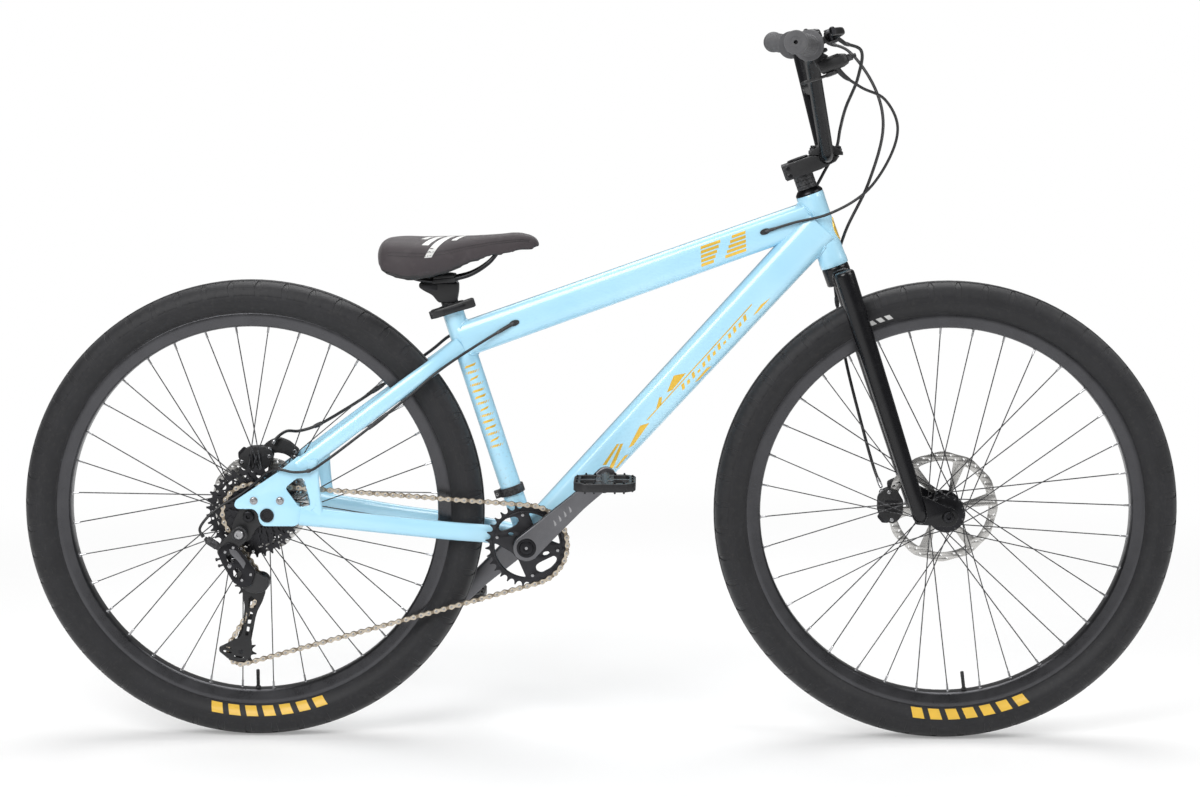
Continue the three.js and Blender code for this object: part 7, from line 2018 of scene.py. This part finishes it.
for end in ("rear", "front"):
    part = Piece(end + "_caliper_body", "frame" if end == "rear" else "steering", "satin_black")
    if end == "rear":
        angle, reach, y = math.pi / 2 + 0.06, 73.7, 52
        basis = frameMatrix(rearAxle, (1, 0, 0), (0, 1, 0), (0, 0, 1))
        foot, low, high = [(2, 87), (8, 96), (19, 103), (33, 106), (48, 100), (64, 86), (58, 68.4),
                           (49, 75), (40, 80), (28, 82), (20, 80), (12, 76.4)], 57.6, 73
    else:
        angle, reach, y = math.pi - 0.37, 83.7, 40
        basis = frameMatrix(frontAxle, steerAhead, acrossAxis, steerUp)
        foot, low, high = [(-73.6, 52.4), (-70, 67.6), (-56, 69), (-42, 65), (-36.4, 61.6), (-36.4, 46.4),
                           (-46, 52), (-55, 50), (-60, 42), (-58, 30), (-65.4, 34.4)], 42.4, 51.6
    centre = basis @ Vector((reach * math.cos(angle), y, reach * math.sin(angle)))
    spin = basis.to_3x3()
    outWay = (spin @ Vector((math.cos(angle), 0, math.sin(angle)))).normalized()
    along = (spin @ Vector((math.sin(angle), 0, -math.cos(angle)))).normalized()
    place = frameMatrix(centre, along, outWay, along.cross(outWay))
    caliperShapes(part, place)
    part.add(moved(plate([rounded(foot, 4)], low, high, 1.4, 2), basis), matteBlack)
    for x, z in (((57, 84), (57, 74)) if end == "rear" else ((-41, 60), (-41, 52))):
        part.add(moved(boltHead((x, high - 0.4, z), (0, 1, 0), 3.4, 1.8, 20), basis), boltSteel)
        part.add(moved(boltHead((x, low + 0.4, z), (0, -1, 0), 3.4, 1.2, 20), basis), boltSteel)
    part.done(end + "_brake_caliper")
print("calipers made")

# Hoses and shift housings, in five runs, with their ferrules, grommets and clips
cords = {"hose": 2.5, "housing": 2.2, "steps": 8, "sides": 14}
routes = {
    "shift_housing_loop": ([
        (372, -212, 1062), (398, -195, 1046), (436, -150, 1028), (461, -98, 984), (452, -62, 935),
        (417, -42, 881), (362, -32, 847), (306, -24, 832), (262, -20.8, 818)], "housing"),
    "rear_hose_loop": ([
        (372, -187, 1112), (398, -165, 1102), (398, -120, 1062), (384, -50, 1012), (380, 10, 978),
        (376, 46, 944), (358, 48, 909), (341, 40, 880), (306, 27, 840), (262, 21.2, 818)], "hose"),
    "front_brake_hose": ([
        (372, 187, 1112), (402, 172, 1100), (444, 138, 1040), (456, 110, 980), (430, 66, 890),
        (392, 46, 812), (379, 83.3, 745), (384, 86, 690), (397, 76.6, 607), (424, 68, 500),
        (444, 60, 430), (455, 43, 400.5)], "hose"),
    "rear_shift_housing": ([
        (-134, -21.5, 673), (-188, -29, 641), (-255, -49, 597), (-296, -56, 562), (-372, -63, 502),
        (-433, -79, 457), (-452, -87, 446), (-478, -88, 443), (-504, -85, 447), (-522, -74, 440.6),
        (-542, -65.6, 422), (-568, -64.8, 402), (-598, -67, 385), (-622, -76, 364), (-630, -80, 349),
        (-624, -80.9, 337.4)], "housing"),
    "rear_brake_hose": ([
        (-134, 21.8, 671), (-180, 27, 665), (-215, 30, 657), (-242, 38, 645), (-268, 44, 624),
        (-342, 56, 570), (-412, 69, 523), (-466, 79, 492), (-492, 76, 485), (-509, 60, 487),
        (-522, 51, 479), (-531, 49, 468.1)], "hose"),
}


def sleeve(path, fromShare, toShare, grow):  # a ferrule or clip round a stretch of the run
    first, last = int(fromShare * (len(path) - 1)), int(toShare * (len(path) - 1))
    stretch = path[first:last + 1]
    return tube(stretch, [grow * (0.86 if i in (0, len(stretch) - 1) else 1) for i in range(len(stretch))],
                16)


for name, (points, kind) in routes.items():
    loop = name.endswith("_loop")
    body = None if loop else "steering" if name.startswith("front") else "frame"
    path = smoothPath(points, cords["steps"])
    radius = cords[kind]
    run = Piece(name + "_line", body, "black_plastic")
    run.add(tube(path, radius, cords["sides"]), hoseBlack)
    run.add(sleeve(path, 0.0, 0.035, radius + 0.9), plasticBlack)
    run.add(sleeve(path, 0.965, 1.0, radius + (0.9 if "loop" not in name else 0.5)),
            plasticBlack if kind == "housing" else boltSteel)
    for share in {"front_brake_hose": (0.62, 0.68), "rear_shift_housing": (0.24, 0.40),
                  "rear_brake_hose": (0.47, 0.62)}.get(name, ()):
        run.add(sleeve(path, share, share + 0.022, radius + 1.3), plasticBlack)
    made = run.done(name)
    if loop:
        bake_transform(made)
grommets = Piece("hose_grommets", "frame", "black_plastic")
for x, z, side in ((262, 818, -1), (262, 818, 1), (-134, 672.4, -1), (-134, 671, 1)):
    hit = solidTree(topSkin).ray_cast(Vector((x, side * 90, z)), Vector((0, -side, 0)))
    face = frameMatrix(hit[0] - hit[1] * 0.4, topAlong, topAlong.cross(hit[1]), hit[1])
    ring, hole = ([(wide * math.cos(a), tall * math.sin(a)) for a in ringAngles(32)]
                  for wide, tall in ((8.5, 4.6), (5.2, 2.7)))
    grommets.add(moved(flatShape([ring], 2.4, 0.7), face), plasticBlack)
    grommets.add(moved(flatShape([ring, hole], 3.2, 0.5), face), plasticBlack)
grommets.done()
print("hoses made")

# Plain geometric stripes printed on the tubes and tyres
prints = {"lift": 0.14, "castFrom": 120, "flattest": 0.12, "tyreFrom": 320, "tyreTo": 335}
bars = [[(6, 446), (12, 446.5), (33, 480.6), (28.7, 480)],
        [(16, 440.5), (23, 441.5), (39, 480.9), (34.5, 480.4)],
        [(47, 473.5), (55, 478), (80.4, 514.1), (65.7, 509.8)],
        [(91, 537), (99.3, 544), (100.4, 556), (96.1, 555)],
        [(108, 563), (117, 567), (138.1, 594), (119, 590)],
        [(76.2, 519.4), (77.6, 518.4), (242.4, 703.1), (241, 704.1)],
        [(244, 686), (250, 690), (271, 714), (256, 703)], [(152, 579), (158, 582), (179, 605), (171, 602)],
        [(25.5, 440), (30, 441.5), (47.7, 463), (41, 461)]]
for i in range(13):  # a row of short slanted bars under the long line
    x, z = lerp(133, 230, i / 12), lerp(566, 675, i / 12)
    tall = (9, 6, 9, 4, 7)[i % 5]
    bars.append([(x, z), (x + 4, z + 4.4), (x + 4 - tall * 0.25, z + 4.4 + tall),
                 (x - tall * 0.25, z + tall)])
topUp = Vector((-topAlong.z, 0, topAlong.x))
topBars = []
for group, fromA, toA in ((0, -37, -4), (1, 3, 38)):
    for row in range(5):
        low = -16 + row * 6.6
        cut = (4 - row) * 3 if group == 0 else row * 3
        ends = [(fromA + (0 if group == 0 else cut) + low * 0.3, low),
                (toA - (cut if group == 0 else 0) + low * 0.3, low)]
        corners = ends + [(ends[1][0] + 1.4, low + 4.6), (ends[0][0] + 1.4, low + 4.6)]
        topBars.append([(196 + a * topAlong.x + b * topUp.x, 791 + a * topAlong.z + b * topUp.z)
                        for a, b in corners])
seatBars = []
for i in range(14):
    x, z = lerp(-204.5, -163, i / 13), lerp(603, 475, i / 13)
    reach = (9, 11, 7, 11, 10)[i % 5]
    seatBars.append([(x - reach, z - 4.5), (x + reach - 2, z + 1.5), (x + reach, z + 6), (x - reach + 2, z)])


def printed(part, tree, corners, side, finish, steps=(10, 5)):  # a patch laid on a surface from the side
    rows = []
    for i in range(steps[0] + 1):
        for j in range(steps[1] + 1):
            a = lerp(Vector(corners[0]), Vector(corners[3]), i / steps[0])
            b = lerp(Vector(corners[1]), Vector(corners[2]), i / steps[0])
            spot = lerp(a, b, j / steps[1])
            hit = tree.ray_cast(Vector((spot[0], side * prints["castFrom"], spot[1])), Vector((0, -side, 0)))
            if hit[0] is None or abs(hit[1].y) < prints["flattest"]:
                return
            rows.append(hit[0] + hit[1] * math.copysign(prints["lift"], hit[1].y * side))
    wide = steps[1] + 1
    faces = [(i * wide + j, i * wide + j + 1, (i + 1) * wide + j + 1, (i + 1) * wide + j)
             for i in range(steps[0]) for j in range(steps[1])]
    normal = (rows[1] - rows[0]).cross(rows[wide] - rows[0])
    part.add((rows, faces if normal.y * side > 0 else [tuple(reversed(f)) for f in faces]), finish)


marks = Piece("frame_stripes", "frame", "frame_blue")
for shape, group in ((topSkin, topBars), (downSkin, bars), (seatSkin, seatBars)):
    tree = solidTree(shape)
    for corners in group:
        for side in (-1, 1):
            printed(marks, tree, corners, side, goldPrint)
headTree = solidTree(headSkin)
rings = []
for reach, proud in ((0.02, 0.9), (0.3, 0.9), (0.6, 0.9), (0.82, 0.9), (0.88, 1.5), (0.95, 1.5),
                     (1.0, -0.2)):
    for a in ringAngles(40):  # a plain oval plate on the front of the head tube
        out, up = 12.5 * reach * math.cos(a), 55 + 19 * reach * math.sin(a)
        start = headBottom + steerAhead * 60 + Vector((0, out, 0)) + steerUp * up
        hit = headTree.ray_cast(start, -steerAhead)
        outward = hit[1] * math.copysign(1, hit[1].dot(steerAhead))
        rings.append(hit[0] + outward * proud)
plateFaces = [(r * 40 + k, r * 40 + (k + 1) % 40, (r + 1) * 40 + (k + 1) % 40, (r + 1) * 40 + k)
              for r in range(6) for k in range(40)]
marks.add((rings, [tuple(reversed(f)) for f in plateFaces] + [tuple(range(40))]), goldPrint)
marks.done()
for end, centre in (("rear", rearAxle), ("front", frontAxle)):
    tree = solidTree(spun(tyreProfile(), centre, (0, 1, 0), 240))
    part = Piece(end + "_tyre_stripes", end + "_wheel", "tyre_rubber")
    groups = [(yellowPrint, (-101.6 if end == "rear" else -97.6) + 4.9 * i, 1.6, 1.0) for i in range(7)]
    if end == "front":
        groups += [(whitePrint, 106.5 + 2.4 * i, 0.75, 0.55) for i in range(4)]
    for finish, degrees, half, share in groups:
        for side in (-1, 1):
            corners = []
            for reach, turn in ((0, -half), (0, half), (1, half + 0.9), (1, -half + 0.9)):
                a = math.radians(degrees + turn)
                radius = lerp(prints["tyreFrom"], prints["tyreTo"], 0.5 + (reach - 0.5) * share)
                corners.append(polar(radius, a, centre))
            printed(part, tree, corners, side, finish, steps=(6, 5))
    part.done()
print("stripes made")

# Stage: pale floor that fades to white with distance, and soft studio light
studio = {"floorTone": (0.93, 0.93, 0.93), "floorSize": 30, "nearShade": 0.72, "fadeFrom": 1.1,
          "fadeTo": 2.6, "worldStrength": 0.2, "key": ((-1.7, -3.2, 3.0), 2.4, 140),
          "fill": ((3.4, -1.6, 3.2), 2.2, 75), "top": ((0, 1.2, 3.6), 3.0, 105)}


def stageFinish():  # seen by the camera it turns white far away; it lights the bike as plain pale paper
    g = Graph("floor_pale")
    grain = g.noise(220, 3)
    g.set(BaseColor=g.mix(grain, (0.9, 0.9, 0.9), studio["floorTone"]), Roughness=(grain - 0.5) * 0.1 + 0.75)
    x, y, _ = g.axes(g.place())
    far = (x * x + y * y).power(0.5).between(studio["fadeFrom"], studio["fadeTo"])
    seen = g.node("LightPath", output="Is Camera Ray")
    share = seen * (far * studio["nearShade"] + (1 - studio["nearShade"]))
    glow = g.tree.nodes.new("ShaderNodeEmission")
    glow.inputs["Color"].default_value = (1, 1, 1, 1)
    blend = g.tree.nodes.new("ShaderNodeMixShader")
    out = g.tree.nodes["Material Output"]
    g.tree.links.new(share.socket, blend.inputs[0])
    g.tree.links.new(g.tree.nodes["Principled BSDF"].outputs[0], blend.inputs[1])
    g.tree.links.new(glow.outputs[0], blend.inputs[2])
    g.tree.links.new(blend.outputs[0], out.inputs["Surface"])
    return g.material


floorMesh = bpy.data.meshes.new("floor")
half = studio["floorSize"] / 2
floorMesh.from_pydata([(-half, -half, 0), (half, -half, 0), (half, half, 0), (-half, half, 0)], [],
                      [(0, 1, 2, 3)])
floorMesh.materials.append(stageFinish())
linked("floor", floorMesh)

world = bpy.data.worlds.new("studio")
bpy.context.scene.world = world
world.use_nodes = True
tree = world.node_tree
tree.nodes.clear()
path = tree.nodes.new("ShaderNodeLightPath")
soft, white, choose = (tree.nodes.new(kind)
                       for kind in ("ShaderNodeBackground", "ShaderNodeBackground", "ShaderNodeMixShader"))
soft.inputs["Color"].default_value = (1, 1, 1, 1)
soft.inputs["Strength"].default_value = studio["worldStrength"]
white.inputs["Color"].default_value = (1, 1, 1, 1)
out = tree.nodes.new("ShaderNodeOutputWorld")
tree.links.new(path.outputs["Is Camera Ray"], choose.inputs[0])
tree.links.new(soft.outputs[0], choose.inputs[1])
tree.links.new(white.outputs[0], choose.inputs[2])
tree.links.new(choose.outputs[0], out.inputs["Surface"])

for name in ("key", "fill", "top"):
    place, size, power = studio[name]
    lampData = bpy.data.lights.new(name, "AREA")
    lampData.energy = power
    lampData.size = size
    lamp = linked(name, lampData)
    lamp.location = place
    lamp.rotation_euler = (Vector((0, 0, 0.5)) - Vector(place)).to_track_quat("-Z", "Y").to_euler()
